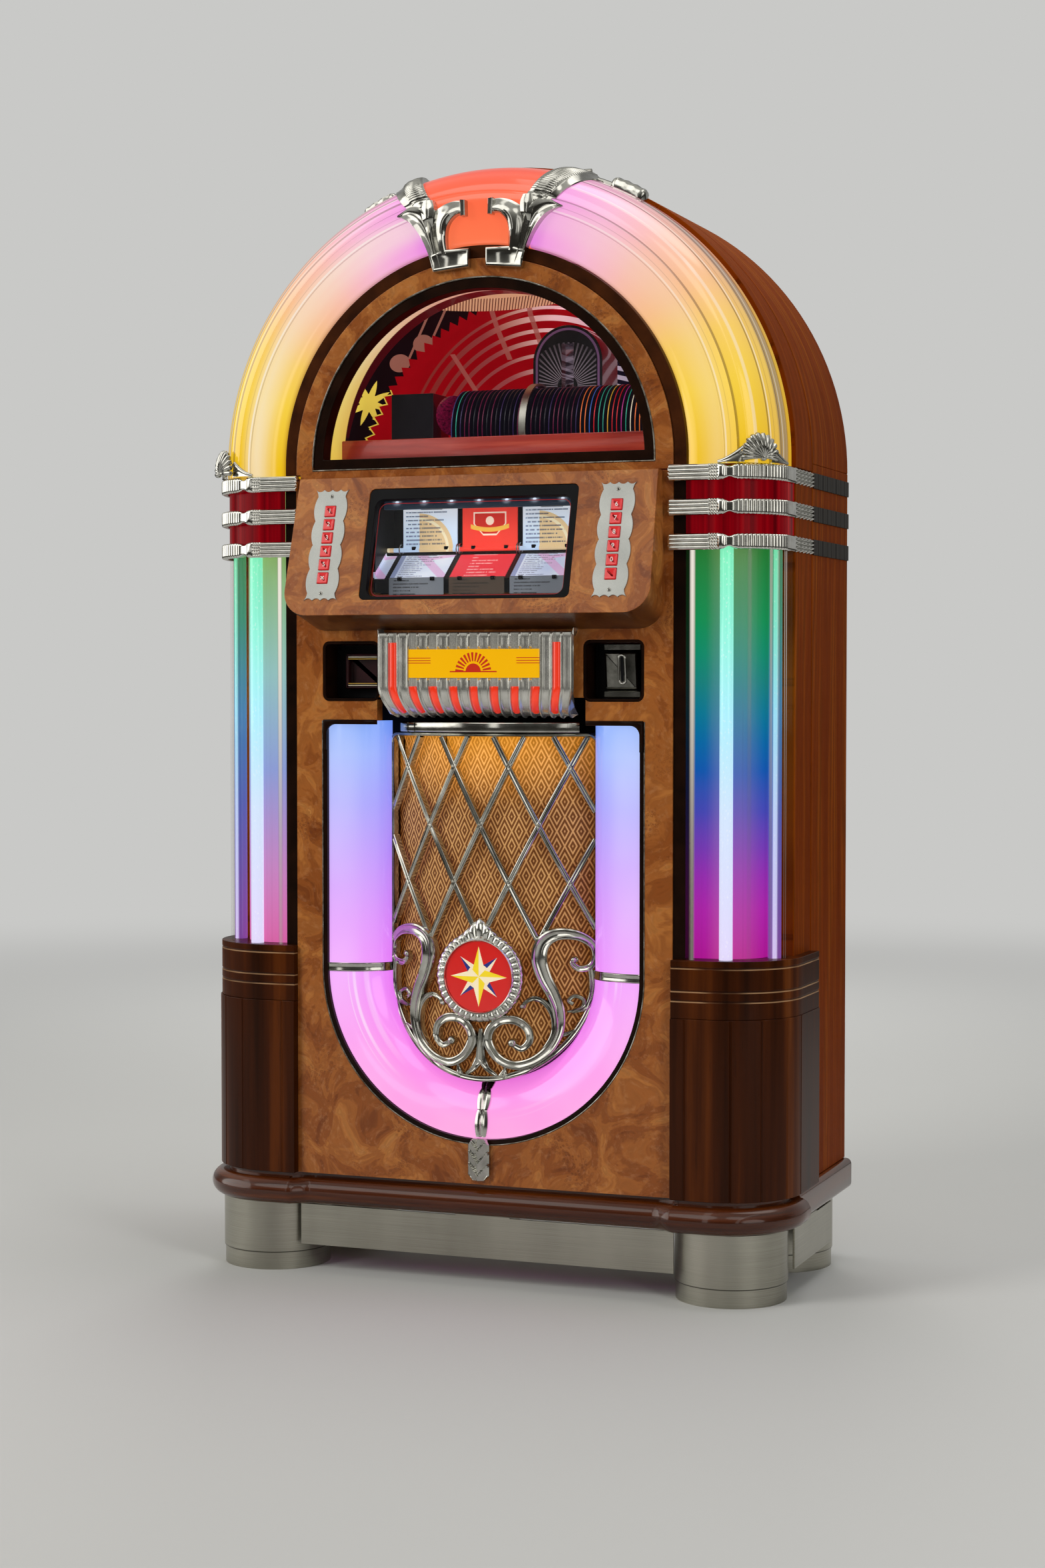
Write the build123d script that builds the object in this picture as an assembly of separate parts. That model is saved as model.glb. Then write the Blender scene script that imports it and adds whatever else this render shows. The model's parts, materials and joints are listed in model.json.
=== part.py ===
from build123d import *
import os
from math import atan2, cos, degrees, radians, sin, sqrt

# Free-standing arched jukebox. Millimetres, +Z up, floor at Z = 0.
# The sizes below are in cabinet coordinates: X right, Y = 0 on the face of the burl front,
# growing towards the back. shift_to_centre() moves every piece to the centred frame at the end.

# ---- driving sizes -------------------------------------------------------------------
cabinet_half = 410.5        # half width over the side panels, and the arch's outer radius
cabinet_depth = 384.0       # burl face to the back of the cabinet
arch_z = 1117.5             # height of the arch's centre
body_bottom = 139.5         # underside of the boards that stand on the base
board = 18.0                # thickness of the cabinet boards
gap = 0.4                   # clearance between pieces that don't touch
post_width = 20.0           # uprights behind the edges of the burl front
web_thick = 12.0            # boards that close the columns at the back
liner_thick = 12.0
bearer_width = 90.0
seam = 3.0                  # groove between the front stiles and the side panels
seam_y = 187.0              # front edge of that groove
lid_gap = 1.0               # clearance under the lid

column_width = 137.5        # from the side of the cabinet to the edge of the burl front
front_half = cabinet_half - column_width
split_z = 1100.6            # line where the lid meets the selector
trim_width = 17.5           # dark strip between the burl and the column covers
trim_y = 2.5

# columns, in plan: a flat front and a quarter round corner
cover_radius = 83.5
cover_wall = 2.5
cover_inset = 85.5          # from the cabinet's side to the centre of the corner round
cover_centre_x = cabinet_half - cover_inset
cover_centre_y = cover_radius
column_back_y = 103.0
sleeve_radius = 57.0
sleeve_wall = 3.0
tube_radius = 9.0
tube_clear = 1.0            # between a tube and the cover
tube_ring = cover_radius - cover_wall - tube_clear - tube_radius
tube_angles = (14.0, 76.0)

capital_bottom = 379.5
capital_top = 456.5
capital_front = 10.0        # how far the capital stands proud of the burl
capital_side = 14.5         # how far it stands proud of the side
pilaster_front = 12.5
pilaster_side = 15.5
corner_radius = 102.0
ring_groove = 1.6
ring_heights = (402.6, 415.7, 446.2)
flute_depth = 2.4
pilaster_end_y = 181.0

band_height = 21.0
band_pitch = 45.1
band_top = 1105.5
band_front = 11.8
band_side = 4.6
band_tip = 4.5              # how far the tips reach over the burl
band_radius = 84.1
band_tip_x = front_half - band_tip
band_centre_x = cabinet_half + band_side - band_radius
band_clear = 2.3
band_count = 3

# base
foot_radius = 76.0
foot_inset = 74.5           # from the cabinet's side to the middle of a foot
foot_x = cabinet_half - foot_inset
foot_front_y = 65.0
foot_back_y = 300.0
foot_height = 96.5
foot_ring_z = 24.7
foot_ring_step = 1.5
moulding_bottom = 96.5
moulding_height = 36.5
moulding_recess = 24.0      # how far the dark step above the moulding lies behind its nose
moulding_centre_y = 14.0    # nose of the moulding in front of the burl, middle
moulding_corner_y = 30.0    # and at the corners
moulding_side = 25.5        # nose of the moulding outside the cabinet side
side_moulding = 10.0
plinth_low = 37.0
plinth_high = 94.3
plinth_y = 8.0
plinth_thick = 3.0

# lower front
u_side = 39.7               # burl beside the U
u_radius = front_half - u_side
u_z = 428.0
u_top = 769.0
rim_width = 6.0
u_rim = 6.8                 # from the hole's edge to the plastics
u_face = 76.5               # width of the rolled face
u_outer = u_radius - u_rim
u_inner = u_outer - u_face
u_outer_y = 5.0
u_inner_y = 49.0
u_wall = 3.0
bow_clear = 1.5             # between the grille and the plastics
bow_half = u_inner - bow_clear
notch_clear = 3.0
u_notch_half = bow_half + notch_clear
u_notch_top = 800.0
bow_depth = 49.0
lattice_top = 753.0
lattice_pitch_x = 77.0
lattice_pitch_z = 157.0
lattice_z = 628.0
lattice_bar = 5.0
lattice_depth = 9.0
cloth_back = 15.0
cloth_thick = 2.0
baffle_y = 84.0
medallion_drop = 4.5        # below the centre of the U
medallion_z = u_z - medallion_drop
medallion_radius = 62.5
medallion_disc = 48.0
medallion_proud = 9.0
clip_width = 12.0
clip_thick = 1.6
drop_half = 9.0
drop_thick = 7.0
pad_height = 47.7
drop_low = u_z - u_radius - 1 - pad_height
pad_half = 15.5
pad_thick = 9.0
bar_height = 14.0
ring_thick = 3.5

recess_side = 39.5          # burl beside a recess
recess_width = 85.5
recess_outer = front_half - recess_side
recess_inner = recess_outer - recess_width
recess_low = 795.5
recess_high = 878.0
recess_round = 10.0
recess_depth = 46.0
recess_lip = 4.0
cup_thick = 8.0
coin_offset = 7.0           # coin entry beside the middle of its recess
coin_width = 46.0
coin_height = 58.0
coin_depth = 26.0
slot_length = 36.0
slot_width = 4.4
coin_slot_depth = 20.0
note_offset = 4.0
note_width = 60.0
note_height = 48.0
note_depth = 14.0
slit_length = 50.0
slit_width = 4.6
note_slit_depth = 12.0

# selector
panel_tilt = 15.6
panel_top_y = -17.7
panel_inset = 16.0          # from the burl front's edge to the selector's upper corner
panel_flare = 6.0           # how much wider each side is at the bottom
panel_top_half = front_half - panel_inset
panel_bottom_half = panel_top_half + panel_flare
panel_length = 196.0
panel_round = 36.0
panel_wall = 14.0
panel_board = 12.0
display_half = 150.5
display_high = 17.7
display_low = 174.7
bezel_side = 9.5
bezel_top = 15.0
bezel_bottom = 5.0
bezel_recess = 1.0
bezel_depth = 9.0
glass_thick = 3.0
keypad_inset = 50.7         # from the selector's upper corner to the middle of a key
keypad_x = panel_top_half - keypad_inset
keypad_half = 24.5
keypad_low = 175.5
keypad_high = 17.5
plate_thick = 1.5
scallops = 4
button_size = 15.4
button_first = 48.7
button_pitch = 19.0
button_rows = 6
button_proud = 3.2
button_travel = 2.0
screw_radius = 2.6

grill_side = 6.5            # from the grill to a recess
grill_half = recess_inner - grill_side
grill_top = 889.0
grill_bend = 815.0
grill_bottom = 773.0
grill_proud = 24.0
grill_wall = 5.0
grill_ribs = 20
rib_depth = 3.0
plate_half_x = 94.0
plate_low = 827.5
plate_high = 866.0

# title pages
page_width = 80.0
page_pitch = 88.0
page_height = 62.0
page_thick = 1.5
page_y = 38.0
page_z = 1003.0
page_lean = 37.0
page_shaft = 3.0
tray_front_y = -5.0

# lid
window_side = 40.0          # from the edge of the burl arch to the window
window_radius = front_half - window_side
window_low = 1127.0
trim_ring = 14.0
plastic_seat = 1.0          # between the cove and the plastics
plastic_lip = 5.9           # how far the plastics lie inside the barrel
edge_width = 42.6           # width of the rolled outer edge
plastic_inner = front_half + trim_width + plastic_seat
plastic_outer = cabinet_half - plastic_lip
plastic_step = plastic_outer - edge_width
plastic_wall = 3.0
plastic_ridge = -1.0
step_y = 3.5
crown_angle = 14.0
crest_start = 73.0
crest_arc = 7.5
crest_thick = 5.0
knob_start = 59.0
knob_arc = 7.5
knob_height = 14.0
shell_half = 26.0
shell_thick = 8.0
hinge_radius = 4.0
hinge_pin = 1.6

# disc mechanism
disc_radius = 60.0
disc_hole = 7.5
disc_thick = 1.2
disc_pitch = 6.5
disc_first_x = -70.0
disc_count = 44
disc_y = 130.0
disc_z = 1168.0
deck_front_y = 24.0
fascia_y = 52.0
backdrop_back = 44.0        # from the backdrop to the cabinet's back
backdrop_y = cabinet_depth - backdrop_back
carriage_x = 36.0
carriage_half = 16.0
carriage_y = 205.0
rail_radius = 5.0
rail_z = 1146.0
rail_left = -185.0
rail_right = 240.0
arm_width = 10.0
arm_clear = 3.0
arm_thick = 3.0
arm_pivot_z = 1198.0
arm_reach = 20.0            # how far the arm's front end hangs below the discs' axis
pin_radius = 2.5
running_fit = 0.05
tower_x = 45.0
tower_half = 52.0
tower_y = 222.0
tower_depth = 66.0
tower_height = 224.0
slot_half = 9.0
spindle_depth = 40.0
clamp_radius = 14.0
shaft_radius = 3.0

# back
door_side = 120.5           # rear board beside the service door
door_half = cabinet_half - door_side
door_low = 200.0
door_high = 960.0
inlet_inset = 70.5
inlet_x = inlet_inset - cabinet_half
inlet_z = 170.0
inlet_half_width = 14.0
inlet_half_height = 10.0

# amplifier and power unit
amp_x = -230.0
amp_width = 260.0
amp_depth = 160.0
amp_back = 44.0             # space behind the amplifier
amp_y = cabinet_depth - amp_back - amp_depth
amp_height = 70.0
fin_count = 12
fin_edge = 10.0
fin_thick = 4.0
fin_height = 22.0
supply_x = 90.0
supply_width = 160.0
supply_depth = 130.0
supply_back = 54.0
supply_y = cabinet_depth - supply_back - supply_depth
supply_height = 95.0

# ---- derived places --------------------------------------------------------------------
front_reach = panel_length * sin(radians(panel_tilt)) - panel_top_y
back_reach = cabinet_depth + 2 * hinge_radius
centre_shift = (front_reach - back_reach) / 2
side_inner = cabinet_half - board
panel_back_y = seam_y + seam
deck_top = split_z + 1.4
band_bottoms = [band_top - band_height - band_pitch * i for i in range(band_count)]
cover_top = band_bottoms[-1] + band_height / 2


# ---- shared shapes -----------------------------------------------------------------------
UPWARD = (Align.CENTER, Align.CENTER, Align.MIN)


def slab(x0, x1, y0, y1, z0, z1):
    """Box between three pairs of limits."""
    middle = ((x0 + x1) / 2, (y0 + y1) / 2, (z0 + z1) / 2)
    return Pos(*middle) * Box(x1 - x0, y1 - y0, z1 - z0)


def both_sides(shape):
    """The piece and its mirror image across the middle plane."""
    return [shape, mirror(shape, about=Plane.YZ)]


def group(*shapes):
    """One node of several separate solids."""
    solids = []
    for shape in shapes:
        items = shape if isinstance(shape, (list, tuple)) else [shape]
        for item in items:
            solids.extend(item.solids())
    return Compound(solids)


def plan(outline, z0, z1):
    """Closed outline in plan, extruded upwards."""
    face = make_face(outline)
    return extrude(Pos(0, 0, z0) * face, amount=z1 - z0)


def front(face, y0, y1):
    """Face drawn in front view (X, Z), extruded from y0 back to y1."""
    return extrude(Plane.XZ.offset(-y1) * face, amount=y1 - y0)


def hoop(outline, start=0.0, arc=180.0):
    """Closed outline in plan (X = radius, Y), turned about the arch's centre line."""
    return turned_hoop(make_face(outline), start, arc)


def turned_hoop(section, start, arc):
    """Section face in plan (X = radius, Y), turned about the arch's centre line from `start` degrees."""
    face = Pos(0, 0, arch_z) * section
    turned = revolve(face, Axis((0, 0, arch_z), (0, -1, 0)), revolution_arc=arc)
    if start:
        turned = turned.rotate(Axis((0, 0, arch_z), (0, -1, 0)), start)
    return turned


def ring_section(r0, r1, y0, y1):
    """Rectangular section for hoop()."""
    return Polyline((r0, y0), (r1, y0), (r1, y1), (r0, y1), close=True)


def rounded(width, height, radius):
    """Rectangle with round corners."""
    return RectangleRounded(width, height, radius)


def corner_outline(inner_x, front_y, centre, radius, end_y, thick):
    """Plan outline of a skin that runs along the front, round the corner and back."""
    cx, cy = centre
    outer = radius
    inside = radius - thick
    a = Line((inner_x, front_y), (cx, front_y))
    b = CenterArc((cx, cy), outer, -90, 90)
    c = Line((cx + outer, cy), (cx + outer, end_y))
    d = Line((cx + outer, end_y), (cx + inside, end_y))
    e = Line((cx + inside, end_y), (cx + inside, cy))
    f = CenterArc((cx, cy), inside, -90, 90)
    g = Line((cx, front_y + thick), (inner_x, front_y + thick))
    h = Line((inner_x, front_y + thick), (inner_x, front_y))
    return a + b + c + d + e + f + g + h


def corner_block(inner_x, front_y, side_x, radius, end_y, back_y):
    """Plan outline of a solid post: flat front, round corner, flat side, notched for the side board."""
    cx = side_x - radius
    cy = front_y + radius
    a = Line((inner_x, front_y), (cx, front_y))
    b = CenterArc((cx, cy), radius, -90, 90)
    c = Polyline(
        (side_x, cy),
        (side_x, end_y),
        (cabinet_half + gap, end_y),
        (cabinet_half + gap, column_back_y - gap),
        (side_inner, column_back_y - gap),
        (side_inner, back_y),
        (inner_x, back_y),
        (inner_x, front_y),
    )
    return a + b + c


def panel_plane():
    """Plane of the selector's face: X right, Y up the slope, Z out of the face."""
    t = radians(panel_tilt)
    return Plane(origin=(0, panel_top_y, split_z), x_dir=(1, 0, 0), z_dir=(0, -cos(t), sin(t)))


def on_panel(face, start, depth):
    """Face drawn on the selector's plane, extruded inwards from `start` (outwards is positive)."""
    lifted = panel_plane().offset(start - depth) * face
    return extrude(lifted, amount=depth)


def bow_y(x):
    """The grille's bow: how far the curved front lies behind its crest at x."""
    return bow_depth * (x / bow_half) ** 2


def bow_radius():
    """Radius of the circle through the crest and both edges of the bow."""
    return (bow_half**2 + bow_depth**2) / (2 * bow_depth)


def bowed_sheet(half, y_front, thick, z0, z1):
    """Sheet curved in plan, concentric with the grille's bow."""
    radius = bow_radius() - y_front
    centre_y = bow_radius()
    outer = Pos(0, centre_y, (z0 + z1) / 2) * Cylinder(radius, z1 - z0)
    inner = Pos(0, centre_y, (z0 + z1) / 2) * Cylinder(radius - thick, z1 - z0 + 2)
    return (outer - inner) & slab(-half, half, y_front - 1, bow_radius() * 0.6, z0, z1)


# ---- base ---------------------------------------------------------------------------------
def feet():
    """Four brushed drums, each with a groove above its bottom ring."""
    lower = Cylinder(foot_radius - foot_ring_step, foot_ring_z, align=UPWARD)
    upper = Cylinder(foot_radius, foot_height - foot_ring_z, align=UPWARD)
    drum = lower + Pos(0, 0, foot_ring_z) * upper
    drums = []
    for y in (foot_front_y, foot_back_y):
        drums.extend(both_sides(Pos(foot_x, y, 0) * drum))
    return group(*drums)


def moulding_path(grow):
    """Outer plan line of the base moulding, moved outwards by `grow`."""
    corner_y = -moulding_corner_y - grow
    side_x = cabinet_half + moulding_side + grow
    radius = corner_radius + moulding_side - pilaster_side + grow
    ease = front_half + 6
    middle_y = -moulding_centre_y - grow
    half = [
        (ease - 30, middle_y),
        (ease, corner_y),
    ]
    return corner_y, side_x, radius, half, middle_y


def base_moulding():
    """Bullnose round the foot of the cabinet, stepped forward at both corners, with side returns."""
    nose = moulding_height / 2

    def layer(grow, z0, z1):
        corner_y, side_x, radius, half, middle_y = moulding_path(grow)
        cx = side_x - radius
        cy = corner_y + radius
        right = Line(half[0], half[1])
        right += Line(half[1], (cx, corner_y))
        right += CenterArc((cx, cy), radius, -90, 90)
        right += Line((side_x, cy), (side_x, seam_y))
        right += Line((side_x, seam_y), (0, seam_y))
        right += Line((0, seam_y), (0, middle_y))
        right += Line((0, middle_y), half[0])
        half_solid = plan(right, z0, z1)
        return half_solid + mirror(half_solid, about=Plane.YZ)

    steps = 6
    solid = None
    for i in range(steps):
        low = moulding_bottom + moulding_height * i / steps
        high = moulding_bottom + moulding_height * (i + 1) / steps
        middle = (low + high) / 2 - moulding_bottom - nose
        grow = sqrt(max(nose**2 - middle**2, 0)) - nose
        piece = layer(grow, low, high)
        solid = piece if solid is None else solid + piece
    solid += layer(-moulding_recess, moulding_bottom + moulding_height, body_bottom)
    hollow_y = column_back_y - 30
    hollow = slab(-side_inner, side_inner, hollow_y, seam_y + 1, moulding_bottom - 1, body_bottom + 1)
    return solid - hollow


def side_mouldings():
    """Thin mouldings along the foot of both sides, behind the corner blocks."""
    outer = cabinet_half + side_moulding
    bar = slab(side_inner, outer, seam_y + gap, cabinet_depth, moulding_bottom, body_bottom - gap)
    bar = fillet(bar.edges().filter_by(Axis.Y).group_by(Axis.X)[-1], side_moulding - 2)
    return both_sides(bar)


def base_mouldings():
    """Front bullnose and the two side mouldings."""
    return group(base_moulding(), side_mouldings())


def plinth_plates():
    """Steel skirt plates in front of and beside the feet."""
    plate = slab(-front_half, front_half, plinth_y, plinth_y + plinth_thick, plinth_low, plinth_high)
    bracket = slab(-40, 40, plinth_y, plinth_y + 40, plinth_high - 20, moulding_bottom - gap)
    x0 = foot_x + foot_radius + gap
    side = slab(x0, x0 + plinth_thick, foot_front_y + 30, foot_back_y - 10, plinth_low, plinth_high)
    lip = slab(side_inner, x0 + plinth_thick, foot_front_y + 90, foot_back_y - 90,
               plinth_high - 3, moulding_bottom - gap)
    return group(plate + bracket, both_sides(side + lip))


def carcass_boards():
    """Floor board, side liners behind the seams, front cross rail and the speaker shelf."""
    front_y = column_back_y - 30 + gap
    back_y = cabinet_depth - board - gap
    top = body_bottom - gap
    wall_top = deck_top - board - gap
    floor = slab(-side_inner + gap, side_inner - gap, front_y, back_y, top - board, top)
    bearer = slab(foot_x - bearer_width / 2, foot_x + bearer_width / 2, front_y, back_y,
                  foot_height, top - board)
    floor += both_sides(bearer)[0]
    floor += both_sides(bearer)[1]
    liner = slab(side_inner - liner_thick, side_inner - gap, seam_y - 20, panel_back_y + 30,
                 body_bottom, wall_top)
    post = slab(front_half - post_width, front_half, board, column_back_y + web_thick, body_bottom, wall_top)
    web = slab(front_half, side_inner - gap, column_back_y, column_back_y + web_thick, body_bottom, wall_top)
    return group(floor, both_sides(liner), both_sides(post + web))


# ---- sides and barrel -----------------------------------------------------------------------
def side_panels():
    """Oak sides behind the seam and the narrow oak stiles in front of it."""
    panel = slab(side_inner, cabinet_half, panel_back_y, cabinet_depth, body_bottom, arch_z)
    stile = slab(side_inner, cabinet_half, column_back_y, seam_y, body_bottom, band_top)
    return group(both_sides(panel), both_sides(stile))


def barrel_top():
    """Oak barrel over the rear half of the cabinet."""
    section = ring_section(side_inner, cabinet_half, panel_back_y, cabinet_depth)
    return group(hoop(section))


def side_bands():
    """Dark ribbed bands inlaid on the sides, in line with the chrome bands."""
    thick = 2.0
    bands = []
    ribs = 8
    length = cabinet_depth - panel_back_y - 2
    for low in band_bottoms:
        band = slab(cabinet_half, cabinet_half + thick, panel_back_y + 1, cabinet_depth - 1,
                    low, low + band_height)
        for i in range(1, ribs):
            y = panel_back_y + 1 + length * i / ribs
            band -= slab(cabinet_half + 1, cabinet_half + 5, y - 0.5, y + 0.5,
                         low - 1, low + band_height + 1)
        bands.extend(both_sides(band))
    return group(*bands)


def back_board():
    """Rear board with the service opening, vent slots under the arch and the inlet hole."""
    low = slab(-side_inner + gap, side_inner - gap, cabinet_depth - board, cabinet_depth,
               body_bottom, arch_z)
    half_disc = hoop(ring_section(0, side_inner - gap, cabinet_depth - board, cabinet_depth))
    shape = low + half_disc
    shape -= slab(-door_half, door_half, cabinet_depth - board - 1, cabinet_depth + 1, door_low, door_high)
    for i in range(6):
        z = arch_z + 110 + 24 * i
        shape -= slab(-110, 110, cabinet_depth - board - 1, cabinet_depth + 1, z, z + 9)
    shape -= slab(inlet_x - inlet_half_width, inlet_x + inlet_half_width,
                  cabinet_depth - board - 1, cabinet_depth + 1,
                  inlet_z - inlet_half_height, inlet_z + inlet_half_height)
    return group(shape)


def back_door():
    """Service door in the rear board, with the knuckles of its hinges."""
    slack = 1.0
    panel = slab(-door_half + slack, door_half - slack, cabinet_depth - board, cabinet_depth,
                 door_low + slack, door_high - slack)
    for i in range(5):
        z = door_low + 90 + 24 * i
        panel -= slab(-120, 120, cabinet_depth - board - 1, cabinet_depth + 1, z, z + 9)
    knuckles = [door_knuckle(z, 0) for z in door_hinge_heights()]
    for knuckle in knuckles:
        panel += knuckle
    handle = Pos(-door_half + 40, cabinet_depth, (door_low + door_high) / 2)
    grip = handle * Rot(-90, 0, 0) * Cylinder(14, 2.4, align=UPWARD)
    return group(panel + grip)


def door_hinge_heights():
    """Middle of each rear hinge."""
    return (door_low + 120, door_high - 120)


def door_axis():
    """Plan position of the rear door's hinge axis."""
    return door_half, cabinet_depth + hinge_radius


def door_knuckle(z, part):
    """One third of a hinge barrel with its leaf: part 0 sits on the door, parts 1 and 2 on the board."""
    x, y = door_axis()
    length = 24.0
    slack = 0.5
    side = -1 if part == 0 else 1
    low = {0: -length / 2, 1: length / 2, 2: -length * 1.5}[part] + slack / 2
    high = low + length - slack
    barrel = Pos(x, y, z + (low + high) / 2) * Cylinder(hinge_radius, high - low)
    leaf = slab(min(x, x + side * 22), max(x, x + side * 22), cabinet_depth, cabinet_depth + 2,
                z + low, z + high)
    piece = barrel + leaf
    if part == 0:
        piece -= Pos(x, y, z) * Cylinder(hinge_pin + 0.05, length * 4)
    return piece


def lid_axis():
    """Height and depth of the lid's hinge axis."""
    return seam_y + seam / 2, arch_z + cabinet_half + hinge_radius


def lid_knuckle(x, part):
    """One third of a lid hinge with its leaf: part 0 sits on the lid, parts 1 and 2 on the barrel."""
    y, z = lid_axis()
    length = 22.0
    slack = 0.5
    side = -1 if part == 0 else 1
    low = {0: -length / 2, 1: length / 2, 2: -length * 1.5}[part] + slack / 2
    high = low + length - slack
    barrel = Pos(x + (low + high) / 2, y, z) * Rot(0, 90, 0) * Cylinder(hinge_radius, high - low)
    reach = 26.0
    sag = cabinet_half - sqrt(cabinet_half**2 - (abs(x) + 40) ** 2)
    leaf = slab(x + low, x + high, min(y, y + side * reach), max(y, y + side * reach),
                z - hinge_radius - sag, z)
    round_top = Pos(0, y, arch_z) * Rot(90, 0, 0) * Cylinder(cabinet_half, 4 * reach)
    piece = barrel + (leaf - round_top)
    if part == 0:
        piece -= Pos(x, y, z) * Rot(0, 90, 0) * Cylinder(hinge_pin + 0.05, length * 4)
    return piece


def lid_hinge_places():
    """Middle of each lid hinge."""
    return (-60.0, 60.0)


def cabinet_hinges():
    """Fixed knuckles and pins of the lid hinges and the rear door hinges."""
    pieces = []
    for x in lid_hinge_places():
        y, z = lid_axis()
        pin = Pos(x, y, z) * Rot(0, 90, 0) * Cylinder(hinge_pin, 66)
        pieces.append(lid_knuckle(x, 1) + lid_knuckle(x, 2) + pin)
    for height in door_hinge_heights():
        x, y = door_axis()
        pin = Pos(x, y, height) * Cylinder(hinge_pin, 72)
        pieces.append(door_knuckle(height, 1) + door_knuckle(height, 2) + pin)
    return group(*pieces)


# ---- columns ---------------------------------------------------------------------------------
def capital():
    """Ringed wooden block that carries a column cover."""
    outline = corner_block(front_half + gap, -capital_front, cabinet_half + capital_side,
                           corner_radius, pilaster_end_y, column_back_y - 10)
    block = plan(outline, capital_bottom, capital_top)
    for height in ring_heights:
        inner = corner_block(front_half - 1, -capital_front + ring_groove,
                             cabinet_half + capital_side - ring_groove,
                             corner_radius - ring_groove, pilaster_end_y + 1, column_back_y - 10)
        top = height + ring_groove
        shell = plan(outline, height, top) - plan(inner, height - 1, top + 1)
        block -= shell
    return block


def pilaster():
    """Reeded wooden post under a capital."""
    side_x = cabinet_half + pilaster_side
    outline = corner_block(front_half + gap, -pilaster_front, side_x, corner_radius,
                           pilaster_end_y, column_back_y - 10)
    block = plan(outline, body_bottom, capital_bottom)
    cx = side_x - corner_radius
    cy = corner_radius - pilaster_front
    height = capital_bottom - body_bottom
    for angle in (-72, -48, -24, -2):
        x = cx + corner_radius * cos(radians(angle))
        y = cy + corner_radius * sin(radians(angle))
        cut = Rot(0, 0, angle + 45) * Box(flute_depth, flute_depth, height + 2)
        cut = Pos(x, y, body_bottom + height / 2) * cut
        block -= cut
    x = front_half + 20
    cut = Rot(0, 0, 45) * Box(flute_depth, flute_depth, height + 2)
    block -= Pos(x, -pilaster_front, body_bottom + height / 2) * cut
    return block


def pilasters():
    """Both posts with their capitals."""
    return group(both_sides(pilaster()), both_sides(capital()))


def column_covers():
    """Clear quarter-round covers of the columns."""
    start = front_half + trim_width + gap
    outline = corner_outline(start, cover_centre_y - cover_radius, (cover_centre_x, cover_centre_y),
                             cover_radius, column_back_y - gap, cover_wall)
    return group(both_sides(plan(outline, capital_top, cover_top)))


def column_sleeves():
    """Coloured inner sleeves of the columns, and the red sleeves between the chrome bands."""
    start = front_half + trim_width + gap
    inner = corner_outline(start + 3, cover_centre_y - sleeve_radius, (cover_centre_x, cover_centre_y),
                           sleeve_radius, column_back_y - gap, sleeve_wall)
    pieces = both_sides(plan(inner, capital_top, band_top - gap))
    red = corner_outline(start, cover_centre_y - cover_radius, (cover_centre_x, cover_centre_y),
                         cover_radius, column_back_y - gap, cover_wall)
    for i in range(band_count - 1):
        low = band_bottoms[i + 1] + band_height / 2 + gap
        high = band_bottoms[i] + band_height / 2 - gap
        pieces.extend(both_sides(plan(red, low, high)))
    return group(*pieces)


def bubble_tubes():
    """Two glass bubble tubes in each column, standing on the capital."""
    tubes = []
    for angle in tube_angles:
        x = cover_centre_x + tube_ring * sin(radians(angle))
        y = cover_centre_y - tube_ring * cos(radians(angle))
        height = cover_top - capital_top
        tube = Pos(x, y, capital_top + height / 2) * Cylinder(tube_radius, height)
        tubes.extend(both_sides(tube))
    return group(*tubes)


def column_bands():
    """Chrome bands that wrap each column: long tip over the burl, round corner, side run."""
    side_x = cabinet_half + band_side
    radius = band_radius
    cy = radius - band_front
    inner_x = cabinet_half + gap
    inner_radius = cover_radius + band_clear
    inner_y = cover_centre_y - inner_radius
    outline = Line((band_tip_x, -band_front), (band_centre_x, -band_front))
    outline += CenterArc((band_centre_x, cy), radius, -90, 90)
    outline += Line((side_x, cy), (side_x, seam_y - gap))
    outline += Line((side_x, seam_y - gap), (inner_x, seam_y - gap))
    outline += Line((inner_x, seam_y - gap), (inner_x, cover_centre_y))
    outline += Line((inner_x, cover_centre_y), (cover_centre_x + inner_radius, cover_centre_y))
    outline += CenterArc((cover_centre_x, cover_centre_y), inner_radius, -90, 90)
    outline += Line((cover_centre_x, inner_y), (cover_centre_x, -gap))
    outline += Line((cover_centre_x, -gap), (band_tip_x, -gap))
    outline += Line((band_tip_x, -gap), (band_tip_x, -band_front))
    bands = []
    for low in band_bottoms:
        bands.extend(both_sides(plan(outline, low, low + band_height)))
    return group(*bands)


# ---- lower front ---------------------------------------------------------------------------------
def u_face(radius, top):
    """Front view of a U: straight sides down to a half circle."""
    straight = Pos(0, (u_z + top) / 2) * Rectangle(2 * radius, top - u_z)
    bottom = Pos(0, u_z) * Circle(radius)
    return straight + bottom


def recess_faces(grow):
    """Front view of the two payment recesses."""
    width = recess_outer - recess_inner + 2 * grow
    height = recess_high - recess_low + 2 * grow
    x = (recess_inner + recess_outer) / 2
    z = (recess_low + recess_high) / 2
    hole = rounded(width, height, recess_round + grow)
    return [Pos(side * x, z) * hole for side in (-1, 1)]


def display_hole():
    """Front view of the hole behind the selector for the title pages."""
    low = split_z - panel_length * cos(radians(panel_tilt)) + 30
    high = split_z - 24
    return Pos(0, (low + high) / 2) * Rectangle(2 * (display_half + 6), high - low)


def front_panel():
    """Burl board with the U, the two payment recesses and the display hole cut through."""
    height = split_z - 1 - body_bottom
    face = Pos(0, body_bottom + height / 2) * Rectangle(2 * front_half, height)
    face -= u_face(u_radius, u_top)
    face -= Pos(0, (u_top + u_notch_top) / 2) * Rectangle(2 * u_notch_half, u_notch_top - u_top + 2)
    for hole in recess_faces(0):
        face -= hole
    face -= display_hole()
    return group(front(face, 0, board))


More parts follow.
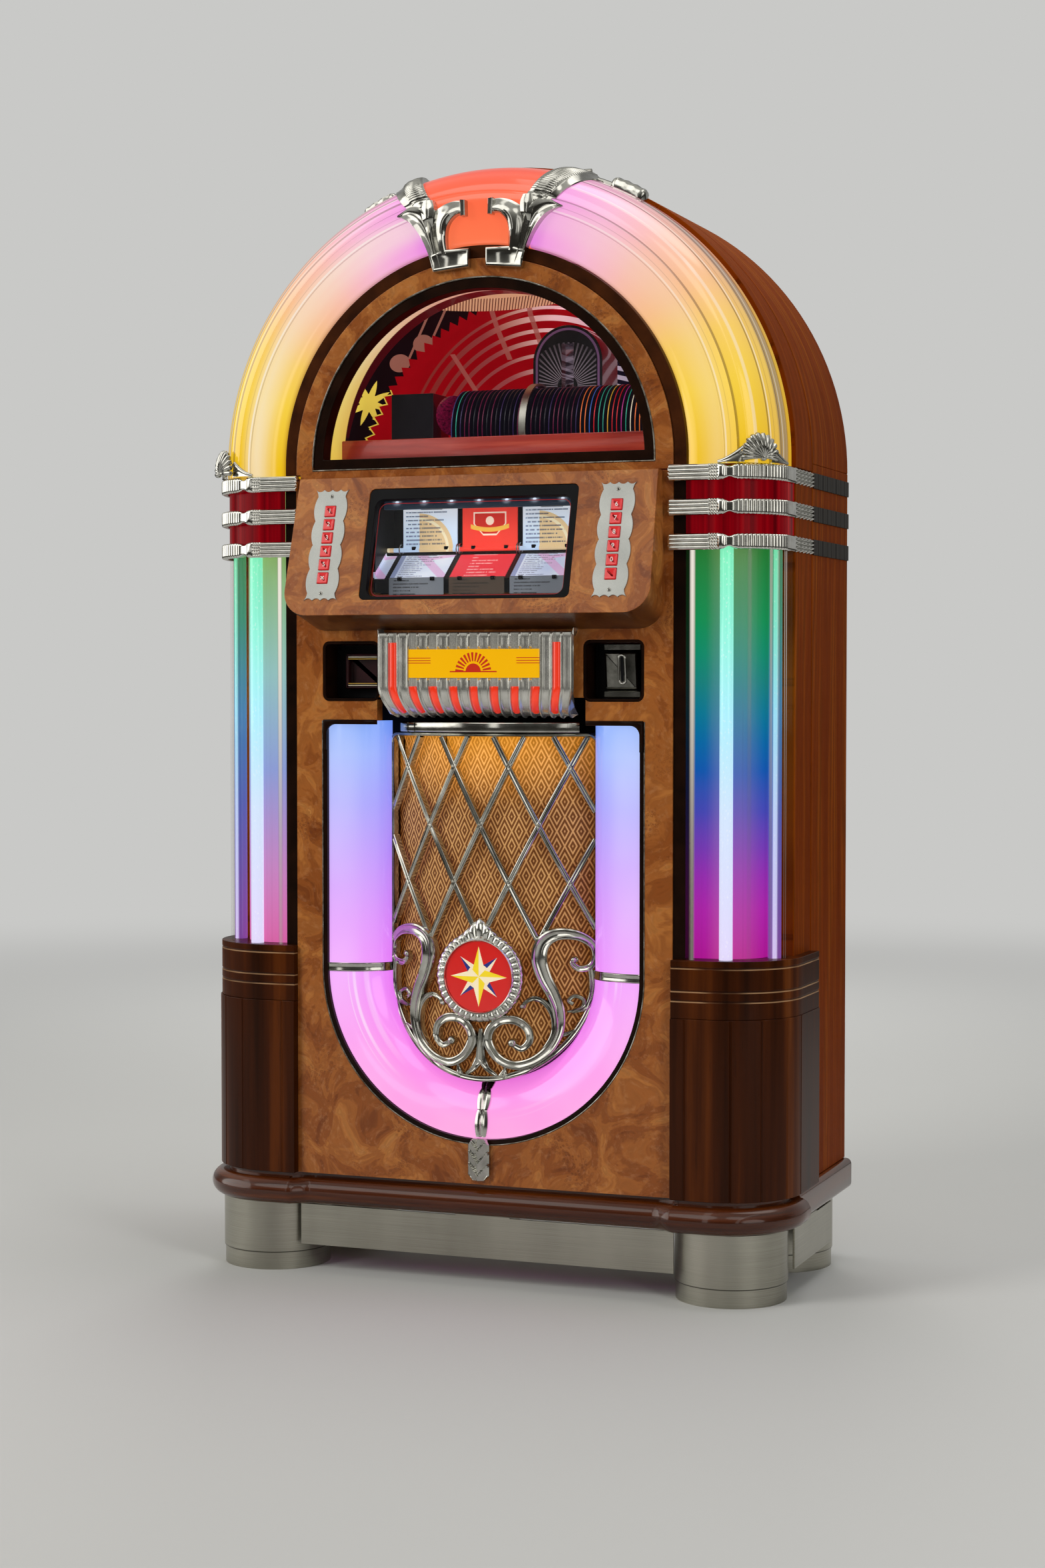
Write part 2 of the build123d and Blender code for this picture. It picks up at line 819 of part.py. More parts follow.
def panel_mouldings():
    """Dark trims: strips beside the burl, the U's rim, the grille's ring and both recess frames."""
    strip = slab(front_half + gap, front_half + trim_width, trim_y, board, capital_top, split_z - 1)
    rim = u_face(u_radius - gap, u_top - gap) - u_face(u_radius - rim_width, u_top + 5)
    rim_solid = front(rim, 0.5, board)
    frames = []
    for i, hole in enumerate(recess_faces(-gap)):
        inner = recess_faces(-recess_lip)[i]
        frames.append(front(hole - inner, 0.5, recess_depth))
    return group(both_sides(strip), rim_solid, grille_frame(), *frames)


def u_arc(grow, thick):
    """Skin over the rolled face of the U, in section (X = radius, Y): a quarter ellipse `grow` outside."""
    wide = u_outer - u_inner
    deep = u_inner_y - u_outer_y
    middle = (u_outer, u_inner_y)
    outer = EllipticalCenterArc(middle, wide + grow, deep + grow, 180, arc_size=90)
    inner = EllipticalCenterArc(middle, wide + grow - thick, deep + grow - thick, 180, arc_size=90)
    close_low = Line(outer @ 0, inner @ 0)
    close_high = Line(outer @ 1, inner @ 1)
    return make_face(outer + close_high + inner + close_low)


def u_section():
    """Section of the U plastics: the rolled face and the flange at its outer edge."""
    flange = Pos(u_outer - u_wall / 2, (u_outer_y + board) / 2) * Rectangle(u_wall, board - u_outer_y)
    return u_arc(0, u_wall) + flange


def u_plastics():
    """Lit plastics of the U: two straight runs and two quarter turns."""
    face = u_section()
    run = extrude(Pos(0, 0, u_z + gap / 2) * face, amount=u_top - u_z - gap)
    turn = revolve(Pos(0, 0, u_z) * face, Axis((0, 0, u_z), (0, 1, 0)), revolution_arc=89.9)
    return group(both_sides(run), both_sides(turn))


def grille_trim():
    """Chrome bar over the grille, the two clips across the U and the leaf drop at its foot."""
    low = lattice_top + gap
    bar = bowed_sheet(bow_half - 22, -4, 12, low, low + bar_height)
    skin = u_arc(0.4 + clip_thick, clip_thick)
    clip = extrude(Pos(0, 0, u_z - clip_width / 2) * skin, amount=clip_width)
    clip &= slab(u_inner + 1, u_radius, -60, 60, 0, u_top)
    clip += slab(u_outer - 0.1, u_radius - rim_width, u_outer_y - 0.4 - clip_thick, u_outer_y - 0.4,
                 u_z - clip_width / 2, u_z + clip_width / 2)
    leaf = u_arc(0.4 + drop_thick, drop_thick)
    arm = extrude(Plane.YZ.offset(-drop_half) * swung(leaf), amount=2 * drop_half)
    arm &= slab(-drop_half, drop_half, -60, 60, 0, u_z - u_inner - 1)
    neck_low = u_z - u_radius - 1
    neck = slab(-drop_half, drop_half, -drop_thick, -gap, neck_low, u_z - u_outer + 8)
    pad = slab(-pad_half, pad_half, -pad_thick, -gap, drop_low, neck_low)
    return group(bar, both_sides(clip), arm + neck + pad)


def swung(face):
    """Section face turned from (radius, Y) to (Y, Z) under the middle of the U."""
    return Pos(0, u_z) * Rot(0, 0, -90) * face


def grille_frame():
    """Wooden ring that carries the grille and its cloth in front of the speaker board."""
    ring = u_face(u_inner - 1, lattice_top) - u_face(u_inner - 1 - ring_thick, lattice_top - ring_thick)
    solid = front(ring, -5, baffle_y)
    behind = Pos(0, bow_radius(), 0) * Cylinder(bow_radius() - lattice_depth - gap, 3000)
    return solid & behind


def speaker_cloth():
    """Bowed speaker cloth behind the lattice."""
    inside = u_inner - 1 - ring_thick - gap
    sheet = bowed_sheet(inside + 3, cloth_back, cloth_thick, u_z - inside - 10, lattice_top)
    return group(sheet & front(u_face(inside, lattice_top - ring_thick - gap), -60, 200))


def lattice_bars():
    """Crossed bars of the grille, projected on the bow."""
    sheet = bowed_sheet(bow_half, 0, lattice_depth, u_z - 10, lattice_top)
    slope = degrees(atan2(lattice_pitch_z, lattice_pitch_x))
    length = 2 * lattice_top
    bars = None
    for k in range(-7, 8):
        for sign in (-1, 1):
            angle = 90 - sign * (90 - slope)
            bar = Pos(k * lattice_pitch_x, lattice_z) * Rot(0, 0, angle) * Rectangle(length, lattice_bar)
            bars = bar if bars is None else bars + bar
    window = Pos(0, (u_z + lattice_top) / 2) * Rectangle(2 * bow_half, lattice_top - u_z)
    edge = Pos(0, (u_z + lattice_top) / 2) * Rectangle(2 * bow_half - 8, lattice_top - u_z - 8)
    frame = window - edge
    face = (bars & window) + frame
    face -= Pos(0, medallion_z) * Circle(medallion_radius)
    bars_solid = front(face, -20, 120) & sheet
    return bars_solid


def scroll_frame():
    """Scroll casting under the lattice: a rim along the U and two volutes each side."""
    outer = u_face(u_inner - 2, u_z)
    inner = u_face(u_inner - 12, u_z + 1)
    rim = (outer - inner) & (Pos(0, u_z - 100) * Rectangle(2 * u_inner, 200))
    parts = rim
    for side in (-1, 1):
        for inward, up, r in ((108, -93, 28), (32, -28, 22), (58, 27, 26)):
            ring = Circle(r) - Circle(r - 7)
            parts += Pos(side * (u_inner - inward), u_z + up) * ring
    parts += Pos(0, u_z - u_inner + 27) * Rectangle(14, 60)
    parts -= Pos(0, medallion_z) * Circle(medallion_radius)
    sheet = bowed_sheet(bow_half + 2, -2, lattice_depth, u_z - u_inner, u_z + 60)
    solid = front(parts, -30, 120) & sheet
    return solid


def medallion_ring():
    """Ribbed chrome ring with a point at the top."""
    tip = make_face(Polyline((-26, medallion_z + 50), (26, medallion_z + 50), (0, medallion_z + 80.5),
                             close=True))
    face = (Pos(0, medallion_z) * Circle(medallion_radius)) + tip
    face -= Pos(0, medallion_z) * Circle(medallion_disc + gap)
    return front(face, -medallion_proud, lattice_depth)


def grille_castings():
    """Lattice, scrolls and medallion ring, three castings."""
    lattice = lattice_bars()
    scrolls = scroll_frame() - lattice
    biggest = sorted(scrolls.solids(), key=lambda s: s.volume)[-1]
    return group(lattice, biggest, medallion_ring())


def medallion_disc_plate():
    """Enamelled disc in the medallion ring, with its backing cup."""
    face = Pos(0, medallion_z) * Circle(medallion_disc)
    return group(front(face, -medallion_proud + 4, 4))


def speakers():
    """Baffle board with a woofer and two tweeters."""
    low = u_z - u_radius - 20
    high = u_notch_top + 40
    face = Pos(0, (low + high) / 2) * Rectangle(2 * (front_half - post_width - gap), high - low)
    centres = ((0, u_z, 118), (-72, lattice_top - 90, 44), (72, lattice_top - 90, 44))
    for x, z, r in centres:
        face -= Pos(x, z) * Circle(r)
    baffle = front(face, baffle_y, baffle_y + board)
    units = []
    for x, z, r in centres:
        rim = Circle(r + 10) - Circle(r - 8)
        frame = front(Pos(x, z) * rim, baffle_y + board, baffle_y + board + 5)
        cone = Pos(x, baffle_y + board + 5, z) * Rot(-90, 0, 0)
        cup = Cone(r - 2, r * 0.45, r * 0.5, align=UPWARD)
        cup -= Pos(0, 0, -0.01) * Cone(r - 6, r * 0.45 - 4, r * 0.5 - 5, align=UPWARD)
        magnet = Pos(0, 0, r * 0.5) * Cylinder(r * 0.42, r * 0.3, align=UPWARD)
        units.append(frame + cone * (cup + magnet))
    return group(baffle, *units)


# ---- payment panel ------------------------------------------------------------------------------
def recess_cup(side):
    """Plate that closes one recess at the back."""
    wide = recess_width - 2 * recess_lip - 2 * gap
    high = recess_high - recess_low - 2 * recess_lip - 2 * gap
    spot = Pos(side * (recess_inner + recess_outer) / 2, (recess_low + recess_high) / 2)
    outline = spot * rounded(wide, high, recess_round - recess_lip)
    return front(outline, recess_depth - cup_thick, recess_depth)


def coin_entry():
    """Chrome coin entry with a slot, set in the right recess."""
    x = (recess_inner + recess_outer) / 2 + coin_offset
    z = (recess_low + recess_high) / 2
    face_y = recess_depth - cup_thick - coin_depth
    face = front(Pos(x, z) * rounded(coin_width, coin_height, 4), face_y, recess_depth - cup_thick)
    face = chamfer(face.faces().sort_by(Axis.Y)[0].edges(), 4)
    outline = Pos(x, z + 4) * SlotOverall(slot_length, slot_width, rotation=90)
    slot = front(outline, face_y - 1, face_y + coin_slot_depth)
    return group(recess_cup(1) + face - slot)


def note_acceptor():
    """Banknote acceptor in the left recess."""
    x = note_offset - (recess_inner + recess_outer) / 2
    z = (recess_low + recess_high) / 2
    face_y = recess_depth - cup_thick - note_depth
    throat = front(Pos(x, z) * rounded(note_width, note_height, 3), face_y, recess_depth - cup_thick)
    slit = front(Pos(x, z - 6) * Rectangle(slit_length, slit_width), face_y - 1, face_y + note_slit_depth)
    return group(recess_cup(-1) + throat - slit)


def grill_casting():
    """Ribbed chrome casting over the payment panel, its lower edge rolled back."""
    r = (grill_bend - grill_bottom)
    y0 = -grill_proud
    outer = Polyline((y0, grill_top), (y0, grill_bend)) + CenterArc((y0 + r, grill_bend), r, 180, 90)
    outer += Polyline((y0 + r, grill_bottom), (y0 + r, grill_bottom + grill_wall))
    outer += CenterArc((y0 + r, grill_bend), r - grill_wall, 180, 90)
    outer += Polyline((y0 + grill_wall, grill_bend), (y0 + grill_wall, grill_top - grill_wall),
                      (-gap, grill_top - grill_wall), (-gap, grill_top), (y0, grill_top))
    face = make_face(outer)
    shell = extrude(Plane.YZ * face, amount=grill_half, both=True)
    pitch = 2 * grill_half / grill_ribs
    for i in range(grill_ribs + 1):
        x = -grill_half + pitch * i
        shell -= slab(x - pitch * 0.18, x + pitch * 0.18, y0 - 1, y0 + rib_depth * 0.5,
                      grill_bend, grill_top + 1)
    shell -= slab(-plate_half_x - gap, plate_half_x + gap, y0 - 1, y0 + rib_depth,
                  plate_low - gap, plate_high + gap)
    return group(shell - grill_cheek_cut())


def grill_cheek_cut():
    """Wedges that narrow the casting below its bend."""
    taper = 14.0
    top = grill_bend - 6
    foot = grill_bottom - 5
    cut = make_face(Polyline((grill_half, top), (grill_half + 5, top), (grill_half + 5, foot),
                             (grill_half - taper, foot), close=True))
    wedge = front(cut, -grill_proud - 5, 60)
    return wedge + mirror(wedge, about=Plane.YZ)


def grill_lenses():
    """Plain name plate and the red inserts set between the ribs."""
    y0 = -grill_proud
    plate = slab(-plate_half_x, plate_half_x, y0 + 0.4, y0 + rib_depth - gap, plate_low, plate_high)
    inserts = []
    pitch = 2 * grill_half / grill_ribs
    for i in range(-3, 4):
        x = i * 2 * pitch
        inserts.append(slab(x - 5.5, x + 5.5, y0 - 2, y0 - gap * 0.5, grill_bend - 2, grill_bend + 10))
    for side in (-1, 1):
        x = side * 8 * pitch
        inserts.append(slab(x - 5.5, x + 5.5, y0 - 2, y0 - gap * 0.5, grill_bend - 2, grill_top - 12))
    return group(plate, *inserts)


# ---- selector -----------------------------------------------------------------------------------
def panel_outline(inset, above):
    """Face outline on the selector's plane: wider at the bottom, two round lower corners."""
    top = above
    low = -panel_length + inset
    a = panel_top_half - inset
    b = panel_bottom_half - inset
    r = panel_round - inset * 0.6
    quad = make_face(Polyline((-a, top), (a, top), (b, low), (-b, low), close=True))
    corners = quad.vertices().group_by(Axis.Y)[0]
    return fillet(corners, r)


def below_split(limit_y):
    """Space under the lid line and in front of limit_y."""
    return slab(-cabinet_half, cabinet_half, -cabinet_half, limit_y, 0, split_z - 0.6)


def selector_housing():
    """Burl selector box: sloping face, returns and underside, open at the back."""
    outer = on_panel(panel_outline(0, 60), 0, 190) & below_split(-0.02)
    cavity = on_panel(panel_outline(panel_wall, 60), -panel_board, 190)
    cavity &= slab(-600, 600, -400, 1, 0, split_z - 0.6 - panel_wall)
    box = outer - cavity
    opening = rounded(2 * display_half, display_low - display_high, 8)
    opening = Pos(0, -(display_high + display_low) / 2) * opening
    box -= on_panel(opening, 5, panel_board + 10)
    for side in (-1, 1):
        for row in range(button_rows):
            hole = Pos(side * keypad_x, -button_first - button_pitch * row)
            box -= on_panel(hole * Rectangle(button_size + 1, button_size + 1), 5, panel_board + 10)
    return group(box)


def display_bezel():
    """Black bezel of the display window."""
    slack = 0.2
    height = display_low - display_high
    outer = rounded(2 * (display_half - slack), height - 2 * slack, 7.8)
    outer = Pos(0, -(display_high + display_low) / 2) * outer
    inner_low = display_low - bezel_bottom
    inner_high = display_high + bezel_top
    inner = rounded(2 * (display_half - bezel_side), inner_low - inner_high, 12)
    inner = Pos(0, -(inner_low + inner_high) / 2) * inner
    return group(on_panel(outer - inner, -bezel_recess, bezel_depth))


def display_glass():
    """Glass behind the bezel."""
    height = display_low - display_high
    pane = Pos(0, -(display_high + display_low) / 2) * Rectangle(2 * (display_half - 3), height - 6)
    return group(on_panel(pane, -bezel_recess - bezel_depth, glass_thick))


def scalloped_plate(side):
    """Outline of one keypad plate: a rectangle whose long edges are scalloped."""
    length = keypad_low - keypad_high
    middle = -(keypad_low + keypad_high) / 2
    x = side * keypad_x
    face = Pos(x, middle) * Rectangle(2 * keypad_half - 6, length - 6)
    step = (length - 26) / scallops
    for i in range(scallops):
        y = middle - (length - 26) / 2 + step * (i + 0.5)
        bulge = Ellipse(keypad_half, step / 2 + 1)
        face += Pos(x, y) * bulge
    for row in range(button_rows):
        y = -button_first - button_pitch * row
        face -= Pos(x, y) * Rectangle(button_size + 0.8, button_size + 0.8)
    for y in screw_rows():
        face -= Pos(x, y) * Circle(screw_radius * 0.5)
    return face


def screw_rows():
    """Heights of the plate screws on the slope."""
    return (-keypad_high - 10, -keypad_low + 10)


def button_plates():
    """Two scalloped keypad plates, their screws and the switch boards behind them."""
    pieces = []
    for side in (-1, 1):
        pieces.append(on_panel(scalloped_plate(side), plate_thick, plate_thick))
        for y in screw_rows():
            spot = Pos(side * keypad_x, y)
            pieces.append(on_panel(spot * Circle(screw_radius), plate_thick + 1.6, 1.6))
        rows = button_rows * button_pitch
        centre = Pos(side * keypad_x, -button_first - rows / 2 + button_pitch / 2)
        wall = Rectangle(38, rows + 12)
        pieces.append(on_panel(centre * wall, -panel_board, 1.6))
    return group(*pieces)


def button(side, row):
    """One square key: a soft-edged cap on a shank that ends just above its switch."""
    spot = Pos(side * keypad_x, -button_first - button_pitch * row)
    thick = panel_board - button_travel - gap
    cap = on_panel(spot * Rectangle(button_size, button_size), button_proud, button_proud + thick)
    edges = cap.edges().filter_by(lambda e: abs(plane_height(e.center()) - button_proud) < 0.05)
    return group(fillet(edges, 1.0))


def plane_height(point):
    """Height of a point above the selector's face."""
    t = radians(panel_tilt)
    return (point.Y - panel_top_y) * -cos(t) + (point.Z - split_z) * sin(t)


BUTTON_NAMES = {
    (-1, 0): "button_1", (-1, 1): "button_2", (-1, 2): "button_3",
    (-1, 3): "button_4", (-1, 4): "button_5", (-1, 5): "button_cancel",
    (1, 0): "button_6", (1, 1): "button_7", (1, 2): "button_8",
    (1, 3): "button_9", (1, 4): "button_0", (1, 5): "button_enter",
}


def title_tray():
    """Black tray behind the display, with the fixed upper and lower title pages and end brackets."""
    half = display_half + 4
    low = page_z - page_height
    high = page_z + page_height + 8
    back = slab(-half, half, page_y + 20, page_y + 23, low, high)
    floor = slab(-half, half, board + 0.5, page_y + 20, low, low + 3)
    cheek = slab(half - 3, half, tray_front_y, page_y + 20, low + 3, high)
    shelf = slab(3 - half, half - 3, page_thick, page_thick + 2, -page_height, -6)
    tray = back + floor + cheek + mirror(cheek, about=Plane.YZ) + page_slope(0) * shelf
    tray -= Pos(0, page_y, page_z) * Rot(0, 90, 0) * Cylinder(page_shaft + running_fit, 2 * half + 2)
    pages = []
    for i in (-1, 0, 1):
        x = i * page_pitch
        upper = slab(x - page_width / 2, x + page_width / 2, page_y + 4, page_y + 20,
                     page_z + 6, page_z + page_height - 2)
        pages.append(upper)
        lower = slab(-page_width / 2, page_width / 2, 0, page_thick, -page_height, -8)
        pages.append(page_slope(x) * lower)
    rail = slab(3 - half, half - 3, page_y + 12, page_y + 20, page_z - 12, page_z - 4)
    return group(tray + rail, *pages)


def page_slope(x):
    """Place of a lower title page: under the shaft, leaning forward."""
    return Pos(x, page_y, page_z - page_shaft) * Rot(page_lean - 90, 0, 0)


def page_leaf():
    """Turning title pages on their shaft."""
    shaft = Pos(0, page_y, page_z) * Rot(0, 90, 0) * Cylinder(page_shaft, 2 * display_half + 5)
    leaf = shaft
    for i in (-1, 0, 1):
        x = i * page_pitch
        y0 = page_y - page_thick / 2
        leaf += slab(x - page_width / 2, x + page_width / 2, y0, y0 + page_thick,
                     page_z, page_z + page_height)
    return group(leaf)


# ---- lid ---------------------------------------------------------------------------------------
def lid_frame():
    """Oak hoop, plywood face ring and inner wall that carry the lid's plastics and window board."""
    low = band_top + lid_gap
    wall_in = front_half - 12
    section = Polyline(
        (wall_in, board + gap), (front_half, board + gap), (front_half, column_back_y),
        (side_inner, column_back_y), (cabinet_half, column_back_y), (cabinet_half, seam_y),
        (side_inner, seam_y), (side_inner, column_back_y + 12), (wall_in, column_back_y + 12), close=True,
    )
    arch = hoop(section)
    leg = slab(side_inner, cabinet_half, column_back_y, seam_y, low, arch_z)
    leg += slab(wall_in, side_inner, column_back_y, column_back_y + 12, low, arch_z)
    leg += slab(wall_in, front_half, board + gap, column_back_y, low, arch_z)
    return group(arch + leg + mirror(leg, about=Plane.YZ))


def window_board():
    """Burl board of the lid with its D-shaped window."""
    low = split_z + lid_gap - 0.6
    outer = Pos(0, arch_z) * Circle(front_half)
    outer += Pos(0, (low + arch_z) / 2) * Rectangle(2 * front_half, arch_z - low)
    outer -= Pos(0, low - cabinet_half) * Rectangle(2 * cabinet_half, 2 * cabinet_half)
    notch = front_half - band_tip_x + notch_clear
    notch_low = low - 1
    notch_high = band_top + lid_gap
    for side in (-1, 1):
        corner = Pos(side * (front_half + 1 - notch / 2), (notch_low + notch_high) / 2)
        outer -= corner * Rectangle(notch, notch_high - notch_low)
    return group(front(outer - window_face(trim_ring), 0, board))


def window_face(grow):
    """Front view of the D-shaped window, grown on all sides."""
    disc = Pos(0, arch_z) * Circle(window_radius + grow)
    low = window_low - grow
    keep = Pos(0, low + cabinet_half) * Rectangle(2 * cabinet_half, 2 * cabinet_half)
    return disc & keep


def window_mouldings():
    """Dark rabbet round the window and the dark cove round the burl arch."""
    trim = front(window_face(trim_ring - gap) - window_face(0), 1.0, 26)
    section = ring_section(front_half + gap, front_half + trim_width, trim_y, board)
    cove = hoop(section)
    leg = slab(front_half + gap, front_half + trim_width, trim_y, board, band_top + lid_gap, arch_z)
    return group(trim, cove + leg + mirror(leg, about=Plane.YZ))


def window_glass():
    """Curved-top window pane behind the rabbet."""
    return group(front(window_face(trim_ring - 2), 26, 30))


def edge_skin(grow, thick):
    """Section (X = radius, Y) of a skin round the outer edge of the arch, `grow` outside the plastics."""
    rx = plastic_outer - plastic_step + grow
    ry = cover_centre_y - step_y + grow
    centre = (plastic_step, cover_centre_y)
    outer = EllipticalCenterArc(centre, rx, ry, 270, arc_size=90)
    inner = EllipticalCenterArc(centre, rx - thick, ry - thick, 270, arc_size=90)
    x1 = plastic_outer + grow
    tail = Polyline(outer @ 1, (x1, column_back_y), (x1 - thick, column_back_y), inner @ 1)
    return make_face(outer + tail + inner + Line(inner @ 0, outer @ 0))


def plastic_section():
    """Section of the arch plastics: stepped face, round outer edge and the flange at the inner edge."""
    x0 = plastic_inner + gap
    w = plastic_wall
    ridge = plastic_ridge
    start = ridge + step_y
    face = Polyline((x0, start), (plastic_step, ridge), (plastic_step, step_y + w),
                    (plastic_step - w, step_y + w), (plastic_step - w, ridge + w), (x0 + w, start + w), (x0 + w, column_back_y),
                    (x0, column_back_y), close=True)
    return make_face(face) + edge_skin(0, w)


def arch_plastics():
    """Lit plastics of the arch, one each side of the crown."""
    sweep = 90 - crown_angle
    right = turned_hoop(plastic_section(), 0, sweep)
    low = band_top + lid_gap
    leg = extrude(Pos(0, 0, low) * plastic_section(), amount=arch_z - low)
    return group(both_sides(right + leg))


def crown_plastic():
    """Red plastic at the top of the arch."""
    return group(turned_hoop(plastic_section(), 90 - crown_angle + 0.1, 2 * crown_angle - 0.2))


def crown_casting():
    """One crown casting: foot on the burl, leaf over the red plastic and crest over the arch's edge."""
    low = arch_z + front_half - 16
    foot = slab(8, 61, -10, -gap, low, low + 26)
    leaf = make_face(Polyline((34, low + 20), (61, low + 20), (72, low + 52), (106, low + 76),
                              (96, low + 88), (66, low + 92), (12, low + 84), (9, low + 70),
                              (34, low + 56), close=True))
    stem = front(leaf, -14, -5)
    lead = Pos(plastic_step - 9, plastic_ridge - 0.4 - crest_thick / 2) * Rectangle(26, crest_thick)
    crest = turned_hoop(edge_skin(crest_thick + 0.6, crest_thick) + lead, crest_start, crest_arc)
    seat = plastic_outer + 0.6
    bar = hoop(ring_section(seat, seat + 5, 84, 96), knob_start, crest_start - knob_start + 1)
    knob = hoop(ring_section(seat, seat + knob_height, 80, 102), knob_start, knob_arc)
    return foot + stem + crest + bar + knob


def corner_shell():
    """Scallop shell that stands over the top band at the corner of the arch's foot."""
    low = band_top + lid_gap
    plate = (Circle(shell_half) & (Pos(0, 60) * Rectangle(200, 120))) + Pos(0, 4.5) * Rectangle(84, 9)
    slim = front(plate, -shell_thick - 0.6, -0.6)
    phi = atan2(cover_centre_y - step_y, plastic_outer - plastic_step)
    x = plastic_step + (plastic_outer - plastic_step) * cos(phi)
    y = cover_centre_y - (cover_centre_y - step_y) * sin(phi)
    return Pos(x, y, low) * Rot(0, 0, 45) * slim


def lid_castings():
    """Chrome castings of the lid: the crown pair, the corner shells and the moving hinge knuckles."""
    knuckles = [lid_knuckle(x, 0) for x in lid_hinge_places()]
    return group(both_sides(crown_casting()), both_sides(corner_shell()), knuckles)


# ---- disc mechanism ---------------------------------------------------------------------------------
def mechanism_deck():
    """Deck under the disc mechanism with its wooden fascia."""
    back_y = cabinet_depth - board - gap
    wide_y = column_back_y + gap
    deck = slab(-side_inner + gap, side_inner - gap, wide_y, back_y, deck_top - board, deck_top)
    deck += slab(-front_half, front_half, deck_front_y, wide_y, deck_top - board, deck_top)
    fascia = slab(-window_radius + 6, window_radius - 6, fascia_y, fascia_y + 6, deck_top, window_low + 30)
    return group(deck + fascia)


def backdrop():
    """Arched backdrop behind the discs."""
    wall = slab(-front_half, front_half, backdrop_y, backdrop_y + 4, deck_top, arch_z)
    arch = hoop(ring_section(0, front_half, backdrop_y, backdrop_y + 4))
    return group(wall + arch)


def disc_rack():
    """Cradle and end plates that hold the discs on edge, the discs and the small cabinet beside them."""
    length = disc_pitch * (disc_count - 1)
    x0 = disc_first_x - 12
    x1 = disc_first_x + length + 12
    base = slab(x0, x1, disc_y - 40, disc_y + 40, deck_top, disc_z - 32)
    bore = Pos((x0 + x1) / 2, disc_y, disc_z) * Rot(0, 90, 0) * Cylinder(disc_radius + 0.3, x1 - x0 + 4)
    cradle = base - bore
    discs = []
    one = Rot(0, 90, 0) * (Cylinder(disc_radius, disc_thick) - Cylinder(disc_hole, disc_thick + 2))
    for i in range(disc_count):
        discs.append(Pos(disc_first_x + disc_pitch * i, disc_y, disc_z) * one)
    return group(cradle, *discs)


def carriage():
    """Trolley that runs along the rail behind the discs, with two ears for the gripper arm."""
    x = carriage_x
    low = rail_z - 14
    high = arm_pivot_z - 12
    body = slab(x - carriage_half, x + carriage_half, carriage_y - 9, carriage_y + 9, low, high)
    body -= Pos(x, carriage_y, rail_z) * Rot(0, 90, 0) * Cylinder(rail_radius + running_fit, 60)
    for side in (-1, 1):
        ear = slab(x + side * 9.5 - 3, x + side * 9.5 + 3, carriage_y - 6, carriage_y + 6, high, arm_pivot_z)
        ear += Pos(x + side * 9.5, carriage_y, arm_pivot_z) * Rot(0, 90, 0) * Cylinder(6, 6)
        body += ear
    body += Pos(x, carriage_y, arm_pivot_z) * Rot(0, 90, 0) * Cylinder(pin_radius, 24)
    return group(body)


def carriage_rail():
    """Round rail on two posts behind the discs."""
    middle = (rail_left + rail_right) / 2
    rod = Pos(middle, carriage_y, rail_z) * Rot(0, 90, 0) * Cylinder(rail_radius, rail_right - rail_left)
    for x0 in (rail_left, rail_right - 10):
        rod += slab(x0, x0 + 10, carriage_y - 9, carriage_y + 9, deck_top, rail_z + 8)
    return rod


def disc_slot():
    """Height limits of the slot that takes a disc in the player tower."""
    high = deck_top + tower_height - 26
    return high - 2 * disc_radius - 14, high


def spindle_place():
    """Depth and height of the playing disc's axis."""
    low, high = disc_slot()
    return tower_y + spindle_depth, (low + high) / 2


def player_tower():
    """Disc player: arched tower with a slot for the disc, its side frame and the carriage rail."""
    low = deck_top
    rise = tower_height - tower_half
    face = Pos(tower_x, low + rise / 2) * Rectangle(2 * tower_half, rise)
    face += Pos(tower_x, low + tower_height - tower_half) * Circle(tower_half)
    body = front(face, tower_y, tower_y + tower_depth)
    slot_low, slot_high = disc_slot()
    slot = slab(tower_x - slot_half, tower_x + slot_half, tower_y - 1, tower_y + tower_depth + 1,
                slot_low, slot_high)
    y, z = spindle_place()
    bore = Pos(tower_x - slot_half - 10, y, z) * Rot(0, 90, 0) * Cylinder(shaft_radius + running_fit, 22)
    box = slab(-166, -103, 84, 140, deck_top, disc_z + 54)
    return group(body - slot - bore, carriage_rail(), box)


def gripper_arm():
    """Half ring that lifts a disc, hinged on the carriage.

    Its rear end stops above the line from the discs' axis to the pivot, so that it swings clear of them.
    """
    r0 = disc_radius + arm_clear
    r1 = r0 + arm_thick
    ring = Rot(0, 90, 0) * (Cylinder(r1, arm_width) - Cylinder(r0, arm_width + 2))
    rise = r1 * sin(atan2(arm_pivot_z - disc_z, carriage_y - disc_y)) + 1
    keep = slab(-arm_width, arm_width, -r1 - 1, 0, -arm_reach, r1 + 1)
    keep += slab(-arm_width, arm_width, 0, r1 + 1, rise, r1 + 1)
    arm = Pos(carriage_x, disc_y, disc_z) * (ring & keep)
    link = slab(carriage_x - arm_width / 2, carriage_x + arm_width / 2, disc_y + r0 - 6, carriage_y,
                arm_pivot_z - 5, arm_pivot_z + 5)
    link -= Pos(carriage_x, disc_y, disc_z) * Rot(0, 90, 0) * Cylinder(r0 + 1, 30)
    eye = Pos(carriage_x, carriage_y, arm_pivot_z) * Rot(0, 90, 0) * Cylinder(6, arm_width)
    hole = Pos(carriage_x, carriage_y, arm_pivot_z) * Rot(0, 90, 0) * Cylinder(pin_radius + running_fit, 30)
    return group(arm + link + eye - hole)


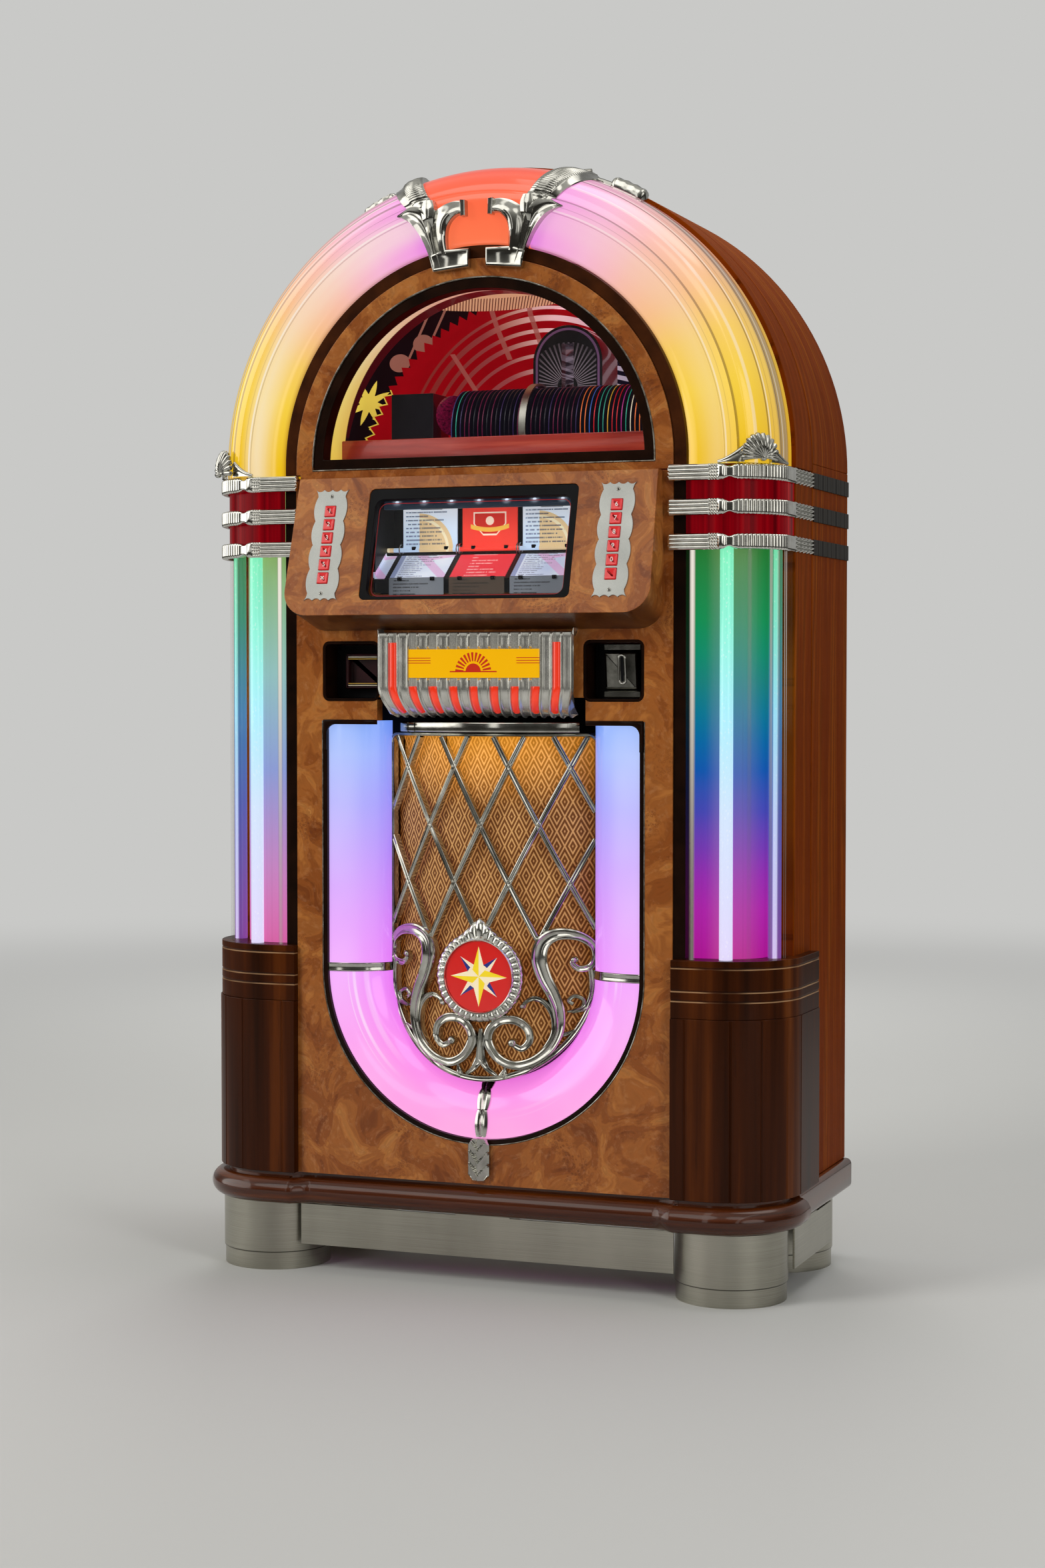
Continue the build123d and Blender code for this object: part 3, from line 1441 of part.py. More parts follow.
def turntable():
    """Clamp plate and motor shaft that spin the playing disc."""
    y, z = spindle_place()
    plate = Pos(tower_x - slot_half + 3, y, z) * Rot(0, 90, 0) * Cylinder(clamp_radius, 3)
    shaft = Pos(tower_x - slot_half - 7.5, y, z) * Rot(0, 90, 0) * Cylinder(shaft_radius, 22)
    return group(plate + shaft)


def electronics():
    """Amplifier with cooling fins and power unit on the floor board, and the mains inlet."""
    back_y = amp_y + amp_depth
    amp = slab(amp_x, amp_x + amp_width, amp_y, back_y, body_bottom, body_bottom + amp_height)
    pitch = (amp_width - fin_edge) / fin_count
    for i in range(fin_count):
        x = amp_x + fin_edge + pitch * i
        amp += slab(x, x + fin_thick, amp_y + fin_edge, back_y - fin_edge,
                    body_bottom + amp_height, body_bottom + amp_height + fin_height)
    supply = slab(supply_x, supply_x + supply_width, supply_y, supply_y + supply_depth,
                  body_bottom, body_bottom + supply_height)
    return group(amp, supply, power_inlet())


def power_inlet():
    """Mains inlet in the rear board."""
    def block(grow, y0, y1):
        """Box round the inlet's middle, `grow` larger than its hole on each side."""
        wide = inlet_half_width + grow
        high = inlet_half_height + grow
        return slab(inlet_x - wide, inlet_x + wide, y0, y1, inlet_z - high, inlet_z + high)

    body = block(-gap, cabinet_depth - 26, cabinet_depth)
    flange = block(5, cabinet_depth, cabinet_depth + 2)
    socket = block(-4, cabinet_depth - 14, cabinet_depth + 3)
    return body + flange - socket


# ---- export ----------------------------------------------------------------------------------------
def shift_to_centre(shape):
    """Moves a piece from cabinet coordinates to the frame centred on the footprint."""
    return Pos(0, centre_shift, 0) * shape


PARTS = {
    "feet": feet,
    "base_mouldings": base_mouldings,
    "plinth_plates": plinth_plates,
    "carcass_boards": carcass_boards,
    "side_panels": side_panels,
    "barrel_top": barrel_top,
    "side_bands": side_bands,
    "back_board": back_board,
    "back_door": back_door,
    "cabinet_hinges": cabinet_hinges,
    "pilasters": pilasters,
    "column_covers": column_covers,
    "column_sleeves": column_sleeves,
    "bubble_tubes": bubble_tubes,
    "column_bands": column_bands,
    "front_panel": front_panel,
    "panel_mouldings": panel_mouldings,
    "u_plastics": u_plastics,
    "grille_trim": grille_trim,
    "speaker_cloth": speaker_cloth,
    "grille_castings": grille_castings,
    "medallion_disc": medallion_disc_plate,
    "speakers": speakers,
    "coin_entry": coin_entry,
    "note_acceptor": note_acceptor,
    "grill_casting": grill_casting,
    "grill_lenses": grill_lenses,
    "selector_housing": selector_housing,
    "display_bezel": display_bezel,
    "display_glass": display_glass,
    "button_plates": button_plates,
    "title_tray": title_tray,
    "page_leaf": page_leaf,
    "lid_frame": lid_frame,
    "window_board": window_board,
    "window_mouldings": window_mouldings,
    "window_glass": window_glass,
    "arch_plastics": arch_plastics,
    "crown_plastic": crown_plastic,
    "lid_castings": lid_castings,
    "mechanism_deck": mechanism_deck,
    "backdrop": backdrop,
    "disc_rack": disc_rack,
    "carriage": carriage,
    "gripper_arm": gripper_arm,
    "player_tower": player_tower,
    "turntable": turntable,
    "electronics": electronics,
}


def main():
    """Builds every piece and writes one STEP file per node."""
    os.makedirs("parts", exist_ok=True)
    for name, make in PARTS.items():
        export_step(shift_to_centre(make()), f"parts/{name}.step")
    for (side, row), name in BUTTON_NAMES.items():
        export_step(shift_to_centre(button(side, row)), f"parts/{name}.step")


main()
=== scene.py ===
"""Arched jukebox: the surfaces, castings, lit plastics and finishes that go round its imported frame.

It is laid out as an add-on and run as a script. Lengths are millimetres in the cabinet's own frame:
x to the right, y back from the burl front's face, z up from the floor. placed() turns them into the
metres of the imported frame.
"""

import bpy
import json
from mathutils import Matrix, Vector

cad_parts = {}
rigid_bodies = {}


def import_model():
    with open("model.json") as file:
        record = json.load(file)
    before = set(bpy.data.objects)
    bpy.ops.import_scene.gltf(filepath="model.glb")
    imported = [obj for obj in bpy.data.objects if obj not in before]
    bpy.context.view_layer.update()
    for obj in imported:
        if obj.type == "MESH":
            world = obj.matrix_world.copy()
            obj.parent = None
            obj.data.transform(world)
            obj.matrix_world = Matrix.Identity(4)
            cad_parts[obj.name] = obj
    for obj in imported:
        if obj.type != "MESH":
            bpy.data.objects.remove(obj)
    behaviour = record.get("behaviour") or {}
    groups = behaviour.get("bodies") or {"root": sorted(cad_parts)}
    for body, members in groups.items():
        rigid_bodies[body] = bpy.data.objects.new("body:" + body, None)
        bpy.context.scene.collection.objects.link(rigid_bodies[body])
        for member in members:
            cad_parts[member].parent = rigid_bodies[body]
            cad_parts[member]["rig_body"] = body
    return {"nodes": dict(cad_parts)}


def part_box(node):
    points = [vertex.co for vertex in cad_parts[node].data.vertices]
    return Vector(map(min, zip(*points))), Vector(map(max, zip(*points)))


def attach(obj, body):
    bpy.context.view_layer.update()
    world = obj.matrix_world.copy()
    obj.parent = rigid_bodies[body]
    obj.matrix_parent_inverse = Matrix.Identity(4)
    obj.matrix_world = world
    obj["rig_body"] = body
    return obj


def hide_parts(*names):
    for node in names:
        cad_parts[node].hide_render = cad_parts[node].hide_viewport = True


bl_info = {
    "name": "Arched Jukebox",
    "version": (1, 0, 0),
    "blender": (4, 5, 0),
    "location": "View3D > Sidebar > Jukebox",
    "description": "Makes the mouldings, castings, lit plastics and finishes of an arched jukebox",
    "category": "Add Mesh",
}

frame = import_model()

import functools
import json
import math

import bmesh
import bpy
import numpy as np
from bpy.props import FloatProperty, FloatVectorProperty, IntProperty, PointerProperty
from mathutils import Vector

MM = 0.001
HORIZON = "C9C9C7"
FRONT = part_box("front_panel")[0].y / MM


# ---- places --------------------------------------------------------------------------------------

def box(node):
    """Lowest and highest corner of a CAD node in cabinet millimetres."""
    low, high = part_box(node)
    shift = np.array((0, FRONT, 0))
    return np.array(low) / MM - shift, np.array(high) / MM - shift


_, SEAM_Y, BODY_BOTTOM = box("side_panels")[0]
CABINET_HALF, BACK_Y, ARCH_Z = box("side_panels")[1]
SLATS_Y = box("side_bands")[0][1]
BACKDROP_Y = box("backdrop")[0][1]
FRONT_HALF = box("front_panel")[1][0]
PLASTIC_OUTER = box("arch_plastics")[1][0]
TOP_Z = box("lid_castings")[1][2]
CAPITAL_TOP = box("column_covers")[0][2]
BAND_LOW, BAND_TOP = (corner[2] for corner in box("column_bands"))
U_OUTER, _, U_TOP = box("u_plastics")[1]
SPLIT_Z = 1100.6

# Lid: the arch's plastics from their inner edge to the step, and the window.
PLASTIC_INNER = 291.9
PLASTIC_STEP = 362.0
PLASTIC_BACK = 103.0
STEP_Y = 3.5
CROWN_ANGLE = 14.0
WINDOW_RADIUS = 233.0
WINDOW_LOW = 1127.0
HINGE_XS = (-60.0, 60.0)
LID_AXIS_Y = 188.5

# Columns and their bands.
COVER_X = 325.0
COVER_RADIUS = 83.5
RING_HEIGHTS = (402.6, 415.7, 446.2)
BAND_SIDE_X = CABINET_HALF + 4.6
BAND_CENTRE_X = 331.0
BAND_TIP_X = 268.5
BAND_FRONT_Y = -11.8
BAND_PITCH = 45.1
BAND_COUNT = 3
BAND_CORNER = BAND_SIDE_X - BAND_CENTRE_X
BAND_FLAT = BAND_CENTRE_X - BAND_TIP_X
SHELL_S = 124.0

# Base.
FOOT_RING_Z = 24.7
MOULDING_LOW = 96.5
MOULDING_HEIGHT = 36.5

# Lower front: the U, the bowed grille and the medallion.
RIM_OUTER = 233.3
U_Z = 428.0
U_INNER = 150.0
BOW_HALF = 148.5
BOW_DEPTH = 49.0
LATTICE_TOP = 753.0
LATTICE_LOW = 468.0
LATTICE_Z = 628.0
LATTICE_PITCH = 77.0
LATTICE_RISE = 157.0
MEDALLION_Z = 423.5
MEDALLION_RADIUS = 62.5
MEDALLION_DISC = 48.0

# Payment panel: its two recesses and the grill casting with its plate.
RECESS_X = (148.0 + 233.5) / 2
RECESS_Z = (795.5 + 878.0) / 2
RECESS_HALF = (878.0 - 795.5) / 2
GRILL_HALF = 141.5
GRILL_TOP = 889.0
GRILL_BEND = 815.0
GRILL_LOW = 773.0
GRILL_PROUD = 24.0
GRILL_TAPER = 0.095
RIB_PITCH = 14.8
PLATE_HALF = 94.0
PLATE_LOW = 827.5
PLATE_HIGH = 866.0

# Selector: its slope, the keys on their plates and the title pages.
PANEL_TILT = math.radians(15.6)
PANEL_TOP_Y = -17.7
KEY_X = 206.3
KEY_FIRST = 48.7
KEY_PITCH = 19.0
KEY_ROWS = 6
KEY_SIZE = 15.4
KEYPAD_HIGH = 17.5
KEYPAD_LOW = 175.5
PLATE_THICK = 1.5
PAGE_PITCH = 88.0
PAGE_HEIGHT = 62.0
PAGE_Y = 38.0
PAGE_Z = 1003.0
PAGE_LEAN = 37.0

# Behind the window.
DISC_FIRST_X = -70.0
DISC_PITCH = 6.5
DISC_Y = 130.0
DISC_Z = 1168.0
TOWER_X = 45.0
TOWER_ARCH_Z = SPLIT_Z + 173.4


def placed(points):
    """Cabinet millimetres to frame metres."""
    return (np.asarray(points, float) + (0, FRONT, 0)) * MM


# ---- shader expressions --------------------------------------------------------------------------

def maths(operation, swapped=False):
    """A method that adds one Math node, with the value as its last input if swapped."""
    def method(self, *others):
        inputs = (*others, self) if swapped else (self, *others)
        return self.finish.node("ShaderNodeMath", {"operation": operation}, dict(enumerate(inputs)))
    return method


class Value:
    """One output of a node tree. Arithmetic on it adds Math nodes to the same tree."""

    def __init__(self, finish, socket):
        self.finish = finish
        self.socket = socket

    __add__ = __radd__ = maths("ADD")
    __sub__ = maths("SUBTRACT")
    __rsub__ = maths("SUBTRACT", swapped=True)
    __mul__ = __rmul__ = maths("MULTIPLY")
    __truediv__ = maths("DIVIDE")
    __gt__ = maths("GREATER_THAN")
    __lt__ = maths("LESS_THAN")
    __mod__ = maths("FLOORED_MODULO")
    __pow__ = maths("POWER")
    __abs__ = maths("ABSOLUTE")
    root = maths("SQRT")
    sin = maths("SINE")
    cos = maths("COSINE")
    floor = maths("FLOOR")
    least = maths("MINIMUM")
    most = maths("MAXIMUM")
    angle_from = maths("ARCTAN2")

    def __neg__(self):
        return self * -1.0

    def between(self, low, high):
        """0 below low, 1 above high, easing in and out between them."""
        eased = {"interpolation_type": "SMOOTHSTEP"}
        return self.finish.node("ShaderNodeMapRange", eased, {0: self, 1: low, 2: high})

    def near(self, place, inner, outer):
        """1 within `inner` of the place, easing to 0 at `outer`."""
        return 1.0 - abs(self - place).between(inner, outer)

    def inside(self, low, high):
        """1 from low to high."""
        return (self > low) * (self < high)

    def off_half(self):
        """How far the value is from the nearest half: 0 there, a half at each whole number."""
        return abs(self % 1.0 - 0.5)

    def lines(self, rows, soft=0.4):
        """Sum of soft lines from rows of (place, half width, strength)."""
        total = 0.0
        for place, half, strength in rows:
            total = total + self.near(place, half * soft, half) * strength
        return total

    def ramp(self, *stops, mode="LINEAR"):
        """Colour from stops of (place, colour)."""
        return self.finish.node("ShaderNodeValToRGB", {"stops": stops, "mode": mode}, {0: self})

    def tones(self, first, second):
        """Colour from the first below 0.3 to the second above 0.7."""
        return self.ramp((0.3, first), (0.7, second))


def length(x, y):
    """Distance of a point from the middle of its plane."""
    return (x * x + y * y).root()


def shown(colour):
    """The parts of a hex colour, 0 to 1."""
    return tuple(int(colour[i:i + 2], 16) / 255 for i in (0, 2, 4))


def linear(colour):
    """A colour written as it shows, as its parts or in hex, in linear light with alpha 1."""
    parts = shown(colour) if isinstance(colour, str) else colour
    return (*(c / 12.92 if c <= 0.04045 else ((c + 0.055) / 1.055) ** 2.4 for c in parts), 1.0)


class Finish:
    """The node tree of a material or of the world."""

    def __init__(self, tree):
        self.tree = tree
        tree.nodes.clear()

    def feed(self, socket, value):
        """Links a Value to the socket, or sets a constant on it."""
        if isinstance(value, Value):
            self.tree.links.new(value.socket, socket)
        elif isinstance(value, str):
            socket.default_value = linear(value)
        else:
            socket.default_value = value

    def node(self, kind, settings=None, inputs=None, output=0):
        """Adds a node: its settings first, then its sockets. Returns one output as a Value."""
        node = self.tree.nodes.new(kind)
        settings = dict(settings or {})
        stops = settings.pop("stops", None)
        if stops:
            ramp = node.color_ramp
            ramp.interpolation = settings.pop("mode")
            while len(ramp.elements) < len(stops):
                ramp.elements.new(0.5)
            for element, (place, colour) in zip(ramp.elements, stops):
                element.position = place
                element.color = linear(colour)
        for key, setting in settings.items():
            setattr(node, key, setting)
        for key, value in (inputs or {}).items():
            self.feed(node.inputs[key], value)
        return Value(self, node.outputs[output])

    def point(self):
        """Object coordinates in metres."""
        return self.node("ShaderNodeTexCoord", output="Object")

    def split(self, vector):
        """The three parts of a vector."""
        parts = self.node("ShaderNodeSeparateXYZ", inputs={0: vector})
        return [Value(self, output) for output in parts.socket.node.outputs]

    def cabinet(self, axes="xyz"):
        """Cabinet millimetres along each of the axes."""
        metres = dict(zip("xyz", self.split(self.point())))
        return [metres[axis] / MM - FRONT if axis == "y" else metres[axis] / MM for axis in axes]

    def join(self, x, y, z):
        """A vector of three parts."""
        return self.node("ShaderNodeCombineXYZ", inputs={0: x, 1: y, 2: z})

    def stretched(self, *factors):
        """Object coordinates, each times its factor."""
        return self.node("ShaderNodeVectorMath", {"operation": "MULTIPLY"}, {0: self.point(), 1: factors})

    def drifted(self, drift, amount):
        """Object coordinates, moved by a vector."""
        settings = {"operation": "MULTIPLY_ADD"}
        return self.node("ShaderNodeVectorMath", settings, {0: drift, 1: (amount,) * 3, 2: self.point()})

    def noise(self, scale, detail=3.0, roughness=0.5, warp=0.0, at=None, output=0):
        """Noise over object coordinates or another place: its value, or its colour as output 1."""
        inputs = {"Vector": at or self.point(), "Scale": scale, "Detail": detail, "Roughness": roughness,
                  "Distortion": warp}
        return self.node("ShaderNodeTexNoise", inputs=inputs, output=output)

    def noise_at(self, x, y, z, detail=2.0, roughness=0.5):
        """Noise at a place of its own."""
        return self.noise(1.0, detail, roughness, at=self.join(x, y, z))

    def cells(self, scale, at=None, output="Distance"):
        """Distance to the nearest cell's middle, or the cell's colour."""
        inputs = {"Vector": at or self.point(), "Scale": scale}
        return self.node("ShaderNodeTexVoronoi", inputs=inputs, output=output)

    def mix(self, factor, first, second, blend="MIX"):
        """Second over first by the factor, as colours."""
        settings = {"data_type": "RGBA", "blend_type": blend}
        return self.node("ShaderNodeMix", settings, {0: factor, 6: first, 7: second}, 2)

    def bump(self, height, distance, strength=1.0):
        """Normal of a height of 0 to 1 that stands `distance` metres high."""
        inputs = {"Height": height, "Distance": distance, "Strength": strength}
        return self.node("ShaderNodeBump", inputs=inputs)

    def surface(self, tone, roughness, coat=None, light=0.0, **sockets):
        """Ends the tree in a Principled shader: coat is a weight and a roughness, and light is the
        strength at which the tone also glows. Other sockets go by their names, specular for its level."""
        sockets.update(base_color=tone, roughness=roughness)
        if coat:
            sockets.update(coat_weight=coat[0], coat_roughness=coat[1])
        if light:
            sockets.update(emission_color=tone, emission_strength=light)
        shader = self.tree.nodes.new("ShaderNodeBsdfPrincipled")
        for key, value in sockets.items():
            name = "Specular IOR Level" if key == "specular" else key.replace("_", " ").title()
            self.feed(shader.inputs[name], value)
        self.tree.links.new(shader.outputs[0], self.tree.nodes.new("ShaderNodeOutputMaterial").inputs[0])


def finish_maker(make):
    """A finish is made once, as a material named like the function, and shared by its pieces."""
    @functools.cache
    def made(*options):
        material = bpy.data.materials.new("_".join((make.__name__, *options)))
        material.use_nodes = True
        make(Finish(material.node_tree), *options)
        return material
    return made


def settings():
    """The sizes and colours set in the sidebar."""
    return bpy.context.scene.jukebox


# ---- finishes ------------------------------------------------------------------------------------

@finish_maker
def burl_veneer(f):
    """Lacquered burl: warped swirls of figure, with clusters of small dark eyes; painted shade darkens its
    undersides.
    """
    drift = f.noise(9.0, 2.0, output=1)
    bent = f.drifted(drift, 0.09)
    swirl = f.noise(16.0, 4.0, 0.55, 1.4, bent)
    fine = f.noise(120.0, 5.0, 0.65, at=bent)
    eyes = f.cells(210.0, f.drifted(drift, 0.02)).near(0.32, 0.0, 0.2) * f.noise(12.0, 2.0).between(0.5, 0.68)
    tone = swirl.ramp((0.25, "6E3410"), (0.42, "92501F"), (0.58, "AE692F"), (0.78, "C98A48"))
    tone = f.mix((swirl * 9.0).off_half() * 0.64, tone, "582A10")
    tone = f.mix(fine.between(0.5, 0.75) * 0.35, tone, "C48A5C")
    tone = f.mix(eyes * 0.5, tone, "5A2A12")
    # Painted shade: faces that point downwards turn near-black brown.
    facing_down = -f.split(f.node("ShaderNodeNewGeometry", output="Normal"))[2]
    tone = f.mix(facing_down.between(0.3, 0.8) * 0.75, tone, "240E04")
    relief = f.bump(fine * 0.4 + eyes * 0.6, 0.0002)
    f.surface(tone, 0.28 + fine * 0.1, (0.25, 0.08), specular=0.2, normal=relief)


@finish_maker
def oak_veneer(f):
    """Lacquered oak: dark open pores along the grain, which follows the arch over the top."""
    x, y, z = f.split(f.point())
    rise = z - ARCH_Z * MM
    angle = abs(x).angle_from(rise.most(0.0001))
    run = rise.least(0.0) + (math.pi / 2 - angle) * (CABINET_HALF * MM) * (rise > 0.0)
    across = y + f.noise_at(y * 7.0, run * 1.1, 0.4) * 0.06
    rings = across * 55.0 + f.noise_at(across * 6.0, run * 0.9, 0.0, 3.0) * 9.0
    pores = f.noise_at(across * 900.0, run * 26.0, 0.0, 3.0, 0.7)
    wide = f.noise_at(across * 34.0, run * 1.4, 3.0, 4.0, 0.6)
    tone = wide.ramp((0.3, "662602"), (0.5, "803604"), (0.72, "A05410"))
    tone = f.mix((rings % 1.0).near(0.5, 0.0, 0.42) * wide.between(0.35, 0.65) * 0.55, tone, "3E1602")
    tone = f.mix(pores.between(0.56, 0.72) * 0.6, tone, "2A0E01")
    f.surface(tone, 0.46 + pores * 0.12, specular=0.02, normal=f.bump(1.0 - pores.between(0.5, 0.7), 0.00015))


@finish_maker
def slat_lacquer(f):
    """Near-black slats of the side bands, cut by fine upright grooves."""
    (y,) = f.cabinet("y")
    cloud = f.noise(40.0)
    tone = f.mix(((y / 9.0) % 1.0).near(0.5, 0.03, 0.08) * 0.7, cloud.tones("14110F", "221E1A"), "6A655C")
    f.surface(tone, 0.4 + cloud * 0.1, specular=0.08)


@finish_maker
def dark_lacquer(f):
    """Deep red-brown lacquer over straight upright grain, with painted highlight lines along the capitals'
    rings.
    """
    (z,) = f.cabinet("z")
    grain = f.noise(1.0, 4.0, 0.55, at=f.stretched(34.0, 34.0, 1.1))
    pores = f.noise(1.0, 2.0, 0.6, at=f.stretched(544.0, 544.0, 17.6))
    tone = grain.ramp((0.3, "240C01"), (0.5, "3C1803"), (0.65, "5A2A08"), (0.8, "7A441A"))
    tone = f.mix(pores.between(0.55, 0.75) * 0.4, tone, "1E0C03")
    # Painted highlight: a broken pale line just under each ring of the capitals.
    rings = z.lines([(height - 0.6, 1.2, 0.5) for height in RING_HEIGHTS], 1 / 3)
    tone = f.mix(rings * f.noise(14.0, 2.0).between(0.3, 0.6), tone, "E0B080")
    relief = f.bump(grain * 0.5 + pores * 0.5, 0.00004)
    f.surface(tone, 0.3 + grain * 0.08, (0.14, 0.05), specular=0.05, normal=relief)


@finish_maker
def moulding_lacquer(f):
    """Walnut-brown lacquer of the base moulding, its grain running along it."""
    grain = f.noise(1.0, 5.0, 0.6, at=f.stretched(3.0, 3.0, 90.0))
    fine = f.noise(1.0, 2.0, at=f.stretched(30.0, 30.0, 900.0))
    tone = grain.ramp((0.3, "2C1003"), (0.5, "4C2007"), (0.7, "6E3610"))
    tone = f.mix(fine.between(0.5, 0.75) * 0.35, tone, "200B02")
    f.surface(tone, 0.22 + grain * 0.08, (0.6, 0.05), specular=0.2)


@finish_maker
def black_lacquer(f):
    """Near-black brown lacquer of the window rabbet, the cove and the rims, browner round the arch."""
    x, z = f.cabinet("xz")
    cloud = f.noise(30.0, 4.0)
    outer = (length(x, (z - ARCH_Z).most(0.0)) > 258.0) * (z > SPLIT_Z)
    tone = f.mix(outer, cloud.tones("0E0502", "1E0D05"), cloud.tones("2A1206", "46220C"))
    f.surface(tone, 0.3 + cloud * 0.1, (0.1, 0.05), specular=0.06)


@finish_maker
def shelf_wood(f):
    """Red-stained wood of the shelf under the window, glowing a little as painted light for the lamps above
    it.
    """
    grain = f.noise(1.0, 5.0, 0.6, at=f.stretched(3.0, 60.0, 60.0))
    tone = grain.ramp((0.3, "701812"), (0.5, "98281C"), (0.7, "B44A36"))
    # Painted light: the wood glows at 0.35 of its own tone.
    f.surface(tone, 0.3 + grain * 0.1, (0.5, 0.08), 0.35)


@finish_maker
def raw_board(f):
    """Unfinished particle board of the back and the carcass."""
    shade = f.split(f.cells(260.0, f.stretched(1.0, 1.0, 0.7), "Color"))[0]
    dust = f.noise(60.0, 5.0, 0.7)
    tone = (shade * 0.6 + dust * 0.5).ramp((0.2, "5A3E26"), (0.5, "7E5C3A"), (0.85, "9C7A50"))
    f.surface(tone, 0.72 + shade * 0.15, normal=f.bump(shade, 0.0003))


def plating(f, scale, first, second, rough=0.05, haziness=0.1, **sockets):
    """Polished metal, unevenly hazed."""
    haze = f.noise(scale, 4.0, 0.6)
    f.surface(haze.tones(first, second), rough + haze * haziness, metallic=1.0, **sockets)


@finish_maker
def cast_chrome(f):
    """Polished plating over castings, with the faint waviness and haze of hand polishing."""
    plating(f, 45.0, "A5A49D", "CCCBC4", 0.07, normal=f.bump(f.noise(22.0, 2.0), 0.0003, 0.15))


@finish_maker
def band_chrome(f):
    """Brighter plating of the bands and the trim."""
    plating(f, 70.0, "C4C3BC", "E4E3DC")


@finish_maker
def dark_chrome(f):
    """Smoked plating of the coin entry."""
    plating(f, 60.0, "55544F", "86857E", 0.14, 0.12)


@finish_maker
def brushed_steel(f):
    """Satin steel with fine parallel upright brush marks."""
    marks = f.noise(1.0, 4.0, 0.7, at=f.stretched(1400.0, 1400.0, 6.0))
    tone = (marks * 0.6 + f.noise(12.0) * 0.4).tones("9C9A92", "C4C2BA")
    f.surface(tone, 0.26 + marks * 0.16, metallic=1.0, normal=f.bump(marks, 0.00006))


@finish_maker
def drum_steel(f):
    """Satin steel of the feet and the plinth, brushed round them, with a dark line of painted shade over the
    feet's rings.
    """
    (z,) = f.cabinet("z")
    marks = f.noise(1.0, 4.0, 0.7, at=f.stretched(6.0, 6.0, 1400.0))
    cloud = f.noise(1.0, at=f.stretched(9.0, 9.0, 3.0))
    tone = (marks * 0.5 + cloud * 0.5).tones("8E8B80", "C2BFB2")
    # Painted shade: a dark line where the ring groove of each foot lies.
    tone = f.mix(z.near(FOOT_RING_Z, 0.5, 1.3) * 0.8, tone, "24221E")
    f.surface(tone, 0.24 + marks * 0.14, metallic=1.0, normal=f.bump(marks, 0.00006))


@finish_maker
def old_steel(f):
    """Thin steel bead with brown age spots along it."""
    spots = f.noise(60.0, 4.0, 0.7)
    tone = spots.ramp((0.35, "A5A198"), (0.55, "6E675C"), (0.72, "3C2E22"))
    f.surface(tone, 0.2 + spots * 0.2, metallic=1.0)


@finish_maker
def ribbed_chrome(f):
    """Grill plating: polished, but every other flat above the bend is dull and finely speckled."""
    x, z = f.cabinet("xz")
    speck = f.noise(900.0, 2.0, 0.7)
    haze = f.noise(45.0, 4.0, 0.6)
    from_rib = (x / (2 * RIB_PITCH) + 0.5).off_half() * (2 * RIB_PITCH)
    dull = (from_rib < 5.4) * (z > GRILL_BEND) * (abs(x) < 118.0)
    tone = f.mix(dull, haze.tones("BDBCB5", "DEDDD6"), speck.tones("9C9B94", "D2D1CA"))
    f.surface(tone, 0.18 + haze * 0.1 + dull * 0.18, metallic=0.85)


@finish_maker
def satin_plate(f):
    """Key plates: satin nickel with a fine tooth."""
    tooth = f.noise(800.0, 3.0, 0.6)
    tone = (tooth * 0.4 + f.noise(16.0) * 0.6).tones("9C9E9A", "BABCB7")
    f.surface(tone, 0.36 + tooth * 0.12, metallic=0.55)


@finish_maker
def black_plastic(f):
    """Satin black moulding with a fine leathery grain."""
    grain = f.noise(900.0, 2.0)
    tone = f.noise(20.0).tones("060607", "0E0E10")
    f.surface(tone, 0.42 + grain * 0.12, specular=0.1, normal=f.bump(grain, 0.00005))


@finish_maker
def plain_paint(f, colour):
    """Smooth paint of one colour with a trace of unevenness."""
    cloud = f.noise(80.0)
    f.surface(f.mix(cloud * 0.15, colour, (0.2, 0.2, 0.2, 1.0)), 0.3 + cloud * 0.1)


@finish_maker
def maroon_throat(f):
    """Dark red plastic of the note slot."""
    cloud = f.noise(50.0)
    f.surface(cloud.tones("1C0508", "300A10"), 0.24 + cloud * 0.1, (0.6, 0.08))


@finish_maker
def key_red(f):
    """Translucent red key plastic, a little brighter where its lamp shows."""
    cloud = f.noise(120.0, 2.0)
    tone = f.mix(cloud * 0.3, linear(settings().key_colour), "DC3034")
    f.surface(tone, 0.2 + cloud * 0.06, (0.5, 0.05), 0.3)


def glowing(f, colour, share=0.8, depth=0.3, rough=0.16, coat=0.6):
    """A lit plastic skin: most of its colour is its own light, the rest is a glossy tinted face."""
    dark = f.mix(1.0, colour, (depth, depth, depth, 1.0), "MULTIPLY")
    f.surface(dark, rough, (coat, 0.04), specular=coat * 0.8, emission_color=colour,
              emission_strength=share * settings().glow)


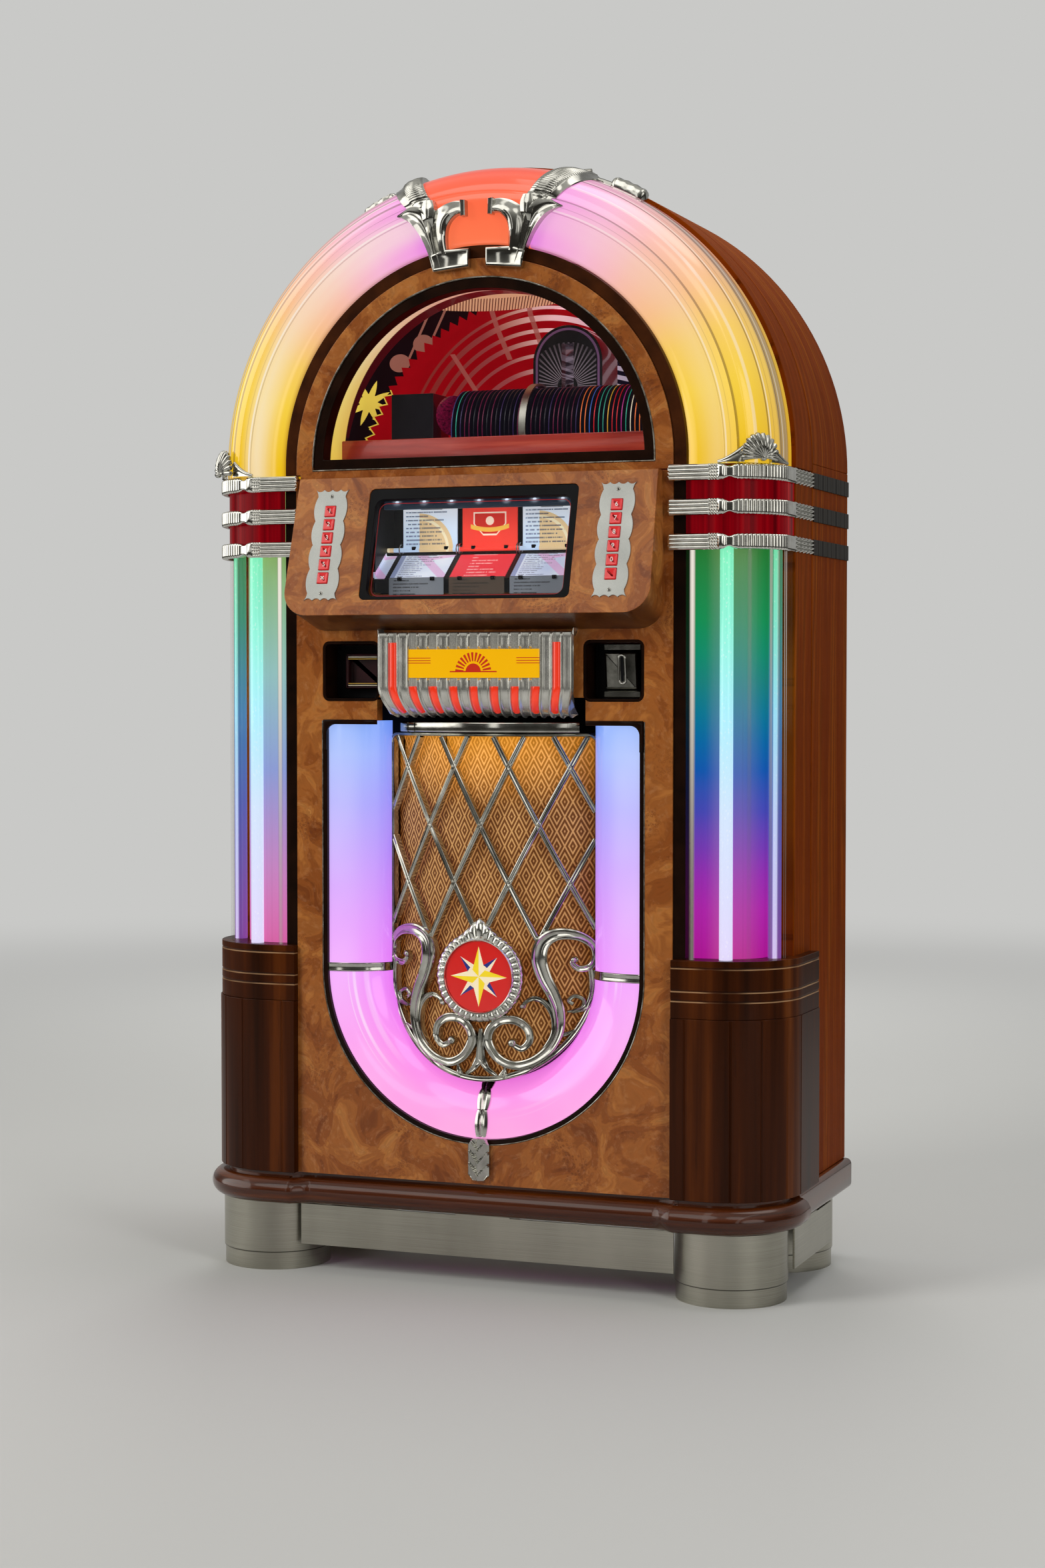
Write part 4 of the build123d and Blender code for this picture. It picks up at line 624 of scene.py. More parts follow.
@finish_maker
def arch_glow(f):
    """Arch plastic: yellow at the foot, peach on the haunch and violet pink at the crown, with a painted
    highlight band along its face, painted shade over the front of its rolled edge, and thin lines of painted
    shade and painted highlight along its steps and its rolled edge. The highlight band, the shade on the roll
    and the highlight lines are stronger on the left half, which alone has extra painted dark lines over the
    roll."""
    x, y, z = f.cabinet()
    rise = (z - ARCH_Z).most(0.0)
    turn = (z - ARCH_Z).angle_from(abs(x)).most(0.0) / (math.pi / 2)
    left = x < 0.0
    colour = (turn + (f.noise(7.0, 2.0) - 0.5) * 0.05).ramp(
        (0.0, "F6C61A"), (0.18, "FED648"), (0.3, "FED264"), (0.42, "FFC692"),
        (0.55, "FFC4B4"), (0.68, "FFBEDC"), (0.8, "FCA4EA"), (0.86, "EE7CF0"))
    radius = length(x, rise)
    rolled = radius > PLASTIC_STEP
    front = y < 12.0
    fall = ((y - STEP_Y) / (COVER_RADIUS - STEP_Y)).most(0.0) * rolled
    face = radius.least(PLASTIC_STEP)
    # Painted highlight: a pale band across the face, stronger on the left half.
    pale = face.between(300.0, 336.0) * (1.0 - face.between(340.0, 360.0))
    streak = f.noise_at(radius * 0.05, turn * 2.0, 1.0)
    colour = f.mix(pale * (0.2 + left * 0.35) * (0.4 + streak), colour, "FFF4E0")
    colour = f.mix((1.0 - radius.between(291.0, 298.0)) * 0.4, colour, "A85E1C")
    # Painted shade over the front of the rolled edge, stronger on the left half.
    colour = f.mix(fall.between(0.02, 0.55) * (0.25 + left * 0.3), colour, "C08A50")
    colour = f.mix(fall.between(0.6, 0.7) * (1.0 - fall.between(1.0, 1.1)) * 0.62, colour, "5E463C")
    # Painted shade and painted highlight: thin dark lines at the steps of the face and round the roll, then
    # thin pale lines.
    dark = (radius.lines(((361.3, 1.5, 0.62), (343.0, 1.1, 0.3), (352.0, 0.7, 0.22))) * front
            + fall.lines(((0.36, 0.022, 0.6), (0.7, 0.02, 0.75), (0.5, 0.012, 0.3),
                          (0.9, 0.02, 0.35))) * rolled)
    colour = f.mix(dark.least(1.0), colour, "4E2C22")
    light = (radius.near(345.6, 0.5, 1.5) * front * 0.6
             + fall.lines(((0.4, 0.02, 0.7), (0.8, 0.03, 0.5), (0.12, 0.03, 0.5))) * rolled)
    colour = f.mix(light.least(1.0) * (0.7 + left * 0.3), colour, "FFF8EE")
    # Painted shade: more dark lines over the roll, on the left half only.
    rim = fall.lines(((0.03, 0.012, 1.0), (0.13, 0.016, 1.0), (0.24, 0.02, 1.0), (0.4, 0.035, 1.0),
                      (0.55, 0.03, 1.0)), 0.5)
    glowing(f, f.mix((rim * left * rolled).least(1.0) * 0.6, colour, "6A4628"), 0.8, 0.2)


@finish_maker
def crown_glow(f):
    """Crown plastic: orange red, brighter along its lower half."""
    (z,) = f.cabinet("z")
    colour = ((z - ARCH_Z - 290.0) / 120.0 + (f.noise(14.0, 2.0) - 0.5) * 0.1).ramp(
        (0.0, "FF7A50"), (0.5, "FF6A44"), (1.0, "F24A38"))
    glowing(f, colour, 0.85, 0.25)


@finish_maker
def liner_glow(f):
    """Cream-yellow light on the edge of the window's opening, paler towards the top and black behind."""
    y, z = f.cabinet("yz")
    rise = z - ARCH_Z
    deep = y + rise * 0.14
    colour = (rise / 240.0 + (f.noise(9.0, 2.0) - 0.5) * 0.2).ramp(
        (0.0, "F6D250"), (0.45, "FBE486"), (0.8, "FFE8C0"), (1.0, "F0A8B0"))
    colour = f.mix(deep.between(40.0, 80.0) * 0.3, colour, "D89A38")
    glowing(f, f.mix(deep.between(78.0, 81.0), colour, "0D0B10"))


@finish_maker
def u_glow(f):
    """Plastics of the U: ice blue at the top, violet on the way down and pink at the foot, deeper in colour
    as painted shade where the roll turns back, with painted highlight streaks round the foot.
    """
    x, y, z = f.cabinet()
    low = U_Z - 233.0
    climb = (z - low) / (U_TOP - low)
    colour = climb.ramp((0.0, "FF92DC"), (0.18, "FF97EC"), (0.4, "F4A0FF"), (0.52, "E6A4FF"),
                        (0.66, "CFA9FF"), (0.8, "B4B0FF"), (0.92, "A8BEFF"), (1.0, "8FB4FF"))
    deep = climb.ramp((0.0, "FF62D8"), (0.4, "E85CFF"), (0.7, "A070FF"), (1.0, "5C86FF"))
    # Painted shade: deeper colour towards the back of the roll, where it turns away.
    colour = f.mix(y.between(6.0, 46.0) * 0.55, colour, deep)
    colour = f.mix((1.0 - y.between(5.0, 16.0)) * 0.25 * f.noise(9.0, 2.0), colour, "FFFFFF")
    foot = (U_Z - z).most(0.0)
    reach = length(x, foot)
    # Painted highlights: pale streaks in patches round the foot of the U.
    painted_glare_patches = (foot > 0.0) * f.noise(5.0, 1.0).between(0.4, 0.62)
    for radius, half, share in ((192.0, 3.0, 0.5), (200.0, 1.2, 0.35), (176.0, 5.0, 0.25)):
        colour = f.mix(reach.near(radius, half * 0.3, half) * share * painted_glare_patches, colour, "FFF4FF")
    glowing(f, colour, 0.88, 0.2)


def column_place(f):
    """Of a point on a column: x, y, z, the height as a share from the capital to the bands, and the
    angle, which is 0 where the cover faces the front and a quarter turn where it faces the side."""
    x, y, z = f.cabinet()
    climb = (z - CAPITAL_TOP) / (BAND_LOW - CAPITAL_TOP)
    return x, y, z, climb, (abs(x) - COVER_X).angle_from(COVER_RADIUS - y)


def column_colour(climb):
    """Green at the top of a column, blue in the middle and magenta at the foot."""
    return climb.ramp((0.0, "BC199F"), (0.12, "B727B2"), (0.2, "9F31B9"), (0.27, "7D3EBD"), (0.36, "4B4DBE"),
                      (0.46, "145DB8"), (0.53, "096EAE"), (0.6, "0A7E9D"), (0.68, "1A8883"), (0.75, "129370"),
                      (0.83, "169659"), (1.0, "298439"))


@finish_maker
def column_glow(f):
    """Inner sleeve of a column: a painted sheen makes it greyer along its middle and paler on the left
    column; ruby behind the bands, with pale painted highlight streaks.
    """
    x, y, z, climb, turn = column_place(f)
    soft = climb.ramp((0.0, "D2509E"), (0.2, "B062B4"), (0.45, "6E7CBC"), (0.7, "5E9AA0"), (1.0, "7C9E66"))
    left_column_sheen = climb.ramp((0.0, "F27AB8"), (0.2, "DC9ED2"), (0.45, "A8B4EA"), (0.7, "B0D8D8"), (1.0, "A4C87C"))
    # Painted sheen: a greyer, softer colour on the part that faces forward.
    middle = turn.between(-0.3, 0.1) * (1.0 - turn.between(0.5, 1.3))
    colour = f.mix(middle * 0.55, column_colour(climb), soft)
    # Painted sheen: the left column is paler than the right one.
    colour = f.mix((x < 0.0) * 0.75, colour, left_column_sheen)
    outermost = length(abs(x) - COVER_X, y - COVER_RADIUS).most((y < 3.0) * 80.0) > 76.0
    # The ruby's palest stop is a painted highlight streak.
    red = f.noise_at(turn * 7.0, z * 0.001, 0.0).ramp(
        (0.35, "4E0006"), (0.5, "74000A"), (0.66, "94060F"), (0.72, "C8605A"))
    glowing(f, f.mix(outermost * (z > BAND_LOW + 4.0), colour, red), rough=0.3, coat=0.05)


@finish_maker
def tube_glow(f):
    """Lit bubble tube: nearly white, with a tint of the sleeve behind it; the outer one is deepened and
    darkened by painted shade, but for a narrow upright stripe.
    """
    x, y, _, climb, _ = column_place(f)
    colour = climb.ramp((0.0, "E6DCFF"), (0.35, "D6E8FF"), (0.6, "B0F2FF"), (0.8, "96F8E0"), (1.0, "84F4C0"))
    deep = climb.ramp((0.0, "A03CC8"), (0.35, "5C66E0"), (0.6, "3E96DC"), (0.85, "30A880"), (1.0, "48A060"))
    bubbles = 1.0 - f.cells(240.0, f.stretched(1.0, 1.0, 0.6)).between(0.1, 0.3)
    colour = f.mix(bubbles * 0.3, colour, "FFFFFF")
    # Painted shade on the outer tube, left off along a narrow upright stripe.
    outer = abs(x) > 352.0
    unshaded_stripe = ((abs(x) - 394.0) * 0.95 + (y - 66.0) * 0.3).near(0.0, 2.0, 4.5)
    colour = f.mix(outer * (0.9 - unshaded_stripe * 0.65), colour, deep)
    glowing(f, f.mix(outer * (1.0 - unshaded_stripe) * 0.5, colour, "0A0A1C"), 1.0, 0.2)


@finish_maker
def clear_cover(f):
    """Clear column cover: see-through, with soft upright painted highlights, faint draw lines and a lit inner
    edge; only thin painted highlight lines behind the bands."""
    x, y, z, climb, turn = column_place(f)
    draw = f.noise_at(turn * 16.0, z * 0.0006, 0.0, 3.0, 0.6)
    above = z > BAND_LOW
    # Painted highlights: glowing pale lines at set turns round the cover, dimmer low down and thin behind the
    # bands.
    glint = turn.lines(((-0.3, 0.05, 0.95), (0.62, 0.05, 0.22), (1.02, 0.02, 0.75), (1.2, 0.03, 0.4),
                        (1.42, 0.02, 0.8)), 0.3)
    glint = glint * (0.35 + z.between(CAPITAL_TOP, BAND_LOW) * 0.65)
    glint = glint * (0.55 + draw * 0.9) * (1.0 - above * 0.9)
    glint = glint + turn.lines([(place, 0.016, 0.7) for place in (-0.12, 0.02, 0.62, 1.02)], 0.375) * above
    lit_edge = (1.0 - abs(x).between(258.0, 276.0)) * (y < 4.0)
    hue = f.mix(z > BAND_LOW + 4.0, column_colour(climb), "5E0008")
    seen = f.mix(lit_edge, f.mix(glint.least(1.0), "000000", "FFF6E8"), hue)
    veil = 0.05 + draw.between(0.55, 0.8) * 0.08 + glint * 0.7
    f.surface("101216", 0.06, (0.5 - above * 0.45, 0.03), alpha=veil.most(lit_edge * 0.85).least(0.9),
              emission_color=seen, emission_strength=0.9, specular=0.25)


@finish_maker
def clear_glass(f):
    """Window glass: almost wholly clear, seen by its gloss and a trace of dust."""
    dust = f.noise(40.0, 5.0, 0.7)
    f.surface("0C0F10", 0.03, (0.5, 0.02), alpha=0.05 + dust.between(0.6, 0.9) * 0.03)


@finish_maker
def speaker_weave(f):
    """Grille cloth: nested diamonds in tan thread on a gold ground; the whole cloth glows as painted light,
    amber and brightest at the top.
    """
    x, z = f.cabinet("xz")
    diamond = (x / 19.5).off_half() + (z / 40.0).off_half()
    threads = ((z * 3.6).sin() * 0.5 + 0.5) * 0.6 + ((x * 4.2).sin() * 0.5 + 0.5) * 0.4
    nest = (diamond * 4.0).off_half() * 2.0
    base = f.mix(nest.between(0.45, 0.7), linear(settings().cloth_colour), linear(settings().thread_colour))
    base = f.mix(threads * 0.25 + f.noise(700.0, 2.0) * 0.15, base, "5E3412")
    # Painted light: the cloth glows in its own colour, brightest and amber near the top middle, greyer low
    # down.
    amber_painted_glow = z.between(640.0, 760.0) * (1.0 - abs(x).between(20.0, 140.0) * 0.55)
    foot = 1.0 - z.between(330.0, 450.0)
    glow = f.mix(amber_painted_glow, f.mix(foot * 0.5, "8C6024", "8C6C50"), "FFB020")
    light = f.mix(amber_painted_glow * 0.55, f.mix(1.0, base, glow, "MULTIPLY"), "F0A228")
    f.surface(base, 0.85, sheen_weight=0.3, emission_color=light, emission_strength=1.0,
              normal=f.bump(threads, 0.0002))


@finish_maker
def lit_red(f):
    """Red insert lit from behind, deeper towards its lower end."""
    (z,) = f.cabinet("z")
    glowing(f, ((z - 778.0) / 40.0).ramp((0.0, "C41A08"), (0.5, "F03A1A"), (1.0, "E43216")), 0.75, 0.4, 0.14)


@finish_maker
def name_plate(f):
    """Amber plate with three red lines at each end and a plain red sunburst between them."""
    x, z = f.cabinet("xz")
    up = z - (PLATE_LOW + PLATE_HIGH) / 2 + 11.0
    above_bar = up > 0.5
    reach = length(x, up)
    lines = (((up - 15.0) / 3.4 + 0.5).off_half() < 0.15) * (abs(up - 15.0) < 5.0) * (abs(x) > 62.0)
    rays = ((up.angle_from(x) / math.pi * 13.0) % 1.0 > 0.45) * reach.inside(14.0, 26.0) * above_bar
    dome = (reach < 11.0) * above_bar
    bar = (abs(up) < 0.9) * (abs(x) < 34.0)
    colour = f.mix(f.noise(14.0, 2.0) * 0.25, linear(settings().plate_colour), "F9C21A")
    mark = lines.most(rays).most(dome).most(bar)
    glowing(f, f.mix(mark, colour, linear(settings().mark_colour)), 0.72, 0.35)


@finish_maker
def star_enamel(f):
    """Medallion: an eight-pointed star on red, each long point half gold and half cream, each short
    point cream with one blue flank; the enamel glows faintly as painted light."""
    x, z = f.cabinet("xz")
    up = z - MEDALLION_Z
    reach = length(x, up)
    quarters = up.angle_from(x) / (math.pi / 2)
    long_turn = ((quarters + 0.5) % 1.0 - 0.5) * (math.pi / 2)
    short_turn = (quarters % 1.0 - 0.5) * (math.pi / 2)

    def point(turn, long, half):
        """1 inside a star's points of this length and half width."""
        return reach * turn.cos() / long + reach * abs(turn.sin()) / half < 1.0

    cloud = f.noise(40.0)
    tone = f.mix(cloud * 0.2, linear(settings().enamel_colour), "E02A20")
    blue = (short_turn > 0.0) * (reach > 17.0)
    tone = f.mix(point(short_turn, 38.0, 11.0), tone, f.mix(blue, "F2DDBE", "1E2A78"))
    tone = f.mix(point(long_turn, 41.0, 11.5), tone, f.mix(long_turn > 0.0, "F4E4C0", "F0D21E"))
    # Painted light: the tone also glows at 0.28.
    f.surface(tone, 0.2 + cloud * 0.08, (1.0, 0.05), 0.28)


def text_lines(f, across, down, pitch, left, right, seed):
    """Rows of short dark strokes that stand for printed lines: 1 on a stroke."""
    row = down / pitch
    share = row % 1.0
    number = row - share
    end = f.noise_at(number * 7.3 + seed, 0.5, 0.5, 0.0) * (right - left) * 1.35 + left
    gaps = f.noise_at(across * 0.55, number * 3.1 + seed, 2.0, 1.0) > 0.42
    return share.inside(0.3, 0.68) * (across > left) * (across < end.least(right)) * gaps


def page_place(f):
    """Distance from the middle of the nearest page, y, z, and 1 on the middle page."""
    x, y, z = f.cabinet()
    return ((x / PAGE_PITCH + 0.5) % 1.0 - 0.5) * PAGE_PITCH, y, z, abs(x) < PAGE_PITCH / 2


@finish_maker
def upper_print(f):
    """Upper title pages: pale blue cards with a gold quarter disc and lines; the middle one red with a
    plain shield and ribbon. They glow as painted light."""
    across, _, z, centre = page_place(f)
    up = z - PAGE_Z
    fade = f.noise(12.0, 2.0)
    pale = (up / PAGE_HEIGHT + (fade - 0.5) * 0.3).ramp((0.0, "B9D0EC"), (0.6, "D8E8F8"), (1.0, "F2F8FF"))
    corner = length(across + 16.0, up)
    beside = across > -16.0
    pale = f.mix((corner < 50.0) * beside * 0.8, pale, "DDB766")
    pale = f.mix((abs(corner - 42.0) < 2.0) * beside * 0.7, pale, "F4E9C8")
    lines = text_lines(f, across, PAGE_HEIGHT - 8.0 - up, 5.4, -36.0, 30.0, 3.0)
    pale = f.mix(lines * up.inside(6.0, PAGE_HEIGHT - 9.0) * 0.75, pale, "32415C")
    pale = f.mix((abs(up - PAGE_HEIGHT + 6.0) < 1.5) * (abs(across - 2.0) < 16.0) * 0.8, pale, "22304C")
    red = f.mix(f.noise(20.0, 2.0), "E8342C", "F04A3A")
    for half, low, high, colour in ((24.0, 18.0, 50.0, "F6D9C4"), (22.0, 20.5, 48.0, "C8281E")):
        shield = (abs(across) < half - (34.0 - up).most(0.0) * 0.9) * up.inside(low, high)
        red = f.mix(shield, red, colour)
    red = f.mix(length(across, up - 38.0) < 6.0, red, "F6D9C4")
    ribbon = (abs(up - 26.0 - across * across * 0.006) < 3.0) * (abs(across) < 28.0)
    # Painted light: the print glows at 0.62 of its tone.
    f.surface(f.mix(centre, pale, f.mix(ribbon, red, "E9B64A")), 0.3 + fade * 0.1, light=0.62)


@finish_maker
def lower_print(f):
    """Tray and lower pages: black, but for the cards, whose place is the distance down their slope; all of it
    glows as painted light.
    """
    across, y, z, centre = page_place(f)
    lean = math.radians(90.0 - PAGE_LEAN)
    ahead = PAGE_Y - y
    below = PAGE_Z - z
    along = ahead * math.sin(lean) + below * math.cos(lean)
    off = below * math.sin(lean) - ahead * math.cos(lean)
    card = (abs(across) < 40.0) * along.inside(7.0, 62.5) * off.inside(-1.0, 5.2)
    fade = f.noise(14.0, 2.0)
    wedge = abs(across - (along - 20.0) * 0.9) < 8.0
    bar = (across > 4.0) * (abs(along - 20.0 + across * 0.25) < 4.0)
    pale = f.mix(wedge.most(bar) * 0.55, fade.tones("BCC8E4", "E4ECF8"), "D88AC4")
    pale = f.mix((across < -33.0) * 0.85, pale, "7E8CB4")
    pale = f.mix(text_lines(f, across, along, 4.4, -30.0, 30.0, 9.0) * 0.7, pale, "3A4258")
    marks = text_lines(f, across, along, 7.0, -20.0, 24.0, 5.0) * (abs(across) < 25.0)
    red = f.mix(marks * 0.6, f.mix(f.noise(20.0, 2.0), "DE2E3C", "EC4450"), "F6C8C4")
    # Painted light: the print glows at 0.5 of its tone.
    f.surface(f.mix(card, "060709", f.mix(centre, pale, red)), 0.34 + fade * 0.1, light=0.5)


@finish_maker
def row_print(f):
    """Tops of the pages in the row below: cards painted grey, the middle one brown, as shade, with lines of
    print and a faint glow of painted light.
    """
    across, _, z, centre = page_place(f)
    fade = f.noise(14.0, 2.0)
    # Painted shade: grey cards and a brown middle one stand for the lit pages in shadow.
    tone = f.mix(centre, f.mix(fade, "5A626E", "868C94"), "4A3E34")
    tone = f.mix(text_lines(f, across, PAGE_Z - z, 4.6, -34.0, 34.0, 21.0) * 0.75, tone, "14161A")
    # Painted light: the cards glow at 0.3 of their tone.
    f.surface(tone, 0.4 + fade * 0.1, light=0.3)


@finish_maker
def sparkle_strip(f):
    """Dark glittering lamp strip: seven small lamps in a row and specks of their light below."""
    x, z = f.cabinet("xz")
    along = (x / 40.0 + 0.5).off_half() * 40.0
    height = z - (SPLIT_Z - 29.0 * math.cos(PANEL_TILT) - 6.5)
    reach = (along * along + height * height * 1.6).root()
    halo = 1.0 - reach.between(2.0, 11.0)
    specks = 1.0 - f.cells(620.0, f.stretched(1.0, 1.0, 1.6)).between(0.04, 0.16)
    glitter = specks * (f.noise(240.0, 2.0) > 0.52)
    rays = glitter * (0.14 + halo * 1.2) + halo * halo * 0.25 + 1.0 - reach.between(1.2, 3.2)
    f.surface(f.mix(rays.least(1.0), "18222E", "DCEBFF"), 0.3, light=1.0)


@finish_maker
def disc_stack(f):
    """Discs on edge: each its own edge colour, from its number along the row; dark wood under them. All of it
    glows as painted light.
    """
    x, y, z = f.cabinet()
    place = (x - DISC_FIRST_X) / DISC_PITCH + 0.5
    number = place.floor()
    pick = f.noise_at(number * 5.37, 1.7, 0.3, 0.0)
    share = (pick * 7.0) % 1.0
    bright = share.ramp((0.0, "C81E28"), (0.16, "E8DCC8"), (0.28, "2A9A84"), (0.42, "D8A42E"),
                        (0.55, "B02C8A"), (0.68, "3A62B8"), (0.8, "E8702E"), (0.9, "2C3C70"), mode="CONSTANT")
    dull = share.ramp((0.0, "4A0E2C"), (0.2, "16161E"), (0.4, "5A1034"), (0.6, "1C1420"), (0.8, "30204A"),
                      mode="CONSTANT")
    ends = (number < 2.0).most(number > 28.0)
    reach = length(y - DISC_Y, z - DISC_Z)
    edge = (reach > 57.0) * (place.off_half() < 0.09)
    face = f.mix(f.noise_at(number, y * 0.2, z * 0.2), "09080C", "1E1A26")
    disc = reach < 60.2
    tone = f.mix(disc, "2A0A0A", f.mix(edge, face, f.mix(ends * 0.9, dull, bright)))
    # Painted light: discs and wood glow at 0.45 of their tone.
    f.surface(tone, 0.22 + pick * 0.1, light=0.45, metallic=disc * 0.2)


@finish_maker
def magenta_disc(f):
    """Dark magenta disc face with faint rings, glowing a little as painted light."""
    x, z = f.cabinet("xz")
    rings = f.noise_at(z * 0.4, x * 0.4, 0.0)
    # Painted light: the face glows at 0.4 of its tone.
    f.surface(rings.tones("3A0620", "8A1440"), 0.2 + rings * 0.1, (1.0, 0.04), 0.4)


@finish_maker
def tower_print(f):
    """Player tower: black lacquer with a fan of pale rays over a framed panel and a lilac rim, glowing a
    little as painted light.
    """
    x, z = f.cabinet("xz")
    side = x - TOWER_X
    up = z - TOWER_ARCH_Z
    low = up + 34.0
    reach = length(side, up)
    heart = length(side, low)
    rays = ((low.angle_from(side) / math.pi * 26.0) % 1.0 > 0.62) * heart.inside(15.0, 62.0)
    panel = (reach < 43.0).most((up < 0.0) * (abs(side) < 43.0))
    rim = (abs(reach - 46.5) < 1.7) * (up > 0.0) + (abs(abs(side) - 46.5) < 1.7) * (up < 0.0)
    cloud = f.noise(60.0)
    tone = f.mix(rays * panel * (0.85 - heart / 90.0), f.mix(cloud * 0.4, "0C090E", "1E1622"), "D8C8DC")
    tone = f.mix(rim.least(1.0) * 0.8, tone, "9C6FA4")
    tone = f.mix((abs(side) < 8.0) * (low < 14.0) * 0.7, tone, "A890AC")
    tone = f.mix((abs(side) < 6.0) * (low < 12.0), tone, "3A0A10")
    # Painted light: the print glows at 0.25 of its tone.
    f.surface(tone, 0.18 + cloud * 0.1, (1.0, 0.05), 0.25)


@finish_maker
def backdrop_art(f):
    """Printed backdrop: crimson with curved lines that pale towards the right, a black saw-toothed field
    with a gold star on the left, a striped fan on the right and a fringed shade under the top. On the
    side walls the print runs on, by the distance to the back; the rear is plain. All of it glows as painted
    light."""
    x, y, z = f.cabinet()
    side = x - (BACKDROP_Y - y) * 0.42
    z = z + (BACKDROP_Y - y) * 0.14
    cloud = f.noise(22.0)
    tone = f.mix(cloud, "8C0610", "AA0A18")
    pale = side.between(-220.0, 40.0)
    line = f.mix(pale, "D8B040", "FFDCE8")
    dim = f.mix(pale, "8C3A34", "B86A70")
    circle = length(side + 35.0, z - 1150.5)
    for radius, half in ((219.0, 2.2), (204.0, 4.2), (186.0, 2.8), (170.0, 3.4), (150.0, 2.6), (128.0, 3.4)):
        ring = (abs(circle - radius) < half) * (side > -260.0)
        glint = (side + z * 0.4).between(440.0 - radius * 0.2, 520.0)
        tone = f.mix(ring * 0.9, tone, f.mix(glint, dim, line))
    for x0, z0, x1, z1 in ((-121.0, 1372.0, -88.0, 1296.0), (-180.0, 1308.0, -138.0, 1246.0),
                           (-60.0, 1372.0, -30.0, 1290.0)):
        lean = (x1 - x0) / (z1 - z0)
        bar = (abs(side - x0 - (z - z0) * lean) < 4.0) * z.inside(z1, z0)
        tone = f.mix(bar * 0.85, tone, "A86058")

    # The black field, its teeth, the two joined notes and the star with its zigzag.
    out_x = side + 40.0
    out_z = z - 1100.0
    edge = length(out_x, out_z) - (out_z.angle_from(-out_x) * 18.0).off_half() * 22.0
    note = (abs(z - 1376.0 - (side + 205.0) * 0.7) < 5.0) * side.inside(-224.0, -184.0)
    for head_x, head_z in ((-226.0, 1326.0), (-262.0, 1300.0)):
        stem_x, stem_z = head_x + 12.0, head_z + 2.0
        head = ((side - head_x) * (side - head_x) * 0.7 + (z - head_z) * (z - head_z)).root() < 13.0
        stem = (abs(side - stem_x - (z - stem_z) * 0.5) < 2.0) * z.inside(stem_z, stem_z + 62.0)
        note = note.most(head).most(stem)
    black = f.mix(note * 0.75, f.mix(cloud, "070608", "100D12"), "B07464")
    star_x = side + 310.0
    star_z = z - 1246.0
    spikes = (1.0 - (star_z.angle_from(star_x) / math.tau * 8.0).off_half() * 2.0) ** 1.6
    star = length(star_x, star_z) < 13.0 + 21.0 * spikes
    zigzag = abs(side + 300.0 - (z / 15.0).off_half() * 26.0 + (1230.0 - z) * 0.35) < 3.0
    black = f.mix(star.most(zigzag * (z < 1226.0)), black, "F2DC5A")
    tone = f.mix((edge > 282.0) * (side < 20.0), tone, black)
    tone = f.mix((abs(edge - 281.0) < 1.6) * (z < 1262.0) * (side < 0.0), tone, "E8D050")

    fan = (side > 54.0 - (z - 1250.0) * 0.04) * (z < 1312.0 - (side - 54.0) * 0.9)
    tone = f.mix(fan, tone, f.mix((z + side * 0.25) / 13.0 % 1.0 > 0.5, "1C1626", "C8BCD0"))
    drop = z - 1371.0 - abs(side + 118.0) * abs(side + 118.0) * 0.0006
    threads = ((side / 4.6) % 1.0 > 0.32).most(drop > 14.0)
    fringe = drop.inside(-3.0, 22.0) * (abs(side + 120.0) < 112.0)
    tone = f.mix(fringe, tone, f.mix(threads, "4A0A10", "EDB48C"))
    tone = f.mix((drop > 22.0) * (abs(side + 120.0) < 150.0), tone, "8E0A2C")
    # Painted light: the whole backdrop, rear included, glows at 0.6 of its tone.
    f.surface(f.mix(y > BACKDROP_Y + 0.5, tone, "241A12"), 0.5 + cloud * 0.1, light=0.6, specular=0.05)


@finish_maker
def studio_floor(f):
    """Pale floor that fades into the horizon's colour far from the object."""
    x, y, _ = f.split(f.point())
    far = length(x, y).between(1.4, 6.0)
    near = f.mix(f.noise(3.0, 2.0) * 0.06, linear(settings().floor_colour), (0.5, 0.5, 0.5, 1.0))
    seen = f.node("ShaderNodeLightPath", output="Is Camera Ray")
    haze = f.mix(far, "000000", f.mix(seen, "3A3834", HORIZON))
    f.surface(f.mix(far, near, "000000"), 0.9, specular=0.0, emission_color=haze, emission_strength=1.0)


# ---- pieces --------------------------------------------------------------------------------------

WELD = 2e-6
BEVEL_ABOVE = math.radians(50)
FLAT_BELOW = math.radians(0.4)


def show(mesh, node, finishes, replaces, crease=35.0):
    """Links a mesh in frame metres as a piece on the node's body, shaded smooth up to the
    crease angle in degrees."""
    mesh.polygons.foreach_set("use_smooth", np.ones(len(mesh.polygons), bool))
    mesh.set_sharp_from_angle(angle=math.radians(crease))
    for finish in finishes:
        mesh.materials.append(finish)
    piece = bpy.data.objects.new(mesh.name, mesh)
    bpy.context.scene.collection.objects.link(piece)
    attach(piece, frame["nodes"][node]["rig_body"])
    if replaces:
        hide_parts(node)
    return piece


def welded(mesh, then):
    """Merges a mesh's doubled corners and runs one more step on it."""
    form = bmesh.new()
    form.from_mesh(mesh)
    bmesh.ops.remove_doubles(form, verts=form.verts, dist=WELD)
    then(form)
    form.to_mesh(mesh)
    form.free()


def mesh_points(mesh):
    """The corners of a mesh, as rows of three."""
    flat = np.empty(len(mesh.vertices) * 3)
    mesh.vertices.foreach_get("co", flat)
    return flat.reshape(-1, 3)


